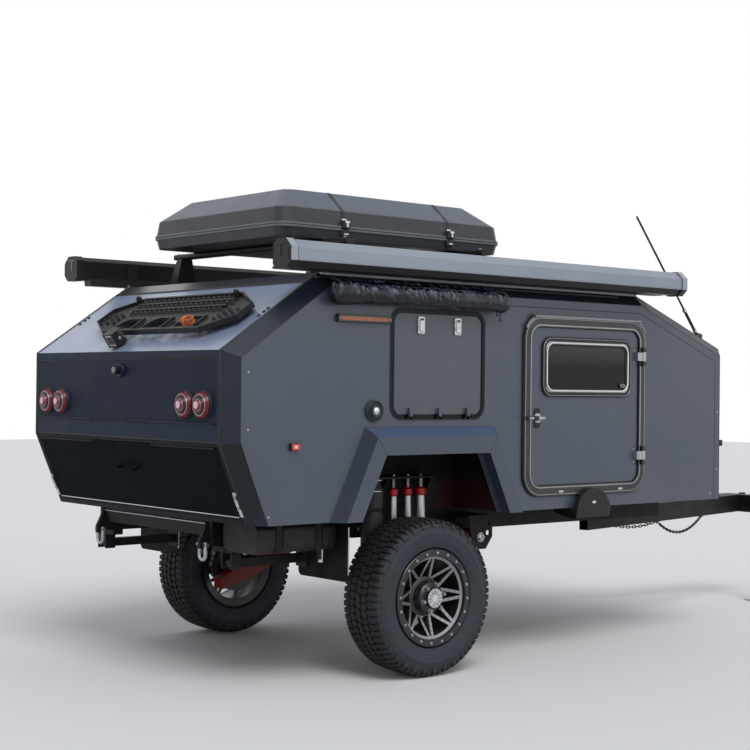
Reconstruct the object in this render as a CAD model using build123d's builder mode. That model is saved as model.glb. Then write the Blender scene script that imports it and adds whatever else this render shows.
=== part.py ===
"""Off-road camper trailer with a faceted body, on trailing arms and lugged tyres.

Millimetres. +X points forward to the coupling, +Y to the trailer's left, +Z up.
The origin is on the ground, in the middle of the trailer's length and width.
"""

import os
from math import atan2, cos, hypot, pi, radians, sin, tan

from build123d import *

os.makedirs("parts", exist_ok=True)

# Body, in stations forward of its rearmost face and heights above the ground
BODY_LENGTH = 3708.0
BODY_WIDTH = 1938.0
BODY_BOTTOM = 820.0
ROOF_HEIGHT = 2038.0
CREASE_HEIGHT = 1207.5
REAR_SHOULDER_HEIGHT = 1648.0
FRONT_SHOULDER_HEIGHT = 1740.0
UNDERCUT = 161.0
ROOF_REAR_STATION = 567.0
ROOF_FRONT_STATION = 2912.0
WALL = 32.0
EDGE_CHAMFER = 66.0
FLOOR = 40.0
BULKHEAD_STATION = 1800.0
WORKTOP_HEIGHT = 1250.0

# Gaps between panels that move and what they close
PANEL_GAP = 6.0
SEAT_GAP = 0.3
RUN_GAP = 0.05

# Side doors
DOOR_REAR_STATION = 1983.0
DOOR_LENGTH = 880.0
DOOR_BOTTOM = 955.0
DOOR_HEIGHT = 862.0
DOOR_CORNER = 62.0
DOOR_PROUD = 6.0
DOOR_FRAME_WIDTH = 58.0
DOOR_FRAME_PROUD = 16.0
DOOR_HANDLE_IN = 46.0
DOOR_HANDLE_HEIGHT = 1322.0
DOOR_HANDLE_OUT = 45.0
DOOR_HANDLE_ROSE = 27.0
DOOR_HANDLE_RADIUS = 12.0
DOOR_HANDLE_REACH = 66.0
DRIP_RAIL_TALL = 14.0
DRIP_RAIL_PROUD = 20.0
DOOR_HINGE_PIN = 6.0
DOOR_HINGE_BARREL = 12.0
DOOR_HINGE_OUT = 30.0
DOOR_HINGE_AHEAD = 31.0
DOOR_HINGE_LENGTH = 110.0
DOOR_HINGE_HEIGHTS = (1103.0, 1674.0)
WINDOW_STATION = 2430.0
WINDOW_HEIGHT = 1604.0
WINDOW_LENGTH = 731.0
WINDOW_TALL = 323.0
WINDOW_CORNER = 62.0
WINDOW_RIM = 39.0
WINDOW_RIM_PROUD = 10.0
GLASS = 8.0

# Storage hatches in the side walls
HATCH_REAR_STATION = 1004.0
HATCH_LENGTH = 602.0
HATCH_BOTTOM = 1345.0
HATCH_TALL = 512.0
HATCH_CORNER = 45.0
HATCH_FRAME_WIDTH = 19.0
HATCH_FRAME_PROUD = 5.0

# Small three-knuckle hinges of the hatches and the roof case
KNUCKLE = 16.0
KNUCKLE_PIN = 3.5
KNUCKLE_BARREL = 8.0
KNUCKLE_OUT = 14.0
HATCH_HINGES = (-200.0, 0.0, 200.0)
LATCH_APART = 255.0
LATCH_UP = 455.0
LATCH_WIDE = 46.0
LATCH_TALL = 88.0
LATCH_PROUD = 9.0
LATCH_PADDLE = 8.0
CASE_HINGES = (-500.0, 0.0, 500.0)

# Drop-down rear door and the flap under it
REAR_SILL = 95.5
REAR_DOOR_TALL = 302.0
REAR_OPENING_WIDTH = 1740.0
LONG_HINGE = 1700.0
LONG_BARREL = 5.5
LONG_PIN = 2.5
LONG_LEAF = 24.0
LONG_LEAF_THICK = 2.0
PULL_RING = 38.0
PULL_DROP = 52.0
FLAP_HANDLE_UP = 260.0
FLAP_HANDLE_SPAN = 170.0
FLAP_HANDLE_OUT = 34.0
FLAP_HANDLE_ROD = 6.0
FLAP_LOW_LIP = 30.0
FLAP_TOP_LIP = 26.0

# Running gear
AXLE_STATION = 1262.0
TYRE_RADIUS = 405.0
TYRE_WIDTH = 275.0
TYRE_OUTER = 1013.0
RIM_RADIUS = 250.0
RIM_INNER = 212.0
RIM_DEPTH = 24.0
RIM_BEVEL = 6.0
INNER_LIP_RADIUS = 242.0
INNER_LIP_IN = 10.0
INNER_LIP_THICK = 8.0
INNER_LIP_BEVEL = 12.0
BARREL_RADIUS = 208.0
RIM_WALL = 8.0
SPOKES = 8
SPOKE_HALF = 8.0
SPOKE_FORK = 2.5
SPOKE_THICK = 24.0
SPOKE_RIM_DEPTH = 16.0
SPOKE_HUB_DEPTH = 78.0
HUB_RADIUS = 100.0
HUB_BODY = 84.0
HUB_FACE_DEPTH = 14.0
CAP_RADIUS = 52.0
CAP_PROUD = 6.0
CAP_SKIN = 8.0
STUB_RADIUS = 30.0
DRUM_RADIUS = 150.0
DRUM_DEPTH = 58.0
LUG_HEIGHT = 14.0
LUGS_ROUND = 21
LUG_SHARE = 0.62
SHOULDER_ROW = 70.0
SHOULDER_DROP = 4.0
SHOULDER_CUT = 12.0
SHOULDER_FOOT = 30.0
SIDEWALL_BULGE = 9.0
SIDEWALL_FALL = 62.0
SEAT_CLEAR = 5.0
ARM_MIDDLE = 655.0
ARM_WIDTH = 78.0
ARM_DEPTH = 90.0
ARM_PIVOT_STATION = 1865.0
ARM_PIVOT_HEIGHT = 660.0
ARM_PIN = 25.0
SPRING_STATION = 1130.0
SPRING_RADIUS = 58.0
SPRING_TOP = 1000.0
DAMPER_STATIONS = (1259.0, 1360.0, 1452.0)
DAMPER_ACROSS = 673.0
DAMPER_RADII = (21.0, 21.0, 27.0)
TOWER_AHEAD = 160.0
TOWER_LENGTH = 480.0
TOWER_PLATE = 10.0
TOWER_SHEET = 12.0
TOWER_SHELF = 144.0
GUSSET_STATIONS = (1050.0, 1204.0, 1520.0)
GUSSET_TALL = 160.0
GUSSET_WIDE = 110.0
PIVOT_BRACKET_DROP = 66.0
PIVOT_BRACKET_HALF = 92.0
PIVOT_BRACKET_HOLE = 15.0

# Wheel arches: flared surround outside, box inside
ARCH_TOP = 1143.0
ARCH_TOP_HALF = 358.0
ARCH_SLOPE = 0.469
FLARE_PROUD = 68.0
FLARE_BAND = 87.0
FLARE_BEVEL = 52.0
FLARE_SKIN = 6.0
ARCH_BOX_INNER = 570.0
ARCH_BOX_CLEAR = 20.0
ARCH_SHEET = 6.0

# Chassis
RAIL_OUTER = 540.0
RAIL_WIDTH = 60.0
RAIL_DEPTH = 130.0
RAIL_WALL = 5.0
RAIL_REAR_STATION = 205.0
RAIL_FRONT_STATION = 3600.0
CROSS_STATIONS = (205.0, 800.0, 1840.0, 2700.0, 3540.0)
CROSS_WIDTH = 60.0
CROSS_DEPTH = 80.0
CROSS_WALL = 6.0
SHACKLE_ACROSS = 496.0
SHACKLE_LUG = 50.0
SHACKLE_EYE = 19.0
SHACKLE_ROD = 10.5
SHACKLE_INNER = 25.0
SHACKLE_TALL = 74.0
SHACKLE_DROP = 42.0
TANK_STATION = 230.0
TANK_LENGTH = 480.0
TANK_ACROSS = 740.0
TANK_WIDTH = 280.0
TANK_TALL = 144.0
TANK_CORNER = 40.0
TANK_GROOVE = 6.0
STRAP_STATIONS = (345.0, 585.0)
STRAP_WIDTH = 40.0
STRAP_SHEET = 4.0
STRAP_RISE = 60.0
DRAWBAR_DEPTH = 120.0
DRAWBAR_LAP = 50.0
DRAWBAR_WIDTH = 60.0
DRAWBAR_WALL = 5.0
DRAWBAR_OPEN = 1500.0
DRAWBAR_FOOT_STATION = 3000.0
COUPLING_STATION = 5380.0
COUPLING_LENGTH = 250.0
COUPLING_RADIUS = 60.0
COUPLING_BORE = 25.5
COUPLING_TALL = 90.0
COUPLING_NECK = 44.0
COUPLING_PLATE = 90.0
COUPLING_TAPER = 150.0

# Parking jack, beside the drawbar's right arm
JACK_STATION = 5080.0
JACK_ACROSS = -228.0
JACK_TUBE = 38.0
JACK_LEG = 31.0
JACK_BORE_GAP = 1.0
JACK_TUBE_LOW = 470.0
JACK_TUBE_TOP = 1120.0
JACK_LEG_TOP = 760.0
JACK_FOOT = 95.0
JACK_CRANK_OUT = 55.0
JACK_CRANK_ARM = 130.0

# Roof load
BAR_STATIONS = (850.0, 1800.0)
BAR_HALF = 800.0
BAR_RISE = 202.0
BAR_DEPTH = 32.0
BAR_WIDTH = 62.0
CASE_REAR_STATION = 550.0
CASE_LENGTH = 1560.0
CASE_WIDTH = 1220.0
CASE_TRAY_TALL = 63.0
CASE_TRAY_DRAW = 12.0
CASE_WALL_TALL = 89.0
CASE_WALL_DRAW = 12.0
CASE_CROWN = 116.0
CASE_CROWN_DRAW = 138.0
CASE_CORNER = 70.0
CASE_SKIN = 6.0
CASE_PARTING = 3.0
CASE_RIB_PLACES = (-360.0, -120.0, 120.0, 360.0)
CASE_RIB_WIDTH = 70.0
CASE_RIB_TALL = 8.0
CASE_CATCHES = (-370.0, 370.0)
CASE_CATCH_WIDTH = 46.0
CASE_CATCH_TALL = 78.0
CASE_CATCH_OUT = 22.0
AWNING_DEPTH = 142.0
AWNING_GAP = 9.0
AWNING_REAR_STATION = 235.0
AWNING_LENGTH = 2895.0
AWNING_DROP = 4.0
AWNING_TALL = 141.0
AWNING_CAP = 42.0
AWNING_CAP_STEP = 5.0
LEFT_AWNING_REAR_STATION = 285.0
LEFT_AWNING_LENGTH = 2500.0
LEFT_AWNING_LIFT = 32.0
BRACKET_STATIONS = (620.0, 1500.0, 2400.0)
BRACKET_WIDTH = 60.0
BRACKET_SHEET = 5.0
BRACKET_FOOT = 90.0
KEDER_REAR_STATION = 520.0
KEDER_LENGTH = 2200.0
KEDER_RADIUS = 9.0
POUCH_REAR_STATION = 560.0
POUCH_LENGTH = 1180.0
KEDER_SHARE = 0.55
POUCH_THICK = 105.0
POUCH_TALL = 130.0
POUCH_DROP = 98.0

# Traction board on the rear slope and the work light below it, in places across and up the slope
BOARD_LENGTH = 1310.0
BOARD_WIDTH = 330.0
BOARD_END = 120.0
BOARD_POINT = 200.0
BOARD_ACROSS = 140.0
BOARD_UP = 282.0
BOARD_LIFT = 26.0
BOARD_RIM = 30.0
BOARD_SUNK = 17.0
BOARD_SHEET = 4.0
BOARD_LIP = 12.0
BOARD_WINDOWS = (-288.0, -8.0, 285.0)
BOARD_WINDOW = 165.0
BOARD_WINDOW_TALL = 92.0
BOARD_WINDOW_SWEEP = 70.0
BOARD_SLOTS = (-145.0, 140.0)
BOARD_SLOT = 66.0
BOARD_ROWS = ((22.0, 19, 0.0), (78.0, 20, 0.5), (132.0, 19, 0.0))
BOARD_CLEAT = 24.0
BOARD_CLEAT_PITCH = 46.0
BOARD_RIDGES = ((50.0, 880.0), (105.0, 900.0))
BOARD_RIDGE = 12.0
BOARD_KNOBS = (470.0, 5, 3)
BOARD_KNOB = 11.0
BOARD_KNOB_PITCH = 34.0
BOARD_STUDS = (-489.0, 425.0)
BOARD_STUD = 8.0
BOARD_STUD_UP = 143.0
BOARD_KNOB_NUT = 17.0
HANK_WIDE = 104.0
HANK_TALL = 78.0
HANK_TOP = 84.0
LIGHT_ACROSS = -100.0
LIGHT_UP = 61.0
LIGHT_WIDE = 84.0
LIGHT_DEEP = 74.0
LIGHT_TALL = 76.0
LIGHT_LIFT = 10.0
LIGHT_FIN = 4.0
LIGHT_FINS = 6
LIGHT_LENS_DEPTH = 4.0
LIGHT_BRACKET = 4.0
LIGHT_BRACKET_WIDE = 28.0

# Side lights and power inlet, in stations and heights
STRIP_LIGHT = (795.0, 1818.0, 350.0, 42.0)
MARKER_LIGHT = (375.0, 1192.0, 60.0, 40.0)
SIDE_LIGHT_PROUD = 22.0
INLET = (870.0, 1363.0)
INLET_RADIUS = 56.0
INLET_PROUD = 26.0
INLET_CAP = 34.0

# Whip antenna on the front slope
ANTENNA_STATION = 3569.0
ANTENNA_ACROSS = -850.0
ANTENNA_LEAN = 40.0
ANTENNA_LENGTH = 900.0
ANTENNA_COIL = 200.0

# Rear lamps
LAMP_STANDOFF = 45.0
LAMP_RADIUS = 66.0
LAMP_UP = 85.0
LAMP_PLACES = (-758.0, -604.0, 604.0, 758.0)
LAMP_RING = 44.0
LAMP_EYE = 24.0

BODY_HALF = BODY_WIDTH / 2
REAR_DOOR_BOTTOM = CREASE_HEIGHT + REAR_SILL
LAMP_HEIGHT = REAR_DOOR_BOTTOM + LAMP_UP
BAR_TOP = ROOF_HEIGHT + BAR_RISE
CASE_SEAM = BAR_TOP + CASE_TRAY_TALL
CASE_SHOULDER = CASE_SEAM + CASE_WALL_TALL
CASE_CREST = CASE_SHOULDER + CASE_CROWN
AWNING_INNER = BODY_HALF + AWNING_GAP
AWNING_OUTER = AWNING_INNER + AWNING_DEPTH
AWNING_LOW = ROOF_HEIGHT - AWNING_DROP
LEFT_AWNING_LOW = ROOF_HEIGHT + LEFT_AWNING_LIFT
FLAT_HALF = BODY_HALF - EDGE_CHAMFER
INNER_HALF = BODY_HALF - WALL
OPENING_HALF = REAR_OPENING_WIDTH / 2
RAIL_BOTTOM = BODY_BOTTOM - RAIL_DEPTH
TYRE_INNER = TYRE_OUTER - TYRE_WIDTH
OVERALL_FRONT = COUPLING_STATION + COUPLING_RADIUS
REAR_X = -(OVERALL_FRONT - LAMP_STANDOFF) / 2


def at(station):
    """Model X of a station measured forward from the body's rearmost face."""
    return REAR_X + station


def side_plane(across):
    """Plane along the trailer at a place across it; extruding goes towards the right side."""
    return Plane.XZ.offset(-across)


def cross_plane(station):
    """Plane across the trailer at a station; extruding goes forward. Local x is Y, y is Z."""
    return Plane.YZ.offset(at(station))


def meet(first, second):
    """Point where two lines cross, each given by two points."""
    (x1, z1), (x2, z2) = first
    (x3, z3), (x4, z4) = second
    bottom = (x1 - x2) * (z3 - z4) - (z1 - z2) * (x3 - x4)
    one = x1 * z2 - z1 * x2
    two = x3 * z4 - z3 * x4
    return ((one * (x3 - x4) - (x1 - x2) * two) / bottom,
            (one * (z3 - z4) - (z1 - z2) * two) / bottom)


def body_line(depth):
    """Side outline of the body at a depth under its skin: from the rear bottom round to the front."""
    skin = [
        (at(UNDERCUT), BODY_BOTTOM),
        (at(0), CREASE_HEIGHT),
        (at(0), REAR_SHOULDER_HEIGHT),
        (at(ROOF_REAR_STATION), ROOF_HEIGHT),
        (at(ROOF_FRONT_STATION), ROOF_HEIGHT),
        (at(BODY_LENGTH), FRONT_SHOULDER_HEIGHT),
        (at(BODY_LENGTH), BODY_BOTTOM),
    ]
    lines = []
    for (x1, z1), (x2, z2) in zip(skin, skin[1:]):
        run = hypot(x2 - x1, z2 - z1)
        across, up = (z2 - z1) / run * depth, -(x2 - x1) / run * depth
        lines.append(((x1 + across, z1 + up), (x2 + across, z2 + up)))
    ground = ((0.0, BODY_BOTTOM), (1.0, BODY_BOTTOM))
    lines = [ground] + lines + [ground]
    return [meet(one, two) for one, two in zip(lines, lines[1:])]


def outline(points, mode=Mode.ADD):
    """Closed face on straight lines through the points, for the sketch it is called in."""
    with BuildLine(mode=Mode.PRIVATE) as line:
        Polyline(*points, close=True)
    make_face(line.edges(), mode=mode)


def barrel(centre, turn, length, radius, mode=Mode.ADD):
    """Round bar centred on a point, turned from upright, for the part it is called in."""
    with Locations(centre):
        Cylinder(radius, length, rotation=turn, mode=mode)


def block(low, high):
    """Square-cornered block between two corners, for the part it is called in."""
    with Locations(tuple((a + b) / 2 for a, b in zip(low, high))):
        Box(*[b - a for a, b in zip(low, high)])


ALONG_X = (0, 90, 0)
ALONG_Y = (90, 0, 0)
UPRIGHT = (0, 0, 0)


def keep(piece, name):
    """Name a finished piece and write it to its own file."""
    piece.part.label = name
    export_step(piece.part, f"parts/{name}.step")


SKIN = body_line(0)
LINING = body_line(WALL)
SIDE = body_line(EDGE_CHAMFER)

door_mid = at(DOOR_REAR_STATION + DOOR_LENGTH / 2)
door_middle_height = DOOR_BOTTOM + DOOR_HEIGHT / 2
hatch_mid = at(HATCH_REAR_STATION + HATCH_LENGTH / 2)
hatch_middle_height = HATCH_BOTTOM + HATCH_TALL / 2
arch_bottom_half = ARCH_TOP_HALF + (ARCH_TOP - BODY_BOTTOM) * ARCH_SLOPE
axle_x = at(AXLE_STATION)


def arch_outline(grow):
    """Wheel arch outline, open size plus a margin all round its top and sides."""
    lean = hypot(1, ARCH_SLOPE) * grow
    top = ARCH_TOP + grow
    top_half = ARCH_TOP_HALF + lean - grow * ARCH_SLOPE
    low_half = arch_bottom_half + lean
    return [
        (axle_x - low_half, BODY_BOTTOM),
        (axle_x - top_half, top),
        (axle_x + top_half, top),
        (axle_x + low_half, BODY_BOTTOM),
    ]


# Side walls: bonded panels with the door, hatch and wheel arch cut out
with BuildPart() as side_wall_right:
    with BuildSketch(side_plane(-INNER_HALF)):
        outline(SIDE)
        with Locations((door_mid, door_middle_height)):
            RectangleRounded(DOOR_LENGTH + 2 * PANEL_GAP, DOOR_HEIGHT + 2 * PANEL_GAP,
                             DOOR_CORNER + PANEL_GAP, mode=Mode.SUBTRACT)
        with Locations((hatch_mid, hatch_middle_height)):
            RectangleRounded(HATCH_LENGTH + 2 * PANEL_GAP, HATCH_TALL + 2 * PANEL_GAP,
                             HATCH_CORNER + PANEL_GAP, mode=Mode.SUBTRACT)
        outline(arch_outline(0), mode=Mode.SUBTRACT)
    extrude(amount=WALL)
keep(side_wall_right, "side_wall_right")

with BuildPart() as side_wall_left:
    mirror(side_wall_right.part, about=Plane.XZ)
keep(side_wall_left, "side_wall_left")

# Edge trims: 45 degree extrusions that join each side wall to the panels round it
with BuildPart() as edge_trims:
    with BuildSketch(side_plane(-FLAT_HALF)):
        outline(SKIN)
    with BuildSketch(side_plane(-BODY_HALF)):
        outline(SIDE)
    loft(ruled=True)
    with BuildSketch(side_plane(-FLAT_HALF)):
        outline(LINING)
    with BuildSketch(side_plane(-INNER_HALF)):
        outline(SIDE)
    loft(ruled=True, mode=Mode.SUBTRACT)
    with BuildSketch(side_plane(-INNER_HALF)):
        outline(SIDE)
    extrude(amount=WALL, mode=Mode.SUBTRACT)
    mirror(about=Plane.XZ)
keep(edge_trims, "edge_trims")

# Roof and front panels, mitred where they meet
panel_names = ("rear_slope", "roof_panel", "front_slope", "front_wall")
for name, out_1, out_2, in_1, in_2 in zip(panel_names, SKIN[2:], SKIN[3:], LINING[2:], LINING[3:]):
    with BuildPart() as panel:
        with BuildSketch(side_plane(FLAT_HALF)):
            outline([out_1, out_2, in_2, in_1])
        extrude(amount=2 * FLAT_HALF)
    keep(panel, name)

# Undercut of the rear: unit vectors along it upward and square to it outward
undercut_run = hypot(UNDERCUT, CREASE_HEIGHT - BODY_BOTTOM)
up_x, up_z = -UNDERCUT / undercut_run, (CREASE_HEIGHT - BODY_BOTTOM) / undercut_run
out_x, out_z = -up_z, up_x


def undercut_point(up, out):
    """Point of the undercut plane: distance up from its bottom edge and distance out of it."""
    return (SKIN[0][0] + up * up_x + out * out_x, SKIN[0][1] + up * up_z + out * out_z)


def undercut_band(low, high, inner, outer):
    """Four corners of a band on the undercut, between two heights along it."""
    return [undercut_point(low, inner), undercut_point(low, outer),
            undercut_point(high, outer), undercut_point(high, inner)]


flap_low = FLAP_LOW_LIP
flap_high = undercut_run - FLAP_TOP_LIP

# Long hinges of the door and flap: the frame carries the outer thirds and the pin, the leaf the middle third
knuckle_third = LONG_HINGE / 3
rear_hinge_x = at(0) - LONG_BARREL
rear_hinge_z = REAR_DOOR_BOTTOM - PANEL_GAP / 2
flap_hinge_x, flap_hinge_z = undercut_point(flap_high + PANEL_GAP / 2, LONG_BARREL)


def long_barrel(x, z, third, length, radius, mode=Mode.ADD):
    """One barrel of a long hinge, in the third counted from the middle."""
    barrel((x, third * knuckle_third, z), ALONG_Y, length, radius, mode)


def flap_leaf(low, high, middle, length):
    """Sheet of the flap's hinge between two heights up the undercut."""
    with BuildSketch(side_plane(middle + length / 2), mode=Mode.PRIVATE) as leaf:
        outline(undercut_band(low, high, 0, LONG_LEAF_THICK))
    extrude(leaf.sketch, amount=length)


def door_leaf(low, high, middle, length):
    """Sheet of the rear door's hinge between two heights."""
    block((at(0) - LONG_LEAF_THICK, middle - length / 2, low), (at(0), middle + length / 2, high))


# Rear frame: the bent panel round the drop-down door and the flap, with their hinge pins
with BuildPart() as rear_frame:
    with BuildSketch(side_plane(FLAT_HALF)):
        outline([SKIN[0], SKIN[1], SKIN[2], LINING[2], LINING[1], LINING[0]])
    extrude(amount=2 * FLAT_HALF)
    with BuildSketch(cross_plane(-1)):
        with Locations((0, REAR_DOOR_BOTTOM + REAR_DOOR_TALL / 2)):
            Rectangle(REAR_OPENING_WIDTH + 2 * PANEL_GAP, REAR_DOOR_TALL + 2 * PANEL_GAP)
    extrude(amount=WALL + 2, mode=Mode.SUBTRACT)
    with BuildSketch(side_plane(OPENING_HALF + PANEL_GAP)):
        outline(undercut_band(flap_low - PANEL_GAP, flap_high + PANEL_GAP, -2 * WALL, WALL))
    extrude(amount=REAR_OPENING_WIDTH + 2 * PANEL_GAP, mode=Mode.SUBTRACT)
    long_barrel(rear_hinge_x, rear_hinge_z, 0, LONG_HINGE, LONG_PIN)
    long_barrel(flap_hinge_x, flap_hinge_z, 0, LONG_HINGE, LONG_PIN)
    for third in (-1, 1):
        long_barrel(rear_hinge_x, rear_hinge_z, third, knuckle_third - 2, LONG_BARREL)
        door_leaf(rear_hinge_z - LONG_LEAF, rear_hinge_z, third * knuckle_third, knuckle_third - 2)
        long_barrel(flap_hinge_x, flap_hinge_z, third, knuckle_third - 2, LONG_BARREL)
        flap_leaf(flap_high + PANEL_GAP / 2, undercut_run - 2, third * knuckle_third, knuckle_third - 2)
keep(rear_frame, "rear_frame")

# Drop-down rear door with its round pull latch, hinged along its bottom edge
with BuildPart() as rear_door:
    with BuildSketch(cross_plane(0)):
        with Locations((0, REAR_DOOR_BOTTOM + REAR_DOOR_TALL / 2)):
            Rectangle(REAR_OPENING_WIDTH, REAR_DOOR_TALL)
    extrude(amount=WALL)
    with BuildSketch(cross_plane(0)):
        with Locations((0, REAR_DOOR_BOTTOM + REAR_DOOR_TALL - PULL_DROP)):
            Circle(PULL_RING)
    extrude(amount=-12, taper=20)
    with BuildSketch(cross_plane(0)):
        with Locations((0, REAR_DOOR_BOTTOM + REAR_DOOR_TALL - PULL_DROP)):
            Circle(PULL_RING / 2)
    extrude(amount=-LAMP_STANDOFF + 1)
    long_barrel(rear_hinge_x, rear_hinge_z, 0, knuckle_third - 2, LONG_BARREL)
    door_leaf(rear_hinge_z, rear_hinge_z + LONG_LEAF, 0, knuckle_third - 2)
    long_barrel(rear_hinge_x, rear_hinge_z, 0, knuckle_third, LONG_PIN + RUN_GAP, Mode.SUBTRACT)
keep(rear_door, "rear_door")

# Round rear lamps, each a cup with a raised ring, standing on the door
with BuildPart() as tail_lamps:
    with BuildSketch(Plane.XZ.offset(-LAMP_PLACES[0])) as lamp_profile:
        outline([
            (at(0) - SEAT_GAP, LAMP_HEIGHT), (at(0) - SEAT_GAP, LAMP_HEIGHT + LAMP_RADIUS),
            (at(0) - 10, LAMP_HEIGHT + LAMP_RADIUS), (at(0) - 26, LAMP_HEIGHT + LAMP_RADIUS - 8),
            (at(0) - 26, LAMP_HEIGHT + LAMP_RING), (at(0) - 34, LAMP_HEIGHT + LAMP_RING - 4),
            (at(0) - 34, LAMP_HEIGHT + LAMP_EYE), (at(0) - LAMP_STANDOFF, LAMP_HEIGHT + LAMP_EYE - 6),
            (at(0) - LAMP_STANDOFF, LAMP_HEIGHT),
        ])
    revolve(axis=Axis((at(0), LAMP_PLACES[0], LAMP_HEIGHT), (1, 0, 0)))
    lamp = tail_lamps.part
    for across in LAMP_PLACES[1:]:
        add(lamp.moved(Location((0, across - LAMP_PLACES[0], 0))))
keep(tail_lamps, "tail_lamps")

# Flap of the rear undercut with its pull handle, hinged along its top edge
handle_x, handle_z = undercut_point(FLAP_HANDLE_UP, 0)
handle_foot = (handle_x, 0, handle_z)
with BuildPart() as rear_flap:
    with BuildSketch(side_plane(OPENING_HALF)):
        outline(undercut_band(flap_low, flap_high, -WALL, 0))
    extrude(amount=REAR_OPENING_WIDTH)
    with BuildLine(Plane(origin=handle_foot, x_dir=(0, -1, 0), z_dir=(-up_x, 0, -up_z))) as handle_line:
        FilletPolyline(
            (-FLAP_HANDLE_SPAN / 2, -1), (-FLAP_HANDLE_SPAN / 2, FLAP_HANDLE_OUT),
            (FLAP_HANDLE_SPAN / 2, FLAP_HANDLE_OUT), (FLAP_HANDLE_SPAN / 2, -1), radius=2.5 * FLAP_HANDLE_ROD,
        )
    with BuildSketch(handle_line.line ^ 0):
        Circle(FLAP_HANDLE_ROD)
    sweep()
    long_barrel(flap_hinge_x, flap_hinge_z, 0, knuckle_third - 2, LONG_BARREL)
    flap_leaf(flap_high - LONG_LEAF, flap_high + PANEL_GAP / 2, 0, knuckle_third - 2)
    long_barrel(flap_hinge_x, flap_hinge_z, 0, knuckle_third, LONG_PIN + RUN_GAP, Mode.SUBTRACT)
keep(rear_flap, "rear_flap")

# Floor between the edge trims, with the wheel boxes cut out
arch_box_half = arch_bottom_half + ARCH_BOX_CLEAR
with BuildPart() as floor_panel:
    with BuildSketch(side_plane(INNER_HALF - 1)):
        outline([
            (LINING[0][0] + 1, BODY_BOTTOM),
            (LINING[0][0] + 1 - FLOOR * UNDERCUT / (CREASE_HEIGHT - BODY_BOTTOM), BODY_BOTTOM + FLOOR),
            (LINING[6][0] - 1, BODY_BOTTOM + FLOOR),
            (LINING[6][0] - 1, BODY_BOTTOM),
        ])
    extrude(amount=2 * INNER_HALF - 2)
    split_off = EDGE_CHAMFER - WALL
    for across in (-1, 1):
        with BuildSketch(Plane.XY.offset(BODY_BOTTOM - 1)):
            with Locations((axle_x, across * (ARCH_BOX_INNER + BODY_HALF) / 2)):
                Rectangle(2 * arch_box_half + 2, BODY_HALF - ARCH_BOX_INNER + 2)
        extrude(amount=FLOOR + 2, mode=Mode.SUBTRACT)
        for corner in (LINING[0][0] + 1 - FLOOR, LINING[6][0] - 1):
            with BuildSketch(Plane.XY.offset(BODY_BOTTOM - 1)):
                with Locations((corner, across * INNER_HALF)):
                    Rectangle(4 * split_off + 2 * FLOOR, 4 * split_off)
            extrude(amount=FLOOR + 2, mode=Mode.SUBTRACT)
keep(floor_panel, "floor_panel")

# Wheel boxes: folded sheet over each wheel, open below and to the side
with BuildPart() as arch_boxes:
    box_top = ARCH_TOP + ARCH_BOX_CLEAR
    box_low = BODY_BOTTOM + 1
    with BuildSketch(side_plane(-ARCH_BOX_INNER)):
        with Locations((axle_x, (box_top + box_low) / 2)):
            Rectangle(2 * arch_box_half, box_top - box_low)
    extrude(amount=INNER_HALF - ARCH_BOX_INNER - SEAT_GAP)
    with BuildSketch(side_plane(-ARCH_BOX_INNER - ARCH_SHEET)):
        with Locations((axle_x, (box_top - ARCH_SHEET + box_low) / 2)):
            Rectangle(2 * (arch_box_half - ARCH_SHEET), box_top - ARCH_SHEET - box_low)
    extrude(amount=INNER_HALF, mode=Mode.SUBTRACT)
    mirror(about=Plane.XZ)
keep(arch_boxes, "arch_boxes")

# Arch flares: bevelled surrounds that stand out of the side walls
with BuildPart() as arch_flares:
    with BuildSketch(side_plane(-BODY_HALF)):
        outline(arch_outline(FLARE_BAND + FLARE_BEVEL))
    with BuildSketch(side_plane(-BODY_HALF - FLARE_PROUD)):
        outline(arch_outline(FLARE_BAND))
    loft(ruled=True)
    with BuildSketch(side_plane(-BODY_HALF)):
        outline(arch_outline(FLARE_BAND + FLARE_BEVEL - FLARE_SKIN))
    with BuildSketch(side_plane(-BODY_HALF - FLARE_PROUD + FLARE_SKIN)):
        outline(arch_outline(FLARE_BAND - FLARE_SKIN))
    loft(ruled=True, mode=Mode.SUBTRACT)
    with BuildSketch(side_plane(-BODY_HALF)):
        outline(arch_outline(FLARE_SKIN))
    extrude(amount=FLARE_PROUD)
    with BuildSketch(side_plane(-BODY_HALF + 1)):
        outline(arch_outline(0))
    extrude(amount=FLARE_PROUD + 2, mode=Mode.SUBTRACT)
    mirror(about=Plane.XZ)
keep(arch_flares, "arch_flares")

# Bulkhead between the sleeping cabin and the rear store, with the store's worktop
with BuildPart() as bulkhead:
    bulkhead_x = at(BULKHEAD_STATION)
    with BuildSketch(Plane.YZ.offset(bulkhead_x)):
        roof_under = ROOF_HEIGHT - WALL
        edge = EDGE_CHAMFER - WALL
        outline([
            (-INNER_HALF + 1, BODY_BOTTOM + FLOOR), (-INNER_HALF + 1, roof_under - edge - 1),
            (-INNER_HALF + edge + 1, roof_under - 1), (INNER_HALF - edge - 1, roof_under - 1),
            (INNER_HALF - 1, roof_under - edge - 1), (INNER_HALF - 1, BODY_BOTTOM + FLOOR),
        ])
    extrude(amount=18)
    with BuildSketch(Plane.XY.offset(WORKTOP_HEIGHT)):
        with Locations(((at(60) + bulkhead_x) / 2, 0)):
            Rectangle(bulkhead_x - at(60), 2 * (FLAT_HALF - 4))
    extrude(amount=18)
keep(bulkhead, "bulkhead")

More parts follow.
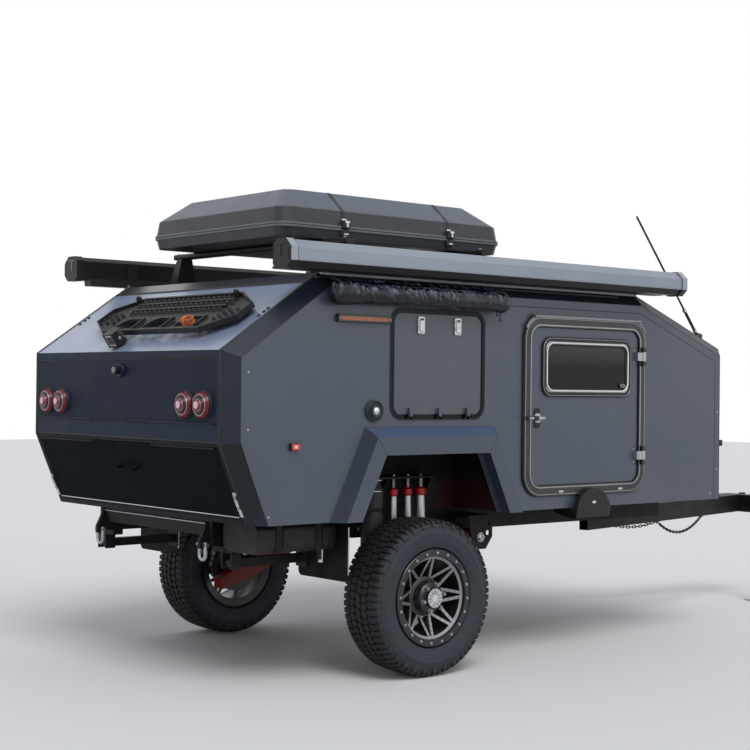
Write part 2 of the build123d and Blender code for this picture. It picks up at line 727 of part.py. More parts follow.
# Mattress of the sleeping cabin
with BuildPart() as mattress:
    with BuildSketch(Plane.XY.offset(BODY_BOTTOM + FLOOR + SEAT_GAP)):
        with Locations(((bulkhead_x + 18 + LINING[6][0]) / 2, 0)):
            RectangleRounded(LINING[6][0] - bulkhead_x - 18 - 70, 2 * INNER_HALF - 60, 60)
    extrude(amount=150)
keep(mattress, "mattress")

# Frames of the side doors and hatches, screwed on outside the walls, with the hinge pins
door_frame_face = BODY_HALF + DOOR_FRAME_PROUD
door_hinge_x = at(DOOR_REAR_STATION + DOOR_LENGTH + DOOR_HINGE_AHEAD)
door_hinge_y = -(BODY_HALF + DOOR_HINGE_OUT)
door_knuckle = (DOOR_HINGE_LENGTH - 52) / 2
handle_post_x = at(DOOR_REAR_STATION + DOOR_HANDLE_IN)
hatch_hinge_y = -(BODY_HALF + KNUCKLE_OUT)
hatch_hinge_z = HATCH_BOTTOM - PANEL_GAP
with BuildPart() as opening_frames:
    with BuildSketch(side_plane(-BODY_HALF)):
        with Locations((door_mid, door_middle_height)):
            RectangleRounded(DOOR_LENGTH + 2 * DOOR_FRAME_WIDTH, DOOR_HEIGHT + 2 * DOOR_FRAME_WIDTH,
                             DOOR_CORNER + DOOR_FRAME_WIDTH)
            RectangleRounded(DOOR_LENGTH + 2 * PANEL_GAP, DOOR_HEIGHT + 2 * PANEL_GAP,
                             DOOR_CORNER + PANEL_GAP, mode=Mode.SUBTRACT)
    extrude(amount=DOOR_FRAME_PROUD)
    rail_z = DOOR_BOTTOM + DOOR_HEIGHT + DOOR_FRAME_WIDTH
    with BuildSketch(Plane.YZ.offset(at(DOOR_REAR_STATION))):
        outline([(-BODY_HALF, rail_z), (-BODY_HALF, rail_z + 4), (-BODY_HALF - 4, rail_z + DRIP_RAIL_TALL),
                 (-door_frame_face - DRIP_RAIL_PROUD, rail_z + DRIP_RAIL_TALL / 2),
                 (-door_frame_face - DRIP_RAIL_PROUD, rail_z - 2), (-door_frame_face, rail_z - 2)])
    extrude(amount=DOOR_LENGTH)
    with BuildSketch(side_plane(-BODY_HALF)):
        with Locations((hatch_mid, hatch_middle_height)):
            RectangleRounded(HATCH_LENGTH + 2 * (PANEL_GAP + HATCH_FRAME_WIDTH),
                             HATCH_TALL + 2 * (PANEL_GAP + HATCH_FRAME_WIDTH),
                             HATCH_CORNER + PANEL_GAP + HATCH_FRAME_WIDTH)
            RectangleRounded(HATCH_LENGTH + 2 * PANEL_GAP, HATCH_TALL + 2 * PANEL_GAP,
                             HATCH_CORNER + PANEL_GAP, mode=Mode.SUBTRACT)
    extrude(amount=HATCH_FRAME_PROUD)
    for height in DOOR_HINGE_HEIGHTS:
        barrel((door_hinge_x, door_hinge_y, height), UPRIGHT, DOOR_HINGE_LENGTH, DOOR_HINGE_PIN)
        block((door_hinge_x + DOOR_HINGE_BARREL + 1, door_hinge_y + 6, height - DOOR_HINGE_LENGTH / 2),
              (door_hinge_x + DOOR_HINGE_BARREL + 13, -door_frame_face, height + DOOR_HINGE_LENGTH / 2))
        for end in (-1, 1):
            middle = height + end * (DOOR_HINGE_LENGTH - door_knuckle) / 2
            barrel((door_hinge_x, door_hinge_y, middle), UPRIGHT, door_knuckle, DOOR_HINGE_BARREL)
            block((door_hinge_x, door_hinge_y, middle - door_knuckle / 2),
                  (door_hinge_x + DOOR_HINGE_BARREL + 13, -door_frame_face, middle + door_knuckle / 2))
    for offset_x in HATCH_HINGES:
        barrel((hatch_mid + offset_x, hatch_hinge_y, hatch_hinge_z), ALONG_X, 3 * KNUCKLE + 2, KNUCKLE_PIN)
        for end in (-1, 1):
            middle = hatch_mid + offset_x + end * (KNUCKLE + 1)
            barrel((middle, hatch_hinge_y, hatch_hinge_z), ALONG_X, KNUCKLE, KNUCKLE_BARREL)
            block((middle - KNUCKLE / 2, hatch_hinge_y, hatch_hinge_z - HATCH_FRAME_WIDTH),
                  (middle + KNUCKLE / 2, -BODY_HALF - HATCH_FRAME_PROUD, hatch_hinge_z))
    mirror(about=Plane.XZ)
keep(opening_frames, "opening_frames")

# Side doors: leaf with its window cut and a raised window rim, hinged at the front edge
with BuildPart() as door_right:
    with BuildSketch(side_plane(-INNER_HALF)):
        with Locations((door_mid, door_middle_height)):
            RectangleRounded(DOOR_LENGTH, DOOR_HEIGHT, DOOR_CORNER)
    extrude(amount=WALL + DOOR_PROUD)
    with BuildSketch(side_plane(-BODY_HALF)):
        with Locations((at(WINDOW_STATION), WINDOW_HEIGHT)):
            RectangleRounded(WINDOW_LENGTH, WINDOW_TALL, WINDOW_CORNER)
    extrude(amount=DOOR_PROUD + WINDOW_RIM_PROUD)
    with BuildSketch(side_plane(-INNER_HALF + 1)):
        with Locations((at(WINDOW_STATION), WINDOW_HEIGHT)):
            RectangleRounded(WINDOW_LENGTH - 2 * WINDOW_RIM, WINDOW_TALL - 2 * WINDOW_RIM,
                             WINDOW_CORNER - WINDOW_RIM / 2)
    extrude(amount=WALL + DOOR_PROUD + WINDOW_RIM_PROUD + 2, mode=Mode.SUBTRACT)
    barrel((handle_post_x, -BODY_HALF - DOOR_PROUD - 4, DOOR_HANDLE_HEIGHT), ALONG_Y, 10, DOOR_HANDLE_ROSE)
    barrel((handle_post_x, -BODY_HALF - DOOR_HANDLE_OUT / 2, DOOR_HANDLE_HEIGHT), ALONG_Y, DOOR_HANDLE_OUT, 9)
    with BuildSketch(Plane.YZ.offset(handle_post_x + DOOR_HANDLE_RADIUS + 4)):
        with Locations((-BODY_HALF - DOOR_HANDLE_OUT, DOOR_HANDLE_HEIGHT)):
            Circle(DOOR_HANDLE_RADIUS)
    extrude(amount=-DOOR_HANDLE_RADIUS * 4)
    with BuildSketch(Plane.YZ.offset(handle_post_x - DOOR_HANDLE_RADIUS * 3 + 4)):
        with Locations((-BODY_HALF - DOOR_HANDLE_OUT, DOOR_HANDLE_HEIGHT)):
            Circle(DOOR_HANDLE_RADIUS)
    extrude(amount=-DOOR_HANDLE_REACH, taper=5)
    for height in DOOR_HINGE_HEIGHTS:
        strap = door_hinge_x - DOOR_HINGE_AHEAD - 28
        barrel((door_hinge_x, door_hinge_y, height), UPRIGHT, 50, DOOR_HINGE_BARREL)
        block((strap, door_hinge_y - 4, height - 24), (door_hinge_x, door_hinge_y + 8, height + 24))
        block((strap, door_hinge_y - 4, height - 24),
              (strap + 22, -BODY_HALF - DOOR_PROUD, height + 24))
        barrel((door_hinge_x, door_hinge_y, height), UPRIGHT, 52, DOOR_HINGE_PIN + RUN_GAP, Mode.SUBTRACT)
keep(door_right, "door_right")

with BuildPart() as door_left:
    mirror(door_right.part, about=Plane.XZ)
keep(door_left, "door_left")

with BuildPart() as window_right:
    with BuildSketch(side_plane(-BODY_HALF)):
        with Locations((at(WINDOW_STATION), WINDOW_HEIGHT)):
            RectangleRounded(WINDOW_LENGTH - 2 * WINDOW_RIM - 1, WINDOW_TALL - 2 * WINDOW_RIM - 1,
                             WINDOW_CORNER - WINDOW_RIM / 2)
    extrude(amount=GLASS)
keep(window_right, "window_right")

with BuildPart() as window_left:
    mirror(window_right.part, about=Plane.XZ)
keep(window_left, "window_left")

hatch_latches = [(hatch_mid + side * LATCH_APART / 2, HATCH_BOTTOM + LATCH_UP) for side in (-1, 1)]

# Storage hatches: flush lids with two lever latches at the top, hinged at the bottom
with BuildPart() as hatch_right:
    with BuildSketch(side_plane(-INNER_HALF)):
        with Locations((hatch_mid, hatch_middle_height)):
            RectangleRounded(HATCH_LENGTH, HATCH_TALL, HATCH_CORNER)
    extrude(amount=WALL)
    with BuildSketch(side_plane(-BODY_HALF)):
        with Locations(*hatch_latches):
            RectangleRounded(LATCH_WIDE, LATCH_TALL, 10)
    extrude(amount=LATCH_PROUD)
    with BuildSketch(side_plane(-BODY_HALF - LATCH_PROUD)):
        with Locations(*hatch_latches):
            RectangleRounded(LATCH_WIDE - 16, LATCH_TALL - 30, 6)
    extrude(amount=LATCH_PADDLE)
    for offset_x in HATCH_HINGES:
        middle = hatch_mid + offset_x
        low_x, high_x = middle - KNUCKLE / 2, middle + KNUCKLE / 2
        barrel((middle, hatch_hinge_y, hatch_hinge_z), ALONG_X, KNUCKLE, KNUCKLE_BARREL)
        block((low_x, hatch_hinge_y - 3, hatch_hinge_z), (high_x, hatch_hinge_y + 5, HATCH_BOTTOM + 32))
        block((low_x, hatch_hinge_y - 3, HATCH_BOTTOM + 6), (high_x, -BODY_HALF, HATCH_BOTTOM + 32))
        barrel((middle, hatch_hinge_y, hatch_hinge_z), ALONG_X, KNUCKLE + 2,
               KNUCKLE_PIN + RUN_GAP, Mode.SUBTRACT)
keep(hatch_right, "hatch_right")

with BuildPart() as hatch_left:
    mirror(hatch_right.part, about=Plane.XZ)
keep(hatch_left, "hatch_left")

# Chassis: two box rails closed at the rear, channel cross members, lugs and the tank's straps
rail_middle = RAIL_OUTER - RAIL_WIDTH / 2
rail_places = [(side * rail_middle, BODY_BOTTOM - RAIL_DEPTH / 2) for side in (-1, 1)]
lug_out, lug_in = at(RAIL_REAR_STATION - SHACKLE_LUG), at(RAIL_REAR_STATION)
shackle_pin = BODY_BOTTOM - CROSS_DEPTH - SHACKLE_DROP
tank_low = BODY_BOTTOM - SEAT_GAP - TANK_TALL
strap_low = tank_low + TANK_GROOVE - SEAT_GAP - STRAP_SHEET
strap_out = TANK_ACROSS + TANK_WIDTH / 2 - TANK_GROOVE + SEAT_GAP
strap_foot = BODY_BOTTOM - SEAT_GAP
strap_rise = RAIL_BOTTOM + STRAP_RISE
with BuildPart() as chassis_frame:
    with BuildSketch(cross_plane(RAIL_REAR_STATION)):
        with Locations(*rail_places):
            Rectangle(RAIL_WIDTH, RAIL_DEPTH)
    extrude(amount=RAIL_FRONT_STATION - RAIL_REAR_STATION)
    for station in CROSS_STATIONS:
        with BuildSketch(cross_plane(station)):
            with Locations((0, BODY_BOTTOM - CROSS_DEPTH / 2)):
                Rectangle(2 * RAIL_OUTER - RAIL_WIDTH, CROSS_DEPTH)
        extrude(amount=CROSS_WIDTH)
        with BuildSketch(cross_plane(station + CROSS_WALL)):
            with Locations((0, BODY_BOTTOM - CROSS_DEPTH / 2)):
                Rectangle(2 * (RAIL_OUTER - RAIL_WIDTH), CROSS_DEPTH - 2 * CROSS_WALL)
        extrude(amount=CROSS_WIDTH, mode=Mode.SUBTRACT)
    with BuildSketch(cross_plane(RAIL_REAR_STATION + CROSS_WALL)):
        with Locations(*rail_places):
            Rectangle(RAIL_WIDTH - 2 * RAIL_WALL, RAIL_DEPTH - 2 * RAIL_WALL)
    extrude(amount=RAIL_FRONT_STATION - RAIL_REAR_STATION, mode=Mode.SUBTRACT)
    for across in (-SHACKLE_ACROSS, SHACKLE_ACROSS):
        with BuildSketch(side_plane(across + SHACKLE_ROD)):
            outline([
                (lug_out, shackle_pin - SHACKLE_EYE), (lug_out, shackle_pin + SHACKLE_EYE),
                (lug_in, BODY_BOTTOM - CROSS_WALL), (lug_in, BODY_BOTTOM - CROSS_DEPTH),
                (lug_in - SHACKLE_LUG / 8, shackle_pin - SHACKLE_EYE),
            ])
            with Locations((at(RAIL_REAR_STATION - SHACKLE_LUG / 2), shackle_pin)):
                Circle(SHACKLE_ROD + 1, mode=Mode.SUBTRACT)
        extrude(amount=2 * SHACKLE_ROD)
    for station in STRAP_STATIONS:
        with BuildSketch(cross_plane(station)):
            outline([
                (-RAIL_OUTER, strap_low), (-RAIL_OUTER, strap_rise), (-RAIL_OUTER - STRAP_SHEET, strap_rise),
                (-RAIL_OUTER - STRAP_SHEET, strap_low + STRAP_SHEET), (-strap_out, strap_low + STRAP_SHEET),
                (-strap_out, strap_foot), (-strap_out - STRAP_WIDTH, strap_foot),
                (-strap_out - STRAP_WIDTH, strap_foot - STRAP_SHEET),
                (-strap_out - STRAP_SHEET, strap_foot - STRAP_SHEET), (-strap_out - STRAP_SHEET, strap_low),
            ])
        extrude(amount=STRAP_WIDTH)
keep(chassis_frame, "chassis_frame")

# Recovery shackles: a bow and pin hanging in each rear lug
shackle_x = at(RAIL_REAR_STATION - SHACKLE_LUG / 2)
bow_top, bow_low = shackle_pin + 12, shackle_pin - SHACKLE_TALL
with BuildPart() as shackles:
    for across in (-SHACKLE_ACROSS, SHACKLE_ACROSS):
        bow_right, bow_left = across - SHACKLE_INNER, across + SHACKLE_INNER
        with BuildLine(Plane.YZ.offset(shackle_x)) as bow:
            FilletPolyline((bow_right, bow_top), (bow_right, bow_low), (bow_left, bow_low), (bow_left, bow_top),
                           radius=SHACKLE_INNER - 1)
        with BuildSketch(bow.line ^ 0):
            Circle(SHACKLE_ROD - 1)
        sweep()
        barrel((shackle_x, across, shackle_pin), ALONG_Y, 2 * SHACKLE_INNER + 34, SHACKLE_ROD)
keep(shackles, "shackles")

# Suspension towers and pivot brackets, welded outside the rails
tower_inner = RAIL_OUTER
pivot_x = at(ARM_PIVOT_STATION)
tower_wall = ARCH_BOX_INNER + ARCH_SHEET + 4
tower_rear = at(SPRING_STATION + TOWER_AHEAD) - TOWER_LENGTH / 2
tower_front = tower_rear + TOWER_LENGTH
tower_top = SPRING_TOP + TOWER_SHEET
gusset_low = SPRING_TOP - GUSSET_TALL
bracket_low = ARM_PIVOT_HEIGHT - PIVOT_BRACKET_DROP
bracket_rear, bracket_front = pivot_x - PIVOT_BRACKET_HALF, pivot_x + PIVOT_BRACKET_HALF
with BuildPart() as suspension_towers:
    block((tower_rear, -tower_wall, RAIL_BOTTOM), (tower_front, -tower_inner, BODY_BOTTOM - TOWER_PLATE))
    with BuildSketch(side_plane(-tower_wall)):
        outline([
            (tower_rear, RAIL_BOTTOM), (tower_rear, tower_top), (tower_front, tower_top),
            (tower_front, BODY_BOTTOM - 30), (tower_front - 60, RAIL_BOTTOM),
        ])
    extrude(amount=TOWER_PLATE)
    block((tower_rear, -tower_wall - TOWER_SHELF, SPRING_TOP), (tower_front, -tower_wall, tower_top))
    for station in GUSSET_STATIONS:
        with BuildSketch(cross_plane(station)):
            outline([(-tower_wall, gusset_low), (-tower_wall - TOWER_PLATE, gusset_low),
                     (-tower_wall - GUSSET_WIDE, SPRING_TOP), (-tower_wall, SPRING_TOP)])
        extrude(amount=TOWER_PLATE)
    for across in (ARM_MIDDLE - ARM_WIDTH / 2 - 14, ARM_MIDDLE + ARM_WIDTH / 2 + 14):
        with BuildSketch(side_plane(-across + 5)):
            outline([
                (bracket_rear, RAIL_BOTTOM + 90), (bracket_rear + 40, bracket_low),
                (bracket_front - 50, bracket_low), (bracket_front, ARM_PIVOT_HEIGHT),
                (bracket_front, RAIL_BOTTOM + 90),
            ])
            with Locations((pivot_x + 58, ARM_PIVOT_HEIGHT + 22), (pivot_x + 58, ARM_PIVOT_HEIGHT + 76)):
                Circle(PIVOT_BRACKET_HOLE, mode=Mode.SUBTRACT)
        extrude(amount=TOWER_PLATE)
    with BuildSketch(Plane.XY.offset(RAIL_BOTTOM + 80)):
        with Locations((pivot_x, -(tower_inner + ARM_MIDDLE + ARM_WIDTH / 2 + 19) / 2)):
            Rectangle(180, ARM_MIDDLE + ARM_WIDTH / 2 + 19 - tower_inner)
    extrude(amount=12)
    with BuildSketch(side_plane(-(ARM_MIDDLE - ARM_WIDTH / 2 - 19))):
        with Locations((at(ARM_PIVOT_STATION), ARM_PIVOT_HEIGHT)):
            Circle(ARM_PIN)
    extrude(amount=ARM_WIDTH + 38)
    mirror(about=Plane.XZ)
keep(suspension_towers, "suspension_towers")

# Trailing arms: box beams from the pivots back past the axle, with the stub axles
arm_angle = atan2(ARM_PIVOT_HEIGHT - TYRE_RADIUS, ARM_PIVOT_STATION - AXLE_STATION)


def arm_point(station, lift):
    """Point on a trailing arm's middle line at a station, raised square to the arm."""
    height = TYRE_RADIUS + (station - AXLE_STATION) * tan(arm_angle)
    return (at(station) - lift * sin(arm_angle), height + lift * cos(arm_angle))


with BuildPart() as trailing_arms:
    with BuildSketch(side_plane(-(ARM_MIDDLE - ARM_WIDTH / 2))):
        outline([
            arm_point(SPRING_STATION - 70, -ARM_DEPTH * 0.35),
            arm_point(SPRING_STATION - 70, ARM_DEPTH * 0.35),
            arm_point(AXLE_STATION + 60, ARM_DEPTH * 0.6),
            arm_point(ARM_PIVOT_STATION, ARM_DEPTH * 0.5),
            arm_point(ARM_PIVOT_STATION, -ARM_DEPTH * 0.5),
            arm_point(AXLE_STATION, -ARM_DEPTH * 0.65),
        ])
        with Locations((at(ARM_PIVOT_STATION), ARM_PIVOT_HEIGHT)):
            Circle(ARM_DEPTH * 0.5)
            Circle(ARM_PIN + RUN_GAP, mode=Mode.SUBTRACT)
    extrude(amount=ARM_WIDTH)
    with BuildSketch(side_plane(-(ARM_MIDDLE + ARM_WIDTH / 2))):
        with Locations((axle_x, TYRE_RADIUS)):
            Circle(STUB_RADIUS + 16)
    extrude(amount=24)
    with BuildSketch(side_plane(-(ARM_MIDDLE + ARM_WIDTH / 2))):
        with Locations((axle_x, TYRE_RADIUS)):
            Circle(STUB_RADIUS)
    extrude(amount=TYRE_OUTER - 75 - ARM_MIDDLE - ARM_WIDTH / 2)
    mirror(about=Plane.XZ)
keep(trailing_arms, "trailing_arms")

# Air springs: a bellows of two rolls on its piston, between the arm and the tower
# Each level: radius and height above the seat, or below the tower's shelf where negative
spring_seat = arm_point(SPRING_STATION + SPRING_RADIUS, ARM_DEPTH * 0.5)[1] + 8
spring_levels = (
    (0, 0), (40, 0), (44, 12), (40, 24), (46, 190), (SPRING_RADIUS - 4, 205), (SPRING_RADIUS, 225),
    (SPRING_RADIUS, -190), (SPRING_RADIUS - 9, -170), (SPRING_RADIUS, -150), (SPRING_RADIUS, -50),
    (SPRING_RADIUS - 12, -26), (SPRING_RADIUS - 12, -SEAT_GAP), (0, -SEAT_GAP),
)
with BuildPart() as air_springs:
    with BuildSketch(Plane.XZ.offset(ARM_MIDDLE)) as spring_profile:
        outline([(at(SPRING_STATION) + radius, level + (SPRING_TOP if level < 0 else spring_seat))
                 for radius, level in spring_levels])
    revolve(axis=Axis((at(SPRING_STATION), -ARM_MIDDLE, 0), (0, 0, 1)))
    mirror(about=Plane.XZ)
keep(air_springs, "air_springs")

# Dampers and their reservoir beside the springs: rod, body, collar and top nut
with BuildPart() as dampers:
    for station, radius in zip(DAMPER_STATIONS, DAMPER_RADII):
        seat = arm_point(station, ARM_DEPTH * 0.6)[1] + 22
        with BuildSketch(Plane.XZ.offset(DAMPER_ACROSS)):
            outline([(at(station) + out, height) for out, height in (
                (0, seat), (radius * 0.9, seat), (radius * 0.9, seat + 44), (radius * 0.5, seat + 56),
                (radius * 0.5, seat + 150), (radius, seat + 162), (radius, SPRING_TOP - 92),
                (radius + 6, SPRING_TOP - 88), (radius + 6, SPRING_TOP - 58), (radius * 0.6, SPRING_TOP - 50),
                (radius * 0.6, SPRING_TOP - SEAT_GAP), (0, SPRING_TOP - SEAT_GAP),
            )])
        revolve(axis=Axis((at(station), -DAMPER_ACROSS, 0), (0, 0, 1)))
    mirror(about=Plane.XZ)
keep(dampers, "dampers")

# Wheels: bead ring and barrel, eight forked spokes cut out of a dished disc, hub and cap
hub_bore = STUB_RADIUS + RUN_GAP
rim_face = TYRE_OUTER - 9
ring_back = rim_face - RIM_DEPTH - RIM_BEVEL
lip_face = TYRE_INNER + INNER_LIP_IN
lip_back = lip_face + INNER_LIP_THICK + INNER_LIP_BEVEL
spoke_outer = BARREL_RADIUS - RIM_WALL
fork_half = 180 / SPOKES


def polar(radius, turn):
    """Point on a wheel's face at a radius and an angle in degrees."""
    return (radius * cos(radians(turn)), radius * sin(radians(turn)))


def spoke_arm(spoke, side):
    """Four corners of one arm of a forked spoke, from the hub out to the rim's edge."""
    middle = spoke * 360 / SPOKES
    x1, z1 = polar(HUB_RADIUS - SPOKE_HALF, middle + side * fork_half)
    x2, z2 = polar(spoke_outer + 10, middle + side * SPOKE_FORK)
    run = hypot(x2 - x1, z2 - z1)
    off_x, off_z = -(z2 - z1) / run * SPOKE_HALF, (x2 - x1) / run * SPOKE_HALF
    return [(x1 + off_x, z1 + off_z), (x2 + off_x, z2 + off_z),
            (x2 - off_x, z2 - off_z), (x1 - off_x, z1 - off_z)]


with BuildPart() as wheel_right:
    with BuildSketch(Plane.XY):
        with BuildLine():
            Polyline(
                (hub_bore, -TYRE_INNER - 12), (DRUM_RADIUS, -TYRE_INNER - 12),
                (DRUM_RADIUS, -TYRE_INNER - DRUM_DEPTH), (HUB_RADIUS, -TYRE_INNER - DRUM_DEPTH - 12),
                (HUB_RADIUS, -rim_face + SPOKE_HUB_DEPTH + SPOKE_THICK),
                (spoke_outer, -rim_face + SPOKE_RIM_DEPTH + SPOKE_THICK),
                (spoke_outer, -lip_face - INNER_LIP_BEVEL), (INNER_LIP_RADIUS, -lip_face),
                (INNER_LIP_RADIUS, -lip_face - INNER_LIP_THICK), (BARREL_RADIUS, -lip_back),
                (BARREL_RADIUS, -ring_back), (RIM_RADIUS, -rim_face + RIM_DEPTH), (RIM_RADIUS, -rim_face + 4),
                (RIM_RADIUS - 4, -rim_face), (RIM_INNER + 3, -rim_face),
                (RIM_INNER, -rim_face + SPOKE_RIM_DEPTH), (HUB_RADIUS, -rim_face + SPOKE_HUB_DEPTH),
                (HUB_BODY, -rim_face + SPOKE_HUB_DEPTH - 8), (HUB_BODY - 4, -rim_face + HUB_FACE_DEPTH + 14),
                (HUB_BODY - 18, -rim_face + HUB_FACE_DEPTH), (CAP_RADIUS, -rim_face + HUB_FACE_DEPTH),
                (CAP_RADIUS - 3, -rim_face - CAP_PROUD), (0, -rim_face - CAP_PROUD),
                (0, -rim_face - CAP_PROUD + CAP_SKIN), (hub_bore, -rim_face - CAP_PROUD + CAP_SKIN),
                close=True,
            )
        make_face()
    revolve(axis=Axis((0, 0, 0), (0, 1, 0)))
    with BuildSketch(side_plane(-rim_face + SPOKE_HUB_DEPTH + SPOKE_THICK + 1)):
        Circle(spoke_outer - 2)
        Circle(HUB_RADIUS + 2, mode=Mode.SUBTRACT)
        for spoke in range(SPOKES):
            outline(spoke_arm(spoke, -1), mode=Mode.SUBTRACT)
            outline(spoke_arm(spoke, 1), mode=Mode.SUBTRACT)
    extrude(amount=SPOKE_HUB_DEPTH + SPOKE_THICK, mode=Mode.SUBTRACT)
wheel_right.part.position = (axle_x, 0, TYRE_RADIUS)
keep(wheel_right, "wheel_right")

with BuildPart() as wheel_left:
    mirror(wheel_right.part, about=Plane.XZ)
keep(wheel_left, "wheel_left")

# Tyres: carcass turned about the axle, with rings of tread and shoulder lugs
def lug_ring(tip, phase):
    """Outline of a row of lugs about the axle, standing on a ring one lug height lower."""
    ring = []
    for lug in range(LUGS_ROUND):
        for rise, share in ((-LUG_HEIGHT, -0.5), (0, -0.5), (0, 0.5), (-LUG_HEIGHT, 0.5)):
            turn = radians((lug + phase + share * LUG_SHARE) * 360 / LUGS_ROUND)
            ring.append(((tip + rise) * cos(turn), (tip + rise) * sin(turn)))
    return ring


def plain_ring(radius):
    """Outline of the carcass at one place across the tyre."""
    turns = [pi * side / LUGS_ROUND for side in range(2 * LUGS_ROUND)]
    return [(radius * cos(turn), radius * sin(turn)) for turn in turns]


# Rows of lugs: from and to, across the tyre; radius at the tips; turn in lug pitches
tyre_middle = TYRE_OUTER - TYRE_WIDTH / 2
shoulder_tip = TYRE_RADIUS - SHOULDER_DROP
lug_rows = (
    (TYRE_OUTER - SIDEWALL_BULGE, TYRE_OUTER - SHOULDER_ROW, shoulder_tip, 0),
    (TYRE_OUTER - SHOULDER_ROW, tyre_middle, TYRE_RADIUS, 0.5),
    (tyre_middle, TYRE_INNER + SHOULDER_ROW, TYRE_RADIUS, 0),
    (TYRE_INNER + SHOULDER_ROW, TYRE_INNER + SIDEWALL_BULGE, shoulder_tip, 0.5),
)


def out_from_axle(edge):
    """How far an edge's middle lies from the axle's line."""
    middle = edge.center()
    return hypot(middle.X, middle.Z)


with BuildPart() as tyre_right:
    with BuildSketch(side_plane(-TYRE_INNER)):
        outline(plain_ring(shoulder_tip - SHOULDER_FOOT))
    extrude(amount=TYRE_WIDTH)
    for side in (0, -1):
        wall = tyre_right.faces().sort_by(Axis.Y)[side]
        chamfer(wall.outer_wire().edges(), SIDEWALL_FALL, SIDEWALL_BULGE, reference=wall)
    for outer, inner, tip, phase in lug_rows:
        with BuildSketch(side_plane(-inner)):
            outline(lug_ring(tip, phase))
        extrude(amount=outer - inner)
    for across in (TYRE_OUTER - SIDEWALL_BULGE, TYRE_INNER + SIDEWALL_BULGE):
        ends = tyre_right.edges().filter_by_position(Axis.Y, -across - 0.1, -across + 0.1)
        chamfer([edge for edge in ends if out_from_axle(edge) > shoulder_tip - LUG_HEIGHT / 4], SHOULDER_CUT)
    barrel((0, -tyre_middle, 0), ALONG_Y, 2 * TYRE_WIDTH, BARREL_RADIUS + SEAT_GAP, Mode.SUBTRACT)
    for across, radius, depth in ((ring_back - SEAT_GAP, RIM_RADIUS, TYRE_WIDTH / 2),
                                  (lip_back + SEAT_GAP, INNER_LIP_RADIUS, -TYRE_WIDTH / 2)):
        with BuildSketch(side_plane(-across)):
            outline(plain_ring(radius + SEAT_CLEAR))
        extrude(amount=depth, mode=Mode.SUBTRACT)
tyre_right.part.position = (axle_x, 0, TYRE_RADIUS)
keep(tyre_right, "tyre_right")

with BuildPart() as tyre_left:
    mirror(tyre_right.part, about=Plane.XZ)
keep(tyre_left, "tyre_left")

# Mud flaps behind the wheels
with BuildPart() as mud_flaps:
    with BuildSketch(cross_plane(720)):
        with Locations((-765, BODY_BOTTOM - SEAT_GAP - 150)):
            RectangleRounded(400, 300, 30)
    extrude(amount=8)
    mirror(about=Plane.XZ)
keep(mud_flaps, "mud_flaps")

# Fresh water tank under the rear, beside the right rail, with grooves for its straps and a drain
groove_wide, groove_tall = TANK_WIDTH - 2 * TANK_GROOVE, TANK_TALL - 2 * TANK_GROOVE
with BuildPart() as water_tank:
    with BuildSketch(cross_plane(TANK_STATION)):
        with Locations((-TANK_ACROSS, tank_low + TANK_TALL / 2)):
            RectangleRounded(TANK_WIDTH, TANK_TALL, TANK_CORNER)
    extrude(amount=TANK_LENGTH)
    for station in STRAP_STATIONS:
        with BuildSketch(cross_plane(station - 5)):
            with Locations((-TANK_ACROSS, tank_low + TANK_TALL / 2)):
                Rectangle(TANK_WIDTH + 10, TANK_TALL + 10)
                RectangleRounded(groove_wide, groove_tall, TANK_GROOVE, mode=Mode.SUBTRACT)
        extrude(amount=STRAP_WIDTH + 10, mode=Mode.SUBTRACT)
    barrel((at(TANK_STATION + TANK_LENGTH - 60), -TANK_ACROSS - 90, tank_low - 20), UPRIGHT, 60, 14)
keep(water_tank, "water_tank")

# Drawbar: two arms from under the floor to the coupling head
drawbar_low = RAIL_BOTTOM - DRAWBAR_DEPTH + DRAWBAR_LAP
bore_share = 1 - 2 * DRAWBAR_WALL / DRAWBAR_WIDTH
with BuildPart() as drawbar:
    for side in (-1, 1):
        foot = (at(DRAWBAR_FOOT_STATION), side * (rail_middle - RAIL_WIDTH - 4))
        head = (at(COUPLING_STATION - COUPLING_LENGTH) - 10, side * (DRAWBAR_WIDTH / 2))
        run = hypot(head[0] - foot[0], head[1] - foot[1])
        side_x = -(head[1] - foot[1]) / run * DRAWBAR_WIDTH / 2
        side_y = (head[0] - foot[0]) / run * DRAWBAR_WIDTH / 2
        with BuildSketch(Plane.XY.offset(drawbar_low)):
            outline([(foot[0] + side_x, foot[1] + side_y), (head[0] + side_x, head[1] + side_y),
                     (head[0] - side_x, head[1] - side_y), (foot[0] - side_x, foot[1] - side_y)])
        extrude(amount=DRAWBAR_DEPTH)
        tube_x, tube_y = (head[0] - foot[0]) / run, (head[1] - foot[1]) / run
        in_x, in_y = side_x * bore_share, side_y * bore_share
        end_x, end_y = foot[0] + tube_x * DRAWBAR_OPEN, foot[1] + tube_y * DRAWBAR_OPEN
        start_x, start_y = foot[0] - tube_x, foot[1] - tube_y
        with BuildSketch(Plane.XY.offset(drawbar_low + DRAWBAR_WALL)):
            outline([(start_x + in_x, start_y + in_y), (end_x + in_x, end_y + in_y),
                     (end_x - in_x, end_y - in_y), (start_x - in_x, start_y - in_y)])
        extrude(amount=DRAWBAR_DEPTH - 2 * DRAWBAR_WALL, mode=Mode.SUBTRACT)
    with BuildSketch(Plane.XY.offset(drawbar_low)):
        with Locations((at(COUPLING_STATION - COUPLING_LENGTH) - 120, 0)):
            Rectangle(240, 2 * DRAWBAR_WIDTH + 30)
    extrude(amount=DRAWBAR_DEPTH)
    with BuildSketch(Plane.XY.offset(drawbar_low)):
        with Locations((at(JACK_STATION), (JACK_ACROSS + JACK_TUBE + 2) / 2)):
            Rectangle(80, -JACK_ACROSS - JACK_TUBE - 2)
    extrude(amount=DRAWBAR_DEPTH)
keep(drawbar, "drawbar")

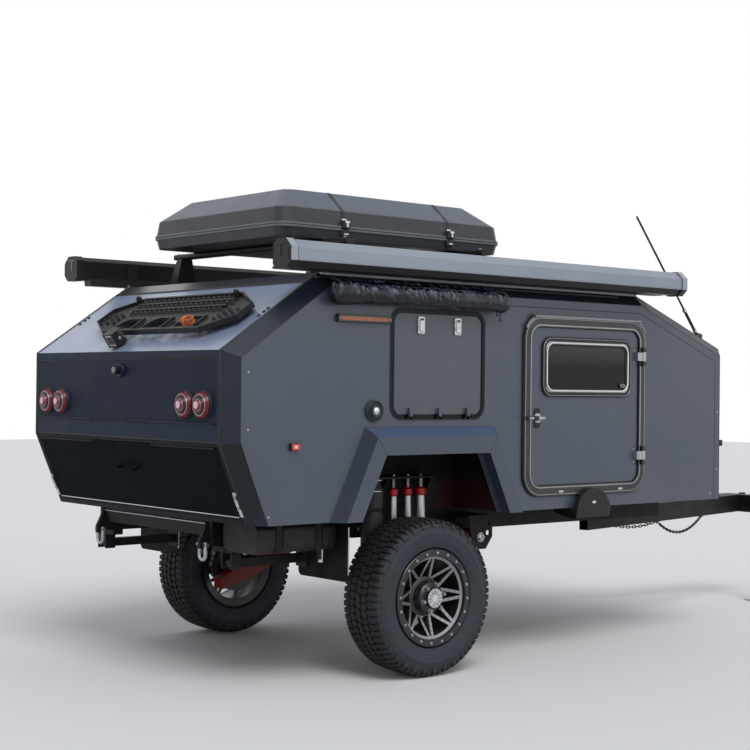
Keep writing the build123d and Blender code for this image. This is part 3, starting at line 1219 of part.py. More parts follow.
# Coupling head: a long eye with a vertical pin bore, bolted to the drawbar's nose
coupling_height = drawbar_low + DRAWBAR_DEPTH / 2
coupling_tail = at(COUPLING_STATION - COUPLING_LENGTH)
with BuildPart() as coupling:
    with BuildSketch(Plane.XY.offset(coupling_height - COUPLING_TALL / 2)):
        outline([
            (coupling_tail, -COUPLING_RADIUS), (coupling_tail + COUPLING_PLATE, -COUPLING_RADIUS),
            (coupling_tail + COUPLING_TAPER, -COUPLING_NECK), (at(COUPLING_STATION), -COUPLING_NECK),
            (at(COUPLING_STATION), COUPLING_NECK), (coupling_tail + COUPLING_TAPER, COUPLING_NECK),
            (coupling_tail + COUPLING_PLATE, COUPLING_RADIUS), (coupling_tail, COUPLING_RADIUS),
        ])
        with Locations((at(COUPLING_STATION), 0)):
            Circle(COUPLING_RADIUS)
            Circle(COUPLING_BORE, mode=Mode.SUBTRACT)
    extrude(amount=COUPLING_TALL)
    barrel((coupling_tail + 60, 0, coupling_height), UPRIGHT, COUPLING_TALL + 40, 24)
    barrel((coupling_tail + 60, 0, coupling_height), ALONG_Y, 2 * COUPLING_RADIUS + 30, 18)
keep(coupling, "coupling")

# Jack: outer tube clamped to the drawbar, with its crank, and the sliding leg with its foot
with BuildPart() as jack_tube:
    with BuildSketch(Plane.XY.offset(JACK_TUBE_LOW)):
        with Locations((at(JACK_STATION), JACK_ACROSS)):
            Circle(JACK_TUBE)
            Circle(JACK_LEG + JACK_BORE_GAP, mode=Mode.SUBTRACT)
    extrude(amount=JACK_TUBE_TOP - JACK_TUBE_LOW)
    with BuildSketch(Plane.XY.offset(JACK_TUBE_TOP)):
        with Locations((at(JACK_STATION), JACK_ACROSS)):
            Circle(JACK_TUBE + 4)
    extrude(amount=30)
    crank_x, crank_z = at(JACK_STATION), JACK_TUBE_TOP - 26
    crank_y = JACK_ACROSS - JACK_TUBE - JACK_CRANK_OUT
    shaft_y = (JACK_ACROSS - JACK_TUBE + crank_y) / 2
    barrel((crank_x, shaft_y, crank_z), ALONG_Y, JACK_CRANK_OUT + 10, 9)
    block((crank_x - 12, crank_y - 4, crank_z - JACK_CRANK_ARM), (crank_x + 12, crank_y + 4, crank_z + 14))
    barrel((crank_x, crank_y - 45, crank_z - JACK_CRANK_ARM + 14), ALONG_Y, 90, 13)
    with BuildSketch(Plane.XY.offset(drawbar_low)):
        with Locations((at(JACK_STATION), JACK_ACROSS + (JACK_TUBE + 2) / 2)):
            Rectangle(60, JACK_TUBE + 2)
        with Locations((at(JACK_STATION), JACK_ACROSS)):
            Circle(JACK_LEG + JACK_BORE_GAP, mode=Mode.SUBTRACT)
    extrude(amount=DRAWBAR_DEPTH)
keep(jack_tube, "jack_tube")

with BuildPart() as jack_leg:
    with BuildSketch(Plane.XY.offset(12)):
        with Locations((at(JACK_STATION), JACK_ACROSS)):
            Circle(JACK_LEG)
    extrude(amount=JACK_LEG_TOP - 12)
    with BuildSketch(Plane.XY):
        with Locations((at(JACK_STATION), JACK_ACROSS)):
            Circle(JACK_FOOT)
    extrude(amount=12)
keep(jack_leg, "jack_leg")

# Rear stabiliser legs, folded forward under the chassis
STABILISER_STATION = 280.0
STABILISER_HEIGHT = 612.0
STABILISER_ACROSS = RAIL_OUTER + 60
STABILISER_LENGTH = 430.0
with BuildPart() as stabiliser_brackets:
    for across in (STABILISER_ACROSS - 42, STABILISER_ACROSS + 34):
        with BuildSketch(side_plane(-across)):
            with Locations((at(STABILISER_STATION), (RAIL_BOTTOM - 18 + STABILISER_HEIGHT - 30) / 2)):
                Rectangle(60, RAIL_BOTTOM - 18 - STABILISER_HEIGHT + 30)
        extrude(amount=8)
    with BuildSketch(Plane.XY.offset(RAIL_BOTTOM - 28)):
        with Locations((at(STABILISER_STATION), -STABILISER_ACROSS)):
            Rectangle(60, 84)
    extrude(amount=10)
    with BuildSketch(Plane.XY.offset(RAIL_BOTTOM - 28)):
        with Locations((at(STABILISER_STATION), -rail_middle - 20)):
            Rectangle(60, 100)
    extrude(amount=28)
    with BuildSketch(side_plane(-STABILISER_ACROSS + 42)):
        with Locations((at(STABILISER_STATION), STABILISER_HEIGHT)):
            Circle(10)
    extrude(amount=84)
    mirror(about=Plane.XZ)
keep(stabiliser_brackets, "stabiliser_brackets")

with BuildPart() as stabiliser_right:
    with BuildSketch(Plane.YZ.offset(at(STABILISER_STATION))):
        with Locations((-STABILISER_ACROSS, STABILISER_HEIGHT)):
            Rectangle(44, 44)
    extrude(amount=STABILISER_LENGTH)
    with BuildSketch(Plane.YZ.offset(at(STABILISER_STATION + STABILISER_LENGTH))):
        with Locations((-STABILISER_ACROSS, STABILISER_HEIGHT)):
            Rectangle(90, 90)
    extrude(amount=8)
    with BuildSketch(side_plane(-STABILISER_ACROSS + 22)):
        with Locations((at(STABILISER_STATION), STABILISER_HEIGHT)):
            Circle(22)
    extrude(amount=44)
    with BuildSketch(side_plane(-STABILISER_ACROSS + 23)):
        with Locations((at(STABILISER_STATION), STABILISER_HEIGHT)):
            Circle(10 + RUN_GAP)
    extrude(amount=46, mode=Mode.SUBTRACT)
keep(stabiliser_right, "stabiliser_right")

with BuildPart() as stabiliser_left:
    mirror(stabiliser_right.part, about=Plane.XZ)
keep(stabiliser_left, "stabiliser_left")

# Fold-down entry steps under the doors: a bracket and a D-shaped tread
STEP_STATION = 2455.0
STEP_HALF = 138.0
STEP_AXIS = BODY_BOTTOM - 42
STEP_TALL = 150.0
STEP_OUT = BODY_HALF + 35
STEP_PIN = 8.0
with BuildPart() as step_brackets:
    for offset_x in (-STEP_HALF - 14, STEP_HALF + 6):
        with BuildSketch(Plane.YZ.offset(at(STEP_STATION) + offset_x)):
            outline([(-(BODY_HALF - 120), BODY_BOTTOM), (-(BODY_HALF - 120), BODY_BOTTOM - 30),
                     (-(STEP_OUT - 14), STEP_AXIS - 18), (-(STEP_OUT + 18), STEP_AXIS - 18),
                     (-(STEP_OUT + 18), STEP_AXIS + 18), (-(BODY_HALF - 4), BODY_BOTTOM)])
        extrude(amount=8)
    with BuildSketch(Plane.YZ.offset(at(STEP_STATION) - STEP_HALF - 14)):
        with Locations((-STEP_OUT, STEP_AXIS)):
            Circle(STEP_PIN)
    extrude(amount=2 * STEP_HALF + 28)
    mirror(about=Plane.XZ)
keep(step_brackets, "step_brackets")

step_rear, step_front = at(STEP_STATION) - STEP_HALF, at(STEP_STATION) + STEP_HALF
step_low, step_high = STEP_AXIS - 12, STEP_AXIS + 40
with BuildPart() as step_right:
    with BuildSketch(side_plane(-STEP_OUT + 14)):
        with BuildLine():
            Polyline((step_rear, step_high), (step_rear, step_low), (step_front, step_low), (step_front, step_high))
            ThreePointArc((step_front, step_high), (at(STEP_STATION), STEP_AXIS + STEP_TALL), (step_rear, step_high))
        make_face()
    extrude(amount=28)
    with BuildSketch(Plane.YZ.offset(at(STEP_STATION) - STEP_HALF - 1)):
        with Locations((-STEP_OUT, STEP_AXIS)):
            Circle(STEP_PIN + RUN_GAP)
    extrude(amount=2 * STEP_HALF + 2, mode=Mode.SUBTRACT)
keep(step_right, "step_right")

with BuildPart() as step_left:
    mirror(step_right.part, about=Plane.XZ)
keep(step_left, "step_left")

# Roof bars on their feet
with BuildPart() as roof_bars:
    for station in BAR_STATIONS:
        with BuildSketch(Plane.XZ.offset(-BAR_HALF)):
            with Locations((at(station), BAR_TOP - BAR_DEPTH / 2)):
                RectangleRounded(BAR_WIDTH, BAR_DEPTH, 12)
        extrude(amount=2 * BAR_HALF)
        for across in (-1, 1):
            with BuildSketch(Plane.XY.offset(ROOF_HEIGHT)):
                with Locations((at(station), across * (BAR_HALF - 50))):
                    Rectangle(150, 90)
            with BuildSketch(Plane.XY.offset(BAR_TOP - BAR_DEPTH + 2)):
                with Locations((at(station), across * (BAR_HALF - 70))):
                    Rectangle(70, 50)
            loft()
keep(roof_bars, "roof_bars")

# Roof case: tray and lid, closed at a seam, hinged on the left
case_mid = at(CASE_REAR_STATION + CASE_LENGTH / 2)
case_hinge_y = CASE_WIDTH / 2 + KNUCKLE_BARREL + 2
tray_rim = CASE_SEAM - CASE_PARTING / 2
lid_rim = CASE_SEAM + CASE_PARTING / 2
crown_top = CASE_CREST - CASE_RIB_TALL
rib_half = CASE_LENGTH / 2 - CASE_CROWN_DRAW - 40


def case_shell(low, low_draw, high, high_draw, skin, mode):
    """Tapered length of the roof case between two heights, drawn in at each, for the part it is called in."""
    faces = []
    for height, draw in ((low, low_draw), (high, high_draw)):
        size_x, size_y = CASE_LENGTH - 2 * (draw + skin), CASE_WIDTH - 2 * (draw + skin)
        with BuildSketch(Plane.XY.offset(height), mode=Mode.PRIVATE) as level:
            with Locations((case_mid, 0)):
                RectangleRounded(size_x, size_y, CASE_CORNER - skin)
        faces.append(level.sketch)
    loft(faces, mode=mode)


with BuildPart() as case_tray:
    case_shell(BAR_TOP, CASE_TRAY_DRAW, tray_rim, 0, 0, Mode.ADD)
    case_shell(BAR_TOP + CASE_SKIN, CASE_TRAY_DRAW, tray_rim, 0, CASE_SKIN, Mode.SUBTRACT)
    for offset_x in CASE_HINGES:
        barrel((case_mid + offset_x, case_hinge_y, CASE_SEAM), ALONG_X, 3 * KNUCKLE + 2, KNUCKLE_PIN)
        for end in (-1, 1):
            middle = case_mid + offset_x + end * (KNUCKLE + 1)
            barrel((middle, case_hinge_y, CASE_SEAM), ALONG_X, KNUCKLE, KNUCKLE_BARREL)
            block((middle - KNUCKLE / 2, CASE_WIDTH / 2 - CASE_SKIN, CASE_SEAM - 22),
                  (middle + KNUCKLE / 2, case_hinge_y, tray_rim))
    for offset_x in CASE_CATCHES:
        low_x, high_x = case_mid + offset_x - CASE_CATCH_WIDTH / 2, case_mid + offset_x + CASE_CATCH_WIDTH / 2
        block((low_x, -CASE_WIDTH / 2 - CASE_CATCH_OUT / 2, tray_rim - CASE_CATCH_TALL / 2),
              (high_x, -CASE_WIDTH / 2 + CASE_SKIN, tray_rim))
keep(case_tray, "case_tray")

with BuildPart() as case_lid:
    case_shell(lid_rim, 0, CASE_SHOULDER, CASE_WALL_DRAW, 0, Mode.ADD)
    case_shell(CASE_SHOULDER, CASE_WALL_DRAW, crown_top, CASE_CROWN_DRAW, 0, Mode.ADD)
    for offset_y in CASE_RIB_PLACES:
        block((case_mid - rib_half, offset_y - CASE_RIB_WIDTH / 2, crown_top - CASE_RIB_TALL),
              (case_mid + rib_half, offset_y + CASE_RIB_WIDTH / 2, CASE_CREST))
    case_shell(lid_rim, 0, CASE_SHOULDER, CASE_WALL_DRAW, CASE_SKIN, Mode.SUBTRACT)
    case_shell(CASE_SHOULDER, CASE_WALL_DRAW, crown_top - CASE_SKIN, CASE_CROWN_DRAW, CASE_SKIN, Mode.SUBTRACT)
    for offset_x in CASE_HINGES:
        middle = case_mid + offset_x
        barrel((middle, case_hinge_y, CASE_SEAM), ALONG_X, KNUCKLE, KNUCKLE_BARREL)
        block((middle - KNUCKLE / 2, CASE_WIDTH / 2 - CASE_SKIN, lid_rim),
              (middle + KNUCKLE / 2, case_hinge_y, CASE_SEAM + 22))
        barrel((middle, case_hinge_y, CASE_SEAM), ALONG_X, KNUCKLE + 2, KNUCKLE_PIN + RUN_GAP, Mode.SUBTRACT)
    for offset_x in CASE_CATCHES:
        low_x, high_x = case_mid + offset_x - CASE_CATCH_WIDTH / 2, case_mid + offset_x + CASE_CATCH_WIDTH / 2
        block((low_x, -CASE_WIDTH / 2 - CASE_CATCH_OUT, lid_rim),
              (high_x, -CASE_WIDTH / 2 + CASE_SKIN, lid_rim + CASE_CATCH_TALL / 2))
keep(case_lid, "case_lid")

# Awning cassettes: extruded housings with larger end caps, on brackets from the roof's edge
def awning_section(side, low, grow):
    """Outline of a cassette across the trailer, grown all round by a margin towards its outer side."""
    inner, outer = side * AWNING_INNER, side * (AWNING_OUTER - AWNING_CAP_STEP + grow)
    reach = outer - inner
    bottom, top = low + AWNING_CAP_STEP - grow, low + AWNING_TALL - AWNING_CAP_STEP + grow
    return [(inner, bottom + 20), (inner, top - 22), (inner + reach * 0.16, top),
            (outer - reach * 0.3, top), (outer, top - 40), (outer, bottom + 34),
            (outer - reach * 0.24, bottom), (inner + reach * 0.2, bottom)]


for name, side, rear_station, length, low in (
    ("awning_right", -1, AWNING_REAR_STATION, AWNING_LENGTH, AWNING_LOW),
    ("awning_left", 1, LEFT_AWNING_REAR_STATION, LEFT_AWNING_LENGTH, LEFT_AWNING_LOW),
):
    with BuildPart() as awning:
        with BuildSketch(cross_plane(rear_station)):
            outline(awning_section(side, low, 0))
        extrude(amount=length)
        for station in (rear_station, rear_station + length - AWNING_CAP):
            with BuildSketch(cross_plane(station)):
                outline(awning_section(side, low, AWNING_CAP_STEP))
            extrude(amount=AWNING_CAP)
    keep(awning, name)

with BuildPart() as awning_brackets:
    for station in BRACKET_STATIONS:
        for side, low in ((-1, AWNING_LOW), (1, LEFT_AWNING_LOW)):
            foot, sheet_top = side * (FLAT_HALF - BRACKET_FOOT), ROOF_HEIGHT + BRACKET_SHEET
            back = side * (AWNING_INNER - SEAT_GAP)
            back_in, back_top = back - side * BRACKET_SHEET, low + AWNING_TALL - 25
            with BuildSketch(cross_plane(station)):
                outline([(foot, ROOF_HEIGHT), (foot, sheet_top), (back_in, sheet_top),
                         (back_in, back_top), (back, back_top), (back, ROOF_HEIGHT)])
            extrude(amount=BRACKET_WIDTH)
    keder_in = EDGE_CHAMFER * KEDER_SHARE
    keder_off = (KEDER_RADIUS + SEAT_GAP) * cos(radians(45))
    keder_z = ROOF_HEIGHT - EDGE_CHAMFER + keder_in + keder_off
    with BuildSketch(cross_plane(KEDER_REAR_STATION)):
        with Locations((-BODY_HALF + keder_in - keder_off, keder_z)):
            Circle(KEDER_RADIUS)
    extrude(amount=KEDER_LENGTH)
keep(awning_brackets, "awning_brackets")

# Rolled vinyl pouch hanging against the wall from the rail under the right awning
with BuildPart() as pouch:
    with BuildSketch(cross_plane(POUCH_REAR_STATION)):
        with Locations((-(BODY_HALF + POUCH_THICK / 2 + SEAT_GAP), ROOF_HEIGHT - POUCH_DROP)):
            Ellipse(POUCH_THICK / 2, POUCH_TALL / 2)
    extrude(amount=POUCH_LENGTH)
keep(pouch, "pouch")

# Traction board on two studs over the rear slope
slope_run = hypot(ROOF_REAR_STATION, ROOF_HEIGHT - REAR_SHOULDER_HEIGHT)
slope_plane = Plane(
    origin=(at(0), 0, REAR_SHOULDER_HEIGHT),
    x_dir=(0, -1, 0),
    z_dir=(-(ROOF_HEIGHT - REAR_SHOULDER_HEIGHT) / slope_run, 0, ROOF_REAR_STATION / slope_run),
)


def board_outline(margin):
    """Outline of the traction board, with pointed ends, drawn in by a margin."""
    side = (BOARD_LENGTH / 2 - BOARD_POINT - margin / 2, BOARD_WIDTH / 2 - margin)
    tip = (BOARD_LENGTH / 2 - margin, BOARD_END / 2)
    corners = [side, tip, (tip[0], -tip[1]), (side[0], -side[1])]
    corners += [(-x, -y) for x, y in corners]
    return [(BOARD_ACROSS + x, BOARD_UP + y) for x, y in corners]


def on_board(places):
    """Places given from the board's middle, as places on the slope."""
    return Locations(*[(BOARD_ACROSS + x, BOARD_UP + y) for x, y in places])


board_top = BOARD_LIFT + BOARD_RIM
board_sheet = board_top - BOARD_SUNK
window_low = -BOARD_WIDTH / 2 + 2 * BOARD_LIP
with BuildPart() as traction_board:
    with BuildSketch(slope_plane.offset(BOARD_LIFT)):
        outline(board_outline(0))
    extrude(amount=BOARD_RIM)
    with BuildSketch(slope_plane.offset(board_sheet)):
        outline(board_outline(BOARD_LIP))
    extrude(amount=BOARD_SUNK, mode=Mode.SUBTRACT)
    with BuildSketch(slope_plane.offset(BOARD_LIFT)):
        outline(board_outline(BOARD_LIP))
    extrude(amount=BOARD_RIM - BOARD_SUNK - BOARD_SHEET, mode=Mode.SUBTRACT)
    for middle in BOARD_WINDOWS:
        with BuildSketch(slope_plane.offset(board_sheet)):
            with on_board([(middle, window_low + BOARD_WINDOW_TALL / 2)]):
                Rectangle(BOARD_WINDOW + 2 * BOARD_LIP, BOARD_WINDOW_TALL + 2 * BOARD_LIP)
        extrude(amount=BOARD_SUNK - BOARD_SHEET)
        left, right = BOARD_ACROSS + middle - BOARD_WINDOW / 2, BOARD_ACROSS + middle + BOARD_WINDOW / 2
        low, high = BOARD_UP + window_low, BOARD_UP + window_low + BOARD_WINDOW_TALL
        with BuildSketch(slope_plane.offset(BOARD_LIFT)):
            with BuildLine():
                Line((left, low), (right, low))
                Line((right, low), (right, high))
                Line((right, high), (left + BOARD_WINDOW_SWEEP, high))
                TangentArc((left + BOARD_WINDOW_SWEEP, high), (left, low), tangent=(-1, 0))
            make_face()
        extrude(amount=BOARD_RIM, mode=Mode.SUBTRACT)
    with BuildSketch(slope_plane.offset(BOARD_LIFT)):
        with on_board([(middle, window_low + BOARD_SLOT / 2) for middle in BOARD_SLOTS]):
            Rectangle(BOARD_SLOT, BOARD_SLOT)
    extrude(amount=BOARD_RIM, mode=Mode.SUBTRACT)
    for up, count, turn in BOARD_ROWS:
        first = turn - (count - 1) / 2
        with BuildSketch(slope_plane.offset(board_sheet)):
            with on_board([((first + step) * BOARD_CLEAT_PITCH, up) for step in range(count)]):
                Rectangle(BOARD_CLEAT, BOARD_CLEAT)
        extrude(amount=BOARD_SUNK - 1, taper=20)
    for up, length in BOARD_RIDGES:
        with BuildSketch(slope_plane.offset(board_sheet)):
            with on_board([(0, up)]):
                SlotOverall(length, BOARD_RIDGE)
        extrude(amount=BOARD_SUNK - BOARD_SHEET)
    out, columns, rows = BOARD_KNOBS
    for end in (-1, 1):
        with BuildSketch(slope_plane.offset(board_sheet)):
            with on_board([(end * (out + column * BOARD_KNOB_PITCH),
                            (row - (rows - 1) / 2 + column % 2 / 2) * BOARD_KNOB_PITCH - BOARD_KNOB_PITCH)
                           for column in range(columns) for row in range(rows)]):
                RegularPolygon(BOARD_KNOB, 6)
        extrude(amount=BOARD_SUNK - BOARD_SHEET, taper=15)
    with BuildSketch(slope_plane):
        with on_board([(stud, BOARD_STUD_UP) for stud in BOARD_STUDS]):
            Circle(BOARD_STUD)
    extrude(amount=board_top + BOARD_STUD * 3)
    with BuildSketch(slope_plane.offset(board_top)):
        with on_board([(stud, BOARD_STUD_UP) for stud in BOARD_STUDS]):
            RegularPolygon(BOARD_KNOB_NUT, 8)
    extrude(amount=BOARD_KNOB_NUT)
keep(traction_board, "traction_board")

# Hank of soft rope looped through the board's right-hand window
with BuildPart() as rope_hank:
    with BuildSketch(slope_plane.offset(SEAT_GAP)):
        with on_board([(BOARD_WINDOWS[2], window_low + BOARD_WINDOW_TALL / 2)]):
            RectangleRounded(HANK_WIDE, HANK_TALL, HANK_TALL * 0.4)
    extrude(amount=HANK_TOP)
    chamfer(rope_hank.faces().sort_by(Axis((0, 0, 0), slope_plane.z_dir))[-1].edges(), HANK_TALL * 0.25)
keep(rope_hank, "rope_hank")

# Work light at the foot of the rear slope: a finned housing between the arms of a bent bracket
light_top = LIGHT_LIFT + LIGHT_TALL
light_side = LIGHT_WIDE / 2 + LIGHT_BRACKET
lens_middle = (LIGHT_ACROSS, LIGHT_UP - LIGHT_DEEP / 2, LIGHT_LIFT + LIGHT_TALL / 2)
with BuildPart() as work_light:
    with BuildSketch(slope_plane.offset(LIGHT_LIFT)):
        with Locations((LIGHT_ACROSS, LIGHT_UP - LIGHT_DEEP / 4)):
            Rectangle(LIGHT_WIDE, LIGHT_DEEP / 2)
    extrude(amount=LIGHT_TALL)
    for step in range(LIGHT_FINS):
        fin = LIGHT_LIFT + (LIGHT_TALL - LIGHT_FIN) * step / (LIGHT_FINS - 1)
        with BuildSketch(slope_plane.offset(fin)):
            with Locations((LIGHT_ACROSS, LIGHT_UP)):
                Rectangle(LIGHT_WIDE, LIGHT_DEEP)
        extrude(amount=LIGHT_FIN)
    lens = Plane(origin=slope_plane.from_local_coords(lens_middle), x_dir=(0, -1, 0), z_dir=-slope_plane.y_dir)
    with BuildSketch(lens.offset(-LIGHT_LENS_DEPTH)):
        RectangleRounded(LIGHT_WIDE - 14, LIGHT_TALL - 14, 8)
    extrude(amount=LIGHT_LENS_DEPTH, mode=Mode.SUBTRACT)
    for side in (-1, 1):
        with BuildSketch(slope_plane):
            with Locations((LIGHT_ACROSS + side * (light_side - LIGHT_BRACKET / 2), LIGHT_UP)):
                Rectangle(LIGHT_BRACKET, LIGHT_BRACKET_WIDE)
        extrude(amount=light_top * 0.72)
    with BuildSketch(slope_plane):
        with Locations((LIGHT_ACROSS, LIGHT_UP)):
            Rectangle(2 * light_side, LIGHT_BRACKET_WIDE)
    extrude(amount=LIGHT_BRACKET)
keep(work_light, "work_light")

# Side lights: amber strips by the hatches and rear marker lamps
with BuildPart() as side_lights:
    for (station, height, length, tall), corner in ((STRIP_LIGHT, 10), (MARKER_LIGHT, 8)):
        with BuildSketch(side_plane(-BODY_HALF - SEAT_GAP)):
            with Locations((at(station), height)):
                RectangleRounded(length, tall, corner)
        extrude(amount=SIDE_LIGHT_PROUD, taper=12)
    mirror(about=Plane.XZ)
keep(side_lights, "side_lights")

# Power inlet with its round cap
with BuildPart() as power_inlet:
    with BuildSketch(side_plane(-BODY_HALF - SEAT_GAP)):
        with Locations((at(INLET[0]), INLET[1])):
            Circle(INLET_RADIUS)
    extrude(amount=INLET_PROUD * 0.6, taper=12)
    with BuildSketch(side_plane(-BODY_HALF - SEAT_GAP - INLET_PROUD * 0.6)):
        with Locations((at(INLET[0]), INLET[1])):
            Circle(INLET_CAP)
    extrude(amount=INLET_PROUD * 0.4)
keep(power_inlet, "power_inlet")

# Whip antenna on the front slope
front_lean = atan2(ROOF_HEIGHT - FRONT_SHOULDER_HEIGHT, BODY_LENGTH - ROOF_FRONT_STATION)
antenna_foot = ROOF_HEIGHT - (ANTENNA_STATION - ROOF_FRONT_STATION) * tan(front_lean)
antenna_seat = Plane(
    origin=(at(ANTENNA_STATION), ANTENNA_ACROSS, antenna_foot),
    x_dir=(0, 1, 0),
    z_dir=(sin(front_lean), 0, cos(front_lean)),
)
antenna_rod = Plane(
    origin=(at(ANTENNA_STATION), ANTENNA_ACROSS, antenna_foot + 30),
    x_dir=(0, 1, 0),
    z_dir=(-sin(radians(ANTENNA_LEAN)), 0, cos(radians(ANTENNA_LEAN))),
)
with BuildPart() as antenna:
    with BuildSketch(antenna_seat):
        Circle(32)
    extrude(amount=40, taper=10)
    with BuildSketch(antenna_rod):
        Circle(9)
    extrude(amount=ANTENNA_COIL)
    with BuildSketch(antenna_rod):
        Circle(4)
    extrude(amount=ANTENNA_LENGTH)
keep(antenna, "antenna")
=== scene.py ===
"""Faceted off-road camper trailer: its finished look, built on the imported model's frame."""

from math import cos, hypot, pi, radians, sin

import bmesh
import bpy
from mathutils import Matrix, Vector, noise


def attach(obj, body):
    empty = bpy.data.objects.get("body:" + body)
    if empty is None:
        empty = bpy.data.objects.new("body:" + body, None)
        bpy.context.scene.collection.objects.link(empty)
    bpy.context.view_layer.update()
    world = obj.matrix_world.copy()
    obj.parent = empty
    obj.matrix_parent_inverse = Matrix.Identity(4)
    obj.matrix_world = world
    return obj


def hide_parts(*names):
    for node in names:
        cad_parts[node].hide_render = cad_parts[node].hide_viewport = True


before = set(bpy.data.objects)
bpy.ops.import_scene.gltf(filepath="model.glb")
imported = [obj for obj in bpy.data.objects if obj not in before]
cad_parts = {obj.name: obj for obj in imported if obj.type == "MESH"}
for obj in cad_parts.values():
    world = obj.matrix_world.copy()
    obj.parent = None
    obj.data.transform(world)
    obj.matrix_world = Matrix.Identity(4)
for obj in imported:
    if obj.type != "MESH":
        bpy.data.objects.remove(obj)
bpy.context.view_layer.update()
scene = bpy.context.scene

# The viewing place: a long lens low behind the trailer's right rear corner, so that
# both the rear face and the right side show. The angles are those of the photograph.
EYE = Vector((-6.7414, -6.8207, 1.4832))
LOOK_YAW = radians(49.9352)
LOOK_PITCH = radians(0.4387)
LOOK_ROLL = radians(0.639)
LENS = 73.70

ahead = Vector((cos(LOOK_YAW) * cos(LOOK_PITCH), sin(LOOK_YAW) * cos(LOOK_PITCH), sin(LOOK_PITCH)))
level_right = Vector((sin(LOOK_YAW), -cos(LOOK_YAW), 0.0))
level_up = level_right.cross(ahead)
to_right = level_right * cos(LOOK_ROLL) + level_up * sin(LOOK_ROLL)
to_top = level_up * cos(LOOK_ROLL) - level_right * sin(LOOK_ROLL)
lens = bpy.data.cameras.new("viewpoint")
lens.lens = LENS
lens.sensor_width = 36.0
lens.clip_end = 200.0


def placed(name, data):
    """A new object that holds the data and stands in the scene."""
    made = bpy.data.objects.new(name, data)
    scene.collection.objects.link(made)
    return made


viewpoint = placed("viewpoint", lens)
viewpoint.matrix_world = Matrix.Translation(EYE) @ Matrix((to_right, to_top, -ahead)).transposed().to_4x4()
scene.camera = viewpoint

# The studio: a plain pale floor that runs out to a white surround, one broad soft lamp
# high over the right side, a weaker one along it, and an even world light.
FLOOR_HALF = 30.0
FLOOR_PALE = (0.78, 0.78, 0.79, 1.0)
WORLD_TINT = (0.93, 0.96, 1.0, 1.0)
WORLD_LIGHT = 0.50
SUN_LAMPS = (
    ("sun_key", 1.35, (38.0, 0.0, -24.0), 30.0),
    ("sun_side", 0.30, (66.0, 0.0, 20.0), 45.0),
)


def node(tree, kind, output, feeds, **settings):
    """Adds a node to a tree; feeds names each socket's source, another node's output or a plain value."""
    made = tree.nodes.new(kind)
    for name, value in settings.items():
        setattr(made, name, value)
    for socket, source in feeds.items():
        if isinstance(source, bpy.types.NodeSocket):
            tree.links.new(source, made.inputs[socket])
        elif isinstance(source, tuple) and len(source) == 3 and len(made.inputs[socket].default_value) == 4:
            made.inputs[socket].default_value = (*source, 1.0)
        else:
            made.inputs[socket].default_value = source
    return made.outputs[output]


world = bpy.data.worlds.new("surround")
scene.world = world
world.use_nodes = True
wires = world.node_tree
wires.nodes.clear()
even = node(wires, "ShaderNodeBackground", "Background", {"Color": WORLD_TINT, "Strength": WORLD_LIGHT})
white = node(wires, "ShaderNodeBackground", "Background", {"Color": (1.0, 1.0, 1.0), "Strength": 1.0})
rays = wires.nodes.new("ShaderNodeLightPath").outputs
seen = rays["Is Camera Ray"]
for kind in ("Is Glossy Ray", "Is Transmission Ray"):
    seen = node(wires, "ShaderNodeMath", "Value", {0: seen, 1: rays[kind]}, operation="MAXIMUM")
surface = node(wires, "ShaderNodeMixShader", "Shader", {"Fac": seen, 1: even, 2: white})
wires.links.new(surface, wires.nodes.new("ShaderNodeOutputWorld").inputs["Surface"])

for name, strength, turned, spread in SUN_LAMPS:
    sun = bpy.data.lights.new(name, "SUN")
    sun.energy = strength
    sun.angle = radians(spread)
    lamp = placed(name, sun)
    lamp.rotation_euler = [radians(a) for a in turned]

floor_mesh = bpy.data.meshes.new("studio_floor")
shell = bmesh.new()
corners = [shell.verts.new((x * FLOOR_HALF, y * FLOOR_HALF, -0.001)) for x, y in ((-1, -1), (1, -1), (1, 1), (-1, 1))]
shell.faces.new(corners)
shell.to_mesh(floor_mesh)
shell.free()
studio_floor = placed("studio_floor", floor_mesh)
pale = bpy.data.materials.new("pale_floor")
pale.use_nodes = True
paint = pale.node_tree.nodes["Principled BSDF"].inputs
paint["Base Color"].default_value = FLOOR_PALE
paint["Roughness"].default_value = 0.9
floor_mesh.materials.append(pale)

scene.view_settings.view_transform = "Standard"


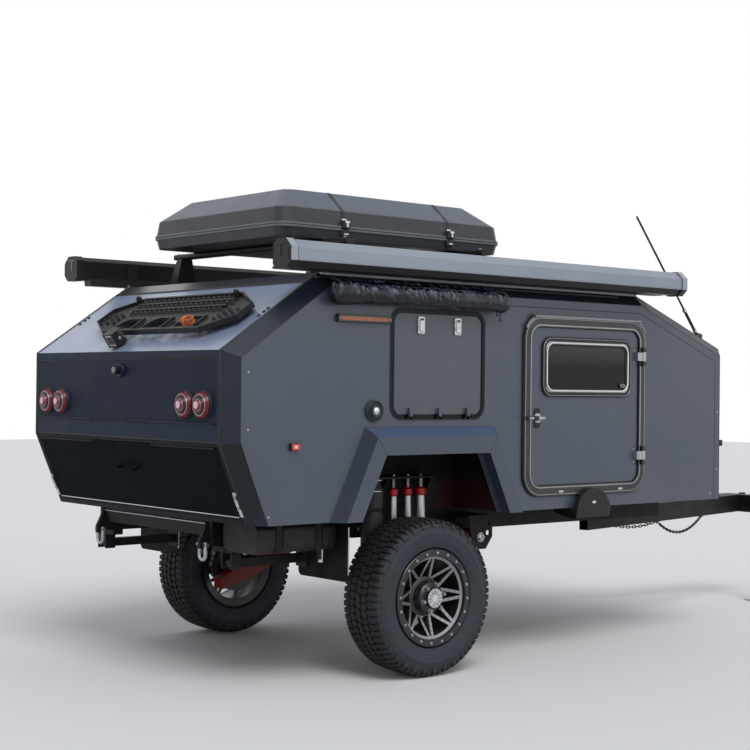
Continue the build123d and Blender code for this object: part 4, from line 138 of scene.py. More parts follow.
# Chassis: welded box section rails, cross members, drawbar and leg brackets, powder
# coated black. The coat is slightly pebbled, rubbed paler on corners, dusty low down.
class Finish:
    """One surface finish while it is mixed: a shader and what is laid on it by masks over the piece's coordinates."""

    def __init__(self, name, colour, rough, **sockets):
        self.material = bpy.data.materials.new(name)
        self.material.use_nodes = True
        self.tree = self.material.node_tree
        self.shader = self.tree.nodes["Principled BSDF"]
        self.place = self.tree.nodes.new("ShaderNodeTexCoord").outputs["Object"]
        self.flat = self.tree.nodes.new("ShaderNodeNewGeometry").outputs["True Normal"]
        self.colour = colour
        self.normal = None
        self.shader.inputs["Base Color"].default_value = (*colour, 1.0)
        self.shader.inputs["Roughness"].default_value = rough
        for socket, value in sockets.items():
            self.shader.inputs[socket.replace("_", " ")].default_value = value

    def put(self, socket, source):
        """The shader's socket takes its value from an output."""
        self.tree.links.new(source, self.shader.inputs[socket])
        return self

    def sum(self, operation, first, second=0.0):
        """A sum of two numbers or outputs."""
        return node(self.tree, "ShaderNodeMath", "Value", {0: first, 1: second}, operation=operation)

    def times(self, first, second):
        """Both masks together, or a mask made weaker."""
        return self.sum("MULTIPLY", first, second)

    def other(self, mask):
        """Where a mask is not."""
        return self.sum("SUBTRACT", 1.0, mask)

    def near(self, value, middle, reach):
        """Where a value lies within reach of a middle."""
        made = self.sum("COMPARE", value, middle)
        made.node.inputs[2].default_value = reach
        return made

    def grade(self, value, low, high, to_low=0.0, to_high=1.0):
        """A value carried from one span to another and held inside it."""
        feeds = {"Value": value, "From Min": low, "From Max": high, "To Min": to_low, "To Max": to_high}
        return node(self.tree, "ShaderNodeMapRange", "Result", feeds)

    def axis(self, letter, source=None):
        """One coordinate of the piece's own place, in metres."""
        return node(self.tree, "ShaderNodeSeparateXYZ", letter, {"Vector": source or self.place})

    def away(self, letter, middle=0.0):
        """Distance from a middle along one axis, the same on both sides."""
        place = self.axis(letter)
        return self.sum("ABSOLUTE", self.sum("SUBTRACT", place, middle) if middle else place)

    def moved(self, move=(0.0, 0.0, 0.0), turn=(0.0, 0.0, 0.0), scale=(1.0, 1.0, 1.0)):
        """The piece's coordinates moved, turned in degrees or stretched."""
        turn = [radians(a) for a in turn]
        return node(self.tree, "ShaderNodeMapping", "Vector",
                    {"Vector": self.place, "Location": move, "Rotation": turn, "Scale": scale})

    def cloud(self, size, detail=2.0, source=None):
        """Soft noise whose patches are about this size in metres, from 0 to 1."""
        return node(self.tree, "ShaderNodeTexNoise", "Fac",
                    {"Vector": source or self.place, "Scale": 1.0 / size, "Detail": detail})

    def cells(self, size, source=None):
        """Distance inside small cells of this size, for pebbled and leathery grain."""
        return node(self.tree, "ShaderNodeTexVoronoi", "Distance",
                    {"Vector": source or self.place, "Scale": 1.0 / size})

    def along(self, letter, low, high, to_low=0.0, to_high=1.0):
        """A mask that runs along one axis from one place to another."""
        return self.grade(self.axis(letter), low, high, to_low, to_high)

    def patches(self, size, detail, low, high, to_low=0.0, to_high=1.0):
        """Soft noise of this size, graded."""
        return self.grade(self.cloud(size, detail), low, high, to_low, to_high)

    def pebbles(self, size, low, high, to_low=0.0, to_high=1.0):
        """Small cells of this size, graded."""
        return self.grade(self.cells(size), low, high, to_low, to_high)

    def waves(self, scale, source=None, **settings):
        """Even waves across the piece or round its middle, from 0 to 1."""
        return node(self.tree, "ShaderNodeTexWave", "Fac", {"Vector": source or self.place, "Scale": scale},
                    **settings)

    def rounded(self, radius):
        """Which way the surface faces with its edges rounded by a radius."""
        return node(self.tree, "ShaderNodeBevel", "Normal", {"Radius": radius})

    def rub(self, radius=0.004, low=0.985, high=0.80):
        """Where the surface turns over an edge within the radius, from 0 on flats to 1."""
        feeds = {0: self.rounded(radius), 1: self.flat}
        return self.grade(node(self.tree, "ShaderNodeVectorMath", "Value", feeds, operation="DOT_PRODUCT"), low, high)

    def tint(self, mask, colour):
        """Lays a colour over what is there, by a mask."""
        self.colour = node(self.tree, "ShaderNodeMix", 2, {"Factor": mask, 6: self.colour, 7: colour},
                           data_type="RGBA")
        return self.put("Base Color", self.colour)

    def mottle(self, size, detail, low, high, most, colour):
        """Lays a colour over in soft patches of this size, at most so much of it."""
        return self.tint(self.patches(size, detail, low, high, 0.0, most), colour)

    def roughness(self, mask, low, high):
        """Roughness that runs from one value to another by a mask."""
        return self.put("Roughness", self.grade(mask, 0.0, 1.0, low, high))

    def relief(self, height, depth):
        """Bump of a depth in metres, over any laid before."""
        feeds = {"Strength": 1.0, "Distance": depth, "Height": height}
        if self.normal:
            feeds["Normal"] = self.normal
        self.normal = node(self.tree, "ShaderNodeBump", "Normal", feeds)
        return self.put("Normal", self.normal)

    def soft_edges(self, radius):
        """Shades hard edges as if rounded by this radius."""
        self.normal = self.rounded(radius)
        return self.put("Normal", self.normal)

    def dust(self, low, high, most, colour=(0.30, 0.27, 0.23)):
        """Dry dust that gathers below a height in patches."""
        fall = self.along("Z", high, low)
        lies = self.patches(0.13, 6.0, 0.38, 0.68, 0.15, 1.0)
        return self.tint(self.times(self.times(fall, lies), most), colour)


def dress(finish, *names):
    """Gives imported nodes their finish."""
    for name in names:
        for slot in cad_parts[name].material_slots:
            slot.material = finish.material


def shade(colour, times, plus=0.0):
    """A colour made lighter or darker."""
    return tuple(c * times + plus for c in colour)


def coat(name, colour, rough=0.42, **sockets):
    """Powder coat: faint pebble, paler rubbed corners, cloudy variation."""
    sockets.setdefault("Specular_IOR_Level", 0.28)
    made = Finish(name, colour, rough, **sockets).soft_edges(0.0025)
    made.mottle(0.22, 4.0, 0.35, 0.70, 0.35, shade(colour, 1.7, 0.004))
    made.tint(made.times(made.rub(0.003), 0.45), shade(colour, 2.4, 0.03))
    made.roughness(made.cloud(0.05, 3.0), rough - 0.09, rough + 0.12)
    return made.relief(made.cloud(0.0016, 1.0), 0.00012)


chassis_coat = coat("chassis_coat", (0.0045, 0.0052, 0.0066), 0.46, Specular_IOR_Level=0.16).dust(0.42, 0.80, 0.08)
dress(chassis_coat, "chassis_frame", "drawbar", "coupling", "jack_tube", "stabiliser_brackets")
dress(chassis_coat, "stabiliser_right", "stabiliser_left", "step_brackets", "suspension_towers")


# Suspension: red trailing arms with stub axles, black rubber bellows between steel seats,
# and bright dampers, each with a red collar under its dark head and a red band at its waist.
AXLE = Vector((-1.4355, 0.0, 0.405))
DAMPER_TOP, DAMPER_WAIST = 0.9997, 0.7
DAMPER_RED = (0.40, 0.012, 0.014)

arm_red = coat("arm_red", (0.17, 0.006, 0.007), 0.38).dust(0.2, 0.75, 0.15)
dress(arm_red, "trailing_arms")
bellows_rubber = Finish("bellows_rubber", (0.016, 0.016, 0.017), 0.55)
bellows_rubber.relief(bellows_rubber.cloud(0.002, 2.0), 0.0002).dust(0.35, 0.9, 0.18)
bellows_rubber.roughness(bellows_rubber.cloud(0.03, 3.0), 0.45, 0.7)
dress(bellows_rubber, "air_springs")


def brushed(name, colour, rough, along="Z", **sockets):
    """Metal brushed or drawn along one direction, with darker handled patches."""
    stretch = [1.0 if letter == along else 60.0 for letter in "XYZ"]
    made = Finish(name, colour, rough, Metallic=1.0, **sockets).soft_edges(0.0015)
    streaks = made.cloud(0.5, 5.0, made.moved(scale=stretch))
    made.tint(made.grade(streaks, 0.30, 0.72, 0.0, 0.5), shade(colour, 0.62))
    made.mottle(0.15, 4.0, 0.45, 0.75, 0.3, shade(colour, 0.5))
    made.roughness(streaks, rough - 0.08, rough + 0.12)
    return made.relief(streaks, 0.00015)


damper_body = Finish("damper_body", (0.50, 0.51, 0.54), 0.34, Metallic=1.0)
height = damper_body.axis("Z")
damper_body.mottle(0.05, 4.0, 0.45, 0.75, 0.5, (0.36, 0.37, 0.39))
waist = damper_body.near(height, DAMPER_WAIST, 0.016)
collar = damper_body.near(height, DAMPER_TOP - 0.070, 0.024)
stem = damper_body.sum("GREATER_THAN", height, DAMPER_TOP - 0.046)
damper_body.tint(stem, (0.16, 0.15, 0.14)).tint(collar, DAMPER_RED).tint(waist, DAMPER_RED)
damper_body.put("Metallic", damper_body.other(damper_body.times(damper_body.sum("MAXIMUM", collar, waist), 0.7)))
damper_body.roughness(damper_body.cloud(0.03, 4.0), 0.30, 0.42)
dress(damper_body, "dampers")


# The turned pieces: copies set round an axle by a small node tree with named sizes, and a
# profile spun about the same axis in even steps for the carcass of a tyre.
def tree_of(name, sockets):
    """An empty geometry tree with its named inputs; returns the tree, its entry and its exit."""
    tree = bpy.data.node_groups.new(name, "GeometryNodeTree")
    tree.interface.new_socket("Geometry", in_out="INPUT", socket_type="NodeSocketGeometry")
    for label, kind, value in sockets:
        socket = tree.interface.new_socket(label, in_out="INPUT", socket_type="NodeSocket" + kind)
        if value is not None:
            socket.default_value = value
    tree.interface.new_socket("Geometry", in_out="OUTPUT", socket_type="NodeSocketGeometry")
    return tree, tree.nodes.new("NodeGroupInput"), tree.nodes.new("NodeGroupOutput")


def grown(name, base, tree, values, body, slot, smooth=None):
    """Runs a tree on a base mesh or curve and keeps the plain mesh as a piece that rides on a body."""
    start = placed(name + "_base", base)
    run = start.modifiers.new("tree", "NODES")
    run.node_group = tree
    for item in tree.interface.items_tree:
        if item.in_out == "INPUT" and item.name in values:
            run[item.identifier] = values[item.name]
    depsgraph = bpy.context.evaluated_depsgraph_get()
    mesh = bpy.data.meshes.new_from_object(start.evaluated_get(depsgraph), depsgraph=depsgraph)
    bpy.data.objects.remove(start)
    return settled(name, mesh, values.get("Material"), body, slot, smooth)


def settled(name, mesh, material, body, slot, smooth=None):
    """A finished mesh as a piece: its material and the body it rides on. The slot is not used."""
    mesh.name = name
    if material and material.name not in mesh.materials:
        mesh.materials.clear()
        mesh.materials.append(material)
    made = placed(name, mesh)
    if smooth is not None:
        mesh.shade_smooth()
        mesh.set_sharp_from_angle(angle=radians(smooth))
    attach(made, body)
    return made


def end_tree(tree, entry, leave, last):
    """Ends a tree: its copies made real, the material given, and out."""
    real = node(tree, "GeometryNodeRealizeInstances", 0, {0: last})
    faced = node(tree, "GeometryNodeSetMaterial", 0, {"Geometry": real, "Material": entry.outputs["Material"]})
    tree.links.new(faced, leave.inputs[0])


ring_tree, entry, leave = tree_of("copies_round_an_axle", (
    ("Count", "Int", 20), ("Centre", "Vector", None), ("Phase", "Float", 0.0), ("Material", "Material", None)))
given = entry.outputs
spots = node(ring_tree, "GeometryNodePoints", 0, {"Count": given["Count"]})
order = node(ring_tree, "GeometryNodeInputIndex", 0, {})
share = node(ring_tree, "ShaderNodeMath", 0, {0: order, 1: given["Count"]}, operation="DIVIDE")
phase = node(ring_tree, "ShaderNodeMath", 0, {0: share, 1: 2.0 * pi, 2: given["Phase"]}, operation="MULTIPLY_ADD")
about = node(ring_tree, "ShaderNodeCombineXYZ", 0, {"Y": phase})
copies = node(ring_tree, "GeometryNodeInstanceOnPoints", 0,
              {"Points": spots, "Instance": given["Geometry"], "Rotation": about})
put = node(ring_tree, "GeometryNodeTransform", 0, {"Geometry": copies, "Translation": given["Centre"]})
end_tree(ring_tree, entry, leave, put)


def skin(shell, rows, looped=False, open_rows=False):
    """Walls between rows of points; a row is a ring unless open, and looped joins the last row to the first."""
    for one, two in zip(rows, rows[1:] + (rows[:1] if looped else [])):
        for here in range(len(one) - open_rows):
            there = (here + 1) % len(one)
            shell.faces.new((one[here], one[there], two[there], two[here]))


def plain_mesh(shell):
    """The mesh of a finished shell."""
    mesh = bpy.data.meshes.new("work")
    shell.to_mesh(mesh)
    shell.free()
    return mesh


def closed_mesh(shell):
    """The mesh of a closed shell whose faces all look outwards."""
    bmesh.ops.recalc_face_normals(shell, faces=shell.faces)
    return plain_mesh(shell)


def turned(profile, steps, centre):
    """Mesh of a closed profile, given as (radius, across) pairs, spun about an axle along Y."""
    shell = bmesh.new()
    angles = [2 * pi * step / steps for step in range(steps)]
    skin(shell, [[shell.verts.new((r * sin(a), y, r * cos(a))) for r, y in profile] for a in angles], looped=True)
    for vertex in shell.verts:
        vertex.co += centre
    return closed_mesh(shell)


# Tyres: all-terrain rubber on a moulded carcass. Interlocked tread blocks stand round
# it in five rows, the shoulder blocks wrap onto the sidewall, and fine sipes cut them.
HANDS = ((-1, "right"), (1, "left"))
TYRE_MIDDLE = 0.8755
EDGE_LINE = 0.3742
TREAD_PITCHES = 34
TREAD_FOOT = 0.390
TREAD_TIP = 0.4046
BLOCK_TAPER = 0.0014
CARCASS = (
    (0.2118, 0.070), (0.2118, 0.098), (0.2145, 0.1005), (0.2520, 0.1010), (0.2560, 0.1060), (0.2575, 0.1200),
    (0.2610, 0.1255), (0.2665, 0.1270), (0.2700, 0.1262), (0.2735, 0.1288), (0.2900, 0.1335), (0.3080, 0.1358),
    (0.3260, 0.1360), (0.3290, 0.1372), (0.3330, 0.1372), (0.3360, 0.1350), (0.3540, 0.1318), (0.3700, 0.1265),
    (0.3820, 0.1190), (0.3885, 0.1090), (0.3915, 0.0960), (0.3925, 0.0500), (0.3928, 0.0),
)
# Blocks of one tread pitch: outline as (share of the pitch, millimetres across)
CENTRE_BLOCK = ((0.03, -19), (0.27, -22), (0.41, -12), (0.55, -9), (0.60, 17), (0.36, 21), (0.25, 9), (0.07, 7))
MIDDLE_BLOCK = ((0.09, 29), (0.37, 25), (0.50, 34), (0.48, 58), (0.34, 66), (0.13, 62), (0.02, 48))
SHOULDER_BLOCK = ((0.06, 72), (0.22, 68), (0.40, 70), (0.42, 98), (0.04, 98))
# Wrap of the long and the short shoulder block over the edge: radius, across
LONG_WRAP = ((0.4005, 0.0980), (0.3985, 0.1120), (0.3925, 0.1235), (0.3830, 0.1300), (0.3640, 0.1340),
             (0.3585, 0.1318))
SHORT_WRAP = ((0.4005, 0.0980), (0.3985, 0.1120), (0.3925, 0.1230), (0.3860, 0.1275), (0.3800, 0.1225))


def crown(across):
    """Radius of the block tips at a place across the tyre, falling a little towards the shoulders."""
    return TREAD_TIP - 0.0042 * (abs(across) / 0.098) ** 2


def wrap(shell, layer, share, across, radius):
    """One corner of a block, wrapped round the tyre, with its unrolled place kept for the sipes."""
    angle = 2 * pi * share / TREAD_PITCHES
    vertex = shell.verts.new((radius * sin(angle), across, radius * cos(angle)))
    vertex[layer] = Vector((share * 2 * pi * TREAD_TIP / TREAD_PITCHES, across, 0.0))
    return vertex


def tread_block(shell, layer, outline, flip, shift):
    """A straight-sided block with a chamfered top, on the carcass between the rows of grooves."""
    middle_u = sum(u for u, v in outline) / len(outline)
    middle_v = sum(v for u, v in outline) / len(outline)
    levels = []
    for level, radius_in in ((0, None), (1, 0.0012), (2, 0.0)):
        ring = []
        for u, v in outline:
            draw = (0.0, BLOCK_TAPER, BLOCK_TAPER * 2)[level]
            pull_u, pull_v = middle_u - u, (middle_v - v) / 1000
            long = hypot(pull_u * 0.0748, pull_v)
            u_in, v_in = u + pull_u * draw / long, v / 1000 + pull_v * draw / long
            across = v_in * flip
            radius = TREAD_FOOT if radius_in is None else crown(v_in) - radius_in
            ring.append(wrap(shell, layer, (u_in if flip > 0 else 0.6 - u_in) + shift, across, radius))
        levels.append(ring)
    skin(shell, levels)
    shell.faces.new(levels[-1])


def shoulder_wrap(shell, layer, path, flip, start, end, shift):
    """The part of a shoulder block that runs over the edge and down the sidewall, bevelled all round."""
    rows = []
    for number, (radius, across) in enumerate(path):
        narrow = 0.03 * number / len(path)
        ring = []
        for share, sink in ((start + narrow - 0.02, 0.011), (start + narrow + 0.01, 0.0),
                            (end - narrow - 0.01, 0.0), (end - narrow + 0.02, 0.011)):
            inward = sink if number < 4 else sink * 0.6
            lean = 0.25 if number < 2 else 0.85
            ring.append(wrap(shell, layer, share + shift, (across - inward * lean) * flip,
                             radius - inward * (1.1 - lean)))
        rows.append(ring)
    skin(shell, rows, open_rows=True)
    shell.faces.new(rows[-1])
    shell.faces.new(rows[0])


def one_pitch():
    """All blocks of one pitch of the tread, both sides."""
    shell = bmesh.new()
    layer = shell.verts.layers.float_vector.new("unrolled")
    for shift, flip in ((0.0, 1), (0.5, -1)):
        tread_block(shell, layer, CENTRE_BLOCK, flip, shift)
    for flip in (1, -1):
        for shift in (0.0, 0.5):
            tread_block(shell, layer, MIDDLE_BLOCK, flip, shift + 0.12 * flip)
            tread_block(shell, layer, SHOULDER_BLOCK, flip, shift)
            long = (shift == 0.0) == (flip > 0)
            shoulder_wrap(shell, layer, LONG_WRAP if long else SHORT_WRAP, flip,
                          *((0.05, 0.41) if flip > 0 else (0.19, 0.55)), shift)
    bmesh.ops.recalc_face_normals(shell, faces=shell.faces)
    return shell


def from_axle(finish):
    """Places round the axle, flattened along it."""
    return finish.moved(move=(-AXLE.x, 0.0, -AXLE.z), scale=(1.0, 0.0, 1.0))


def round_axle(finish):
    """Radius from the axle, in metres."""
    return node(finish.tree, "ShaderNodeVectorMath", "Value", {0: from_axle(finish)}, operation="LENGTH")


def round_wheel(name, shell, count, side, hand, finish, slot, phase=0.0):
    """Copies of one shell set evenly round a wheel, which they ride on."""
    values = {"Count": count, "Phase": phase, "Centre": Vector((AXLE.x, side * TYRE_MIDDLE, AXLE.z)),
              "Material": finish.material}
    return grown(name + "_" + hand, plain_mesh(shell), ring_tree, values, "wheel_" + hand, slot)


tyre_rubber = Finish("tyre_rubber", (0.0115, 0.0120, 0.0135), 0.58, Specular_IOR_Level=0.35)
unrolled = node(tyre_rubber.tree, "ShaderNodeAttribute", "Vector", {}, attribute_name="unrolled")
out = round_axle(tyre_rubber)
sipes = tyre_rubber.waves(22.0, unrolled, wave_profile="TRI")
for socket, value in (("Distortion", 1.4), ("Detail", 0.0), ("Detail Scale", 70.0)):
    sipes.node.inputs[socket].default_value = value
cut = tyre_rubber.grade(sipes, 0.0, 0.13)
on_tread = tyre_rubber.grade(out, 0.3965, 0.3990)
cut = tyre_rubber.sum("MAXIMUM", cut, tyre_rubber.other(on_tread))
tyre_rubber.tint(tyre_rubber.grade(out, 0.372, 0.352), (0.023, 0.030, 0.041))
tyre_rubber.mottle(0.09, 5.0, 0.42, 0.70, 0.35, (0.026, 0.030, 0.035))
tyre_rubber.tint(tyre_rubber.times(tyre_rubber.near(out, EDGE_LINE, 0.0022), 0.8), (0.048, 0.056, 0.066))
# Painted shade: the sipes on the tread's tips are painted near-black, as shade inside the cuts.
tyre_rubber.tint(tyre_rubber.other(cut), (0.003, 0.003, 0.003))
grit = tyre_rubber.patches(0.02, 5.0, 0.48, 0.72)
dusty = tyre_rubber.times(tyre_rubber.grade(out, 0.405, 0.385, 0.15, 0.6), grit)
tyre_rubber.tint(tyre_rubber.times(dusty, 0.22), (0.085, 0.078, 0.070))
tyre_rubber.relief(cut, 0.0022).relief(tyre_rubber.cloud(0.0022, 3.0), 0.00035)
tyre_rubber.roughness(tyre_rubber.cloud(0.04, 3.0), 0.52, 0.78)

for side, hand in HANDS:
    round_wheel("tyre_tread", one_pitch(), TREAD_PITCHES, side, hand, tyre_rubber, "tyre")
    section = list(CARCASS) + [(r, -y) for r, y in reversed(CARCASS[:-1])]
    body = turned(section, 120, Vector((AXLE.x, side * TYRE_MIDDLE, AXLE.z)))
    carcass = settled("tyre_carcass_" + hand, body, tyre_rubber.material, "wheel_" + hand, "tyre", smooth=50)
    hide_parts("tyre_" + hand)


# Wheels: cast alloy with forked spokes, black in the pockets and machined bright on the
# outward faces, a black bead ring with its ring of bolts, and a pressed hub cap.
RING_BOLTS = 20
RING_BOLT_RADIUS = 0.231
RING_FACE = 1.004
CAP_FACE = 1.010
LUG_NUTS = 6
LUG_NUT_RADIUS = 0.069
CAP_FACETS = 12
# A facet's foot and its smaller top: radius, angle, height
CAP_FACET = (
    (0.020, -0.21, 0.0004), (0.046, -0.17, 0.0004), (0.046, 0.17, 0.0004), (0.020, 0.21, 0.0004),
    (0.024, -0.14, 0.0022), (0.043, -0.11, 0.0022), (0.043, 0.11, 0.0022), (0.024, 0.14, 0.0022),
)

wheel_alloy = Finish("wheel_alloy", (0.011, 0.011, 0.013), 0.34).soft_edges(0.002)
outward = wheel_alloy.times(wheel_alloy.axis("Y", wheel_alloy.flat), wheel_alloy.sum("SIGN", wheel_alloy.axis("Y")))
out = round_axle(wheel_alloy)
spokes = wheel_alloy.times(wheel_alloy.sum("GREATER_THAN", out, 0.0995), wheel_alloy.sum("LESS_THAN", out, 0.2115))
cap = wheel_alloy.sum("LESS_THAN", out, 0.0515)
bright = wheel_alloy.times(wheel_alloy.grade(outward, 0.86, 0.90),
                           wheel_alloy.sum("GREATER_THAN", wheel_alloy.away("Y"), 0.915))
bright = wheel_alloy.times(bright, wheel_alloy.sum("MAXIMUM", spokes, cap))
bright = wheel_alloy.times(bright, wheel_alloy.grade(wheel_alloy.rub(0.0022, 0.995, 0.93), 0.0, 1.0, 1.0, 0.15))
wheel_alloy.mottle(0.05, 4.0, 0.4, 0.7, 0.6, (0.028, 0.028, 0.030))
wheel_alloy.tint(bright, (0.66, 0.67, 0.71)).put("Metallic", bright)
lathe = wheel_alloy.waves(160.0, from_axle(wheel_alloy), wave_type="RINGS", rings_direction="SPHERICAL")
wheel_alloy.relief(wheel_alloy.times(lathe, bright), 0.00005)
wheel_alloy.roughness(wheel_alloy.cloud(0.03, 3.0), 0.24, 0.42)
dress(wheel_alloy, "wheel_right", "wheel_left")

bolt_steel = brushed("bolt_steel", (0.42, 0.43, 0.45), 0.28, "Y")
dress(bolt_steel, "jack_leg", "shackles")


def head(radius, tall, sides=6, washer=1.25):
    """A bolt or rivet head standing on its washer along +Z, its foot at the origin."""
    shell = bmesh.new()
    levels = (
        (radius * washer, 0.0, 16), (radius * washer, tall * 0.22, 16), (radius * 1.02, tall * 0.24, sides),
        (radius, tall * 0.80, sides), (radius * 0.84, tall, sides), (radius * 0.42, tall, sides),
        (radius * 0.38, tall * 0.72, sides),
    )
    last = None
    for reach, level, count in levels:
        angles = [2 * pi * k / count for k in range(count)]
        ring = [shell.verts.new((reach * cos(a), reach * sin(a), level)) for a in angles]
        if last is None:
            shell.faces.new(list(reversed(ring)))
        elif len(last) == count:
            skin(shell, [last, ring])
        else:
            shell.faces.new(last)
            shell.faces.new(list(reversed(ring)))
        last = ring
    shell.faces.new(last)
    return shell


def laid(shell, matrix):
    """Moves a shell and returns it, so that it can be built about its own origin."""
    bmesh.ops.transform(shell, matrix=matrix, verts=shell.verts)
    return shell


for side, hand in HANDS:
    lying = Matrix.Rotation(radians(-90 * side), 4, "X")
    ring_spot = Matrix.Translation((0.0, side * (RING_FACE - TYRE_MIDDLE), RING_BOLT_RADIUS))
    round_wheel("bead_ring_bolts", laid(head(0.0062, 0.0062), ring_spot @ lying), RING_BOLTS, side, hand,
                bolt_steel, "zinc", 0.08)
    nut_spot = Matrix.Translation((0.0, side * (RING_FACE - 0.0135 - TYRE_MIDDLE), LUG_NUT_RADIUS))
    round_wheel("hub_nuts", laid(head(0.0105, 0.019, 6, 1.15), nut_spot @ lying), LUG_NUTS, side, hand,
                bolt_steel, "zinc", 0.3)
    facet = bmesh.new()
    corners = [facet.verts.new((r * sin(a), side * (CAP_FACE + up - TYRE_MIDDLE), r * cos(a)))
               for r, a, up in CAP_FACET]
    for face in ((0, 1, 5, 4), (1, 2, 6, 5), (2, 3, 7, 6), (3, 0, 4, 7), (4, 5, 6, 7), (3, 2, 1, 0)):
        facet.faces.new([corners[corner] for corner in face])
    bmesh.ops.recalc_face_normals(facet, faces=facet.faces)
    round_wheel("cap_facets", facet, CAP_FACETS, side, hand, bolt_steel, "alloy")


# Tank and mud flaps: a black moulded water tank held by straps, with a bright drain tube,
# and ribbed rubber flaps with a folded steel edge where they hang behind the wheels.
tank_plastic = Finish("tank_plastic", (0.0085, 0.0090, 0.0100), 0.50, Specular_IOR_Level=0.22)
tank_plastic.mottle(0.3, 4.0, 0.4, 0.7, 0.6, (0.018, 0.0185, 0.020))
tank_plastic.relief(tank_plastic.cells(0.0024), 0.0002).roughness(tank_plastic.cloud(0.06), 0.38, 0.6)
tank_plastic.dust(0.6, 0.8, 0.10)
dress(tank_plastic, "water_tank")
flap_rubber = Finish("flap_rubber", (0.0045, 0.0048, 0.0055), 0.6, Specular_IOR_Level=0.10)
flap_rubber.relief(flap_rubber.waves(14.0, bands_direction="Y"), 0.0012).relief(flap_rubber.cloud(0.003, 3.0), 0.0003)
flap_rubber.dust(0.5, 0.80, 0.05).roughness(flap_rubber.cloud(0.05), 0.5, 0.75)
dress(flap_rubber, "mud_flaps")

cording_tree, entry, leave = tree_of("cording_on_a_line", (
    ("Radius", "Float", 0.002), ("Sides", "Int", 8), ("Material", "Material", None)))
line = node(cording_tree, "GeometryNodeMeshToCurve", 0, {"Mesh": entry.outputs["Geometry"]})
ring = node(cording_tree, "GeometryNodeCurvePrimitiveCircle", 0,
            {"Radius": entry.outputs["Radius"], "Resolution": entry.outputs["Sides"]})
drawn = node(cording_tree, "GeometryNodeCurveToMesh", 0, {"Curve": line, "Profile Curve": ring, "Fill Caps": True})
end_tree(cording_tree, entry, leave, drawn)


def cording(name, runs, radius, finish, body, slot, sides=8):
    """Round cord, wire or bead of one radius laid along straight runs; a run that meets itself is closed."""
    shell = bmesh.new()
    for run in runs:
        spots = [shell.verts.new(point) for point in run[:-1]]
        closed = (Vector(run[0]) - Vector(run[-1])).length < 1e-6
        if not closed:
            spots.append(shell.verts.new(run[-1]))
        for one, two in zip(spots, spots[1:] + (spots[:1] if closed else [])):
            shell.edges.new((one, two))
    return grown(name, plain_mesh(shell), cording_tree,
                 {"Radius": radius, "Sides": sides, "Material": finish.material}, body, slot, smooth=40)


trim_steel = brushed("trim_steel", (0.58, 0.60, 0.63), 0.22, "Y")
cording("mud_flap_edges", [[(-1.9735, side * y, 0.79), (-1.9735, side * y, 0.555)] for side in (-1, 1)
                           for y in (0.566, 0.964)],
        0.0035, trim_steel, "trailer", "zinc")
cording("tank_drain", [[(-2.04, -0.83, 0.700), (-2.04, -0.83, 0.612)]], 0.0155, trim_steel, "trailer", "zinc",
        sides=20)

fastener_tree, entry, leave = tree_of("heads_on_places", (("Head", "Object", None), ("Material", "Material", None)))
dots = node(fastener_tree, "GeometryNodeMeshToPoints", 0, {"Mesh": entry.outputs["Geometry"]})
shape = node(fastener_tree, "GeometryNodeObjectInfo", "Geometry", {"Object": entry.outputs["Head"]})
facing = node(fastener_tree, "GeometryNodeInputNamedAttribute", 0, {"Name": "facing"}, data_type="FLOAT_VECTOR")
aim = node(fastener_tree, "FunctionNodeAlignRotationToVector", 0, {"Vector": facing}, axis="Z")
spread = node(fastener_tree, "GeometryNodeInstanceOnPoints", 0, {"Points": dots, "Instance": shape, "Rotation": aim})
end_tree(fastener_tree, entry, leave, spread)


def fasteners(name, places, radius, tall, finish, body, slot="zinc", sides=6):
    """Bolt heads at places, each given as (point, direction that it faces)."""
    pattern = placed(name + "_head", plain_mesh(head(radius, tall, sides)))
    shell = bmesh.new()
    layer = shell.verts.layers.float_vector.new("facing")
    for point, direction in places:
        shell.verts.new(point)[layer] = Vector(direction)
    made = grown(name, plain_mesh(shell), fastener_tree, {"Head": pattern, "Material": finish.material}, body, slot)
    bpy.data.objects.remove(pattern)
    return made


# Body shell: satin dark slate panels bonded behind darker slate corner profiles. Each
# panel has a faint roll of colour, and dust lies low on the sides.
BODY_HALF = 0.969
SIDE_FOOT = 0.824
CORNER = 0.066
PANEL_SLATE = (0.043, 0.057, 0.082)
CORNER_SLATE = (0.013, 0.018, 0.031)
REAR_SLATE = (0.005, 0.012, 0.029)
# Painted shade: the rear flap on the undercut faces the ground and is painted near-black.
UNDERCUT_PAINTED_SHADE = (0.0010, 0.0030, 0.0060)
BODY_SKIN = (
    (-2.5365, 0.820), (-2.6975, 1.2075), (-2.6975, 1.648), (-2.1305, 2.038), (0.2145, 2.038),
    (1.0105, 1.740), (1.0105, 0.820),
)


def panel(name, colour, rough=0.36, coat_share=0.35, dusty=0.05, shine=0.5):
    """Painted sheet: smooth satin coat with faint orange peel, broad cloudiness and rubbed, paler edges."""
    made = Finish(name, colour, rough, Coat_Weight=coat_share, Coat_Roughness=0.22,
                  Specular_IOR_Level=shine).soft_edges(0.002)
    made.mottle(0.75, 3.0, 0.35, 0.72, 0.55, shade(colour, 1.16, 0.001))
    made.mottle(0.09, 5.0, 0.46, 0.75, 0.30, shade(colour, 0.86))
    made.tint(made.times(made.rub(0.003, 0.98, 0.8), 0.30), shade(colour, 1.7, 0.01))
    made.roughness(made.cloud(0.12, 4.0), rough - 0.07, rough + 0.10)
    return made.relief(made.cloud(0.0035, 2.0), 0.00010).dust(0.78, 1.10, dusty)


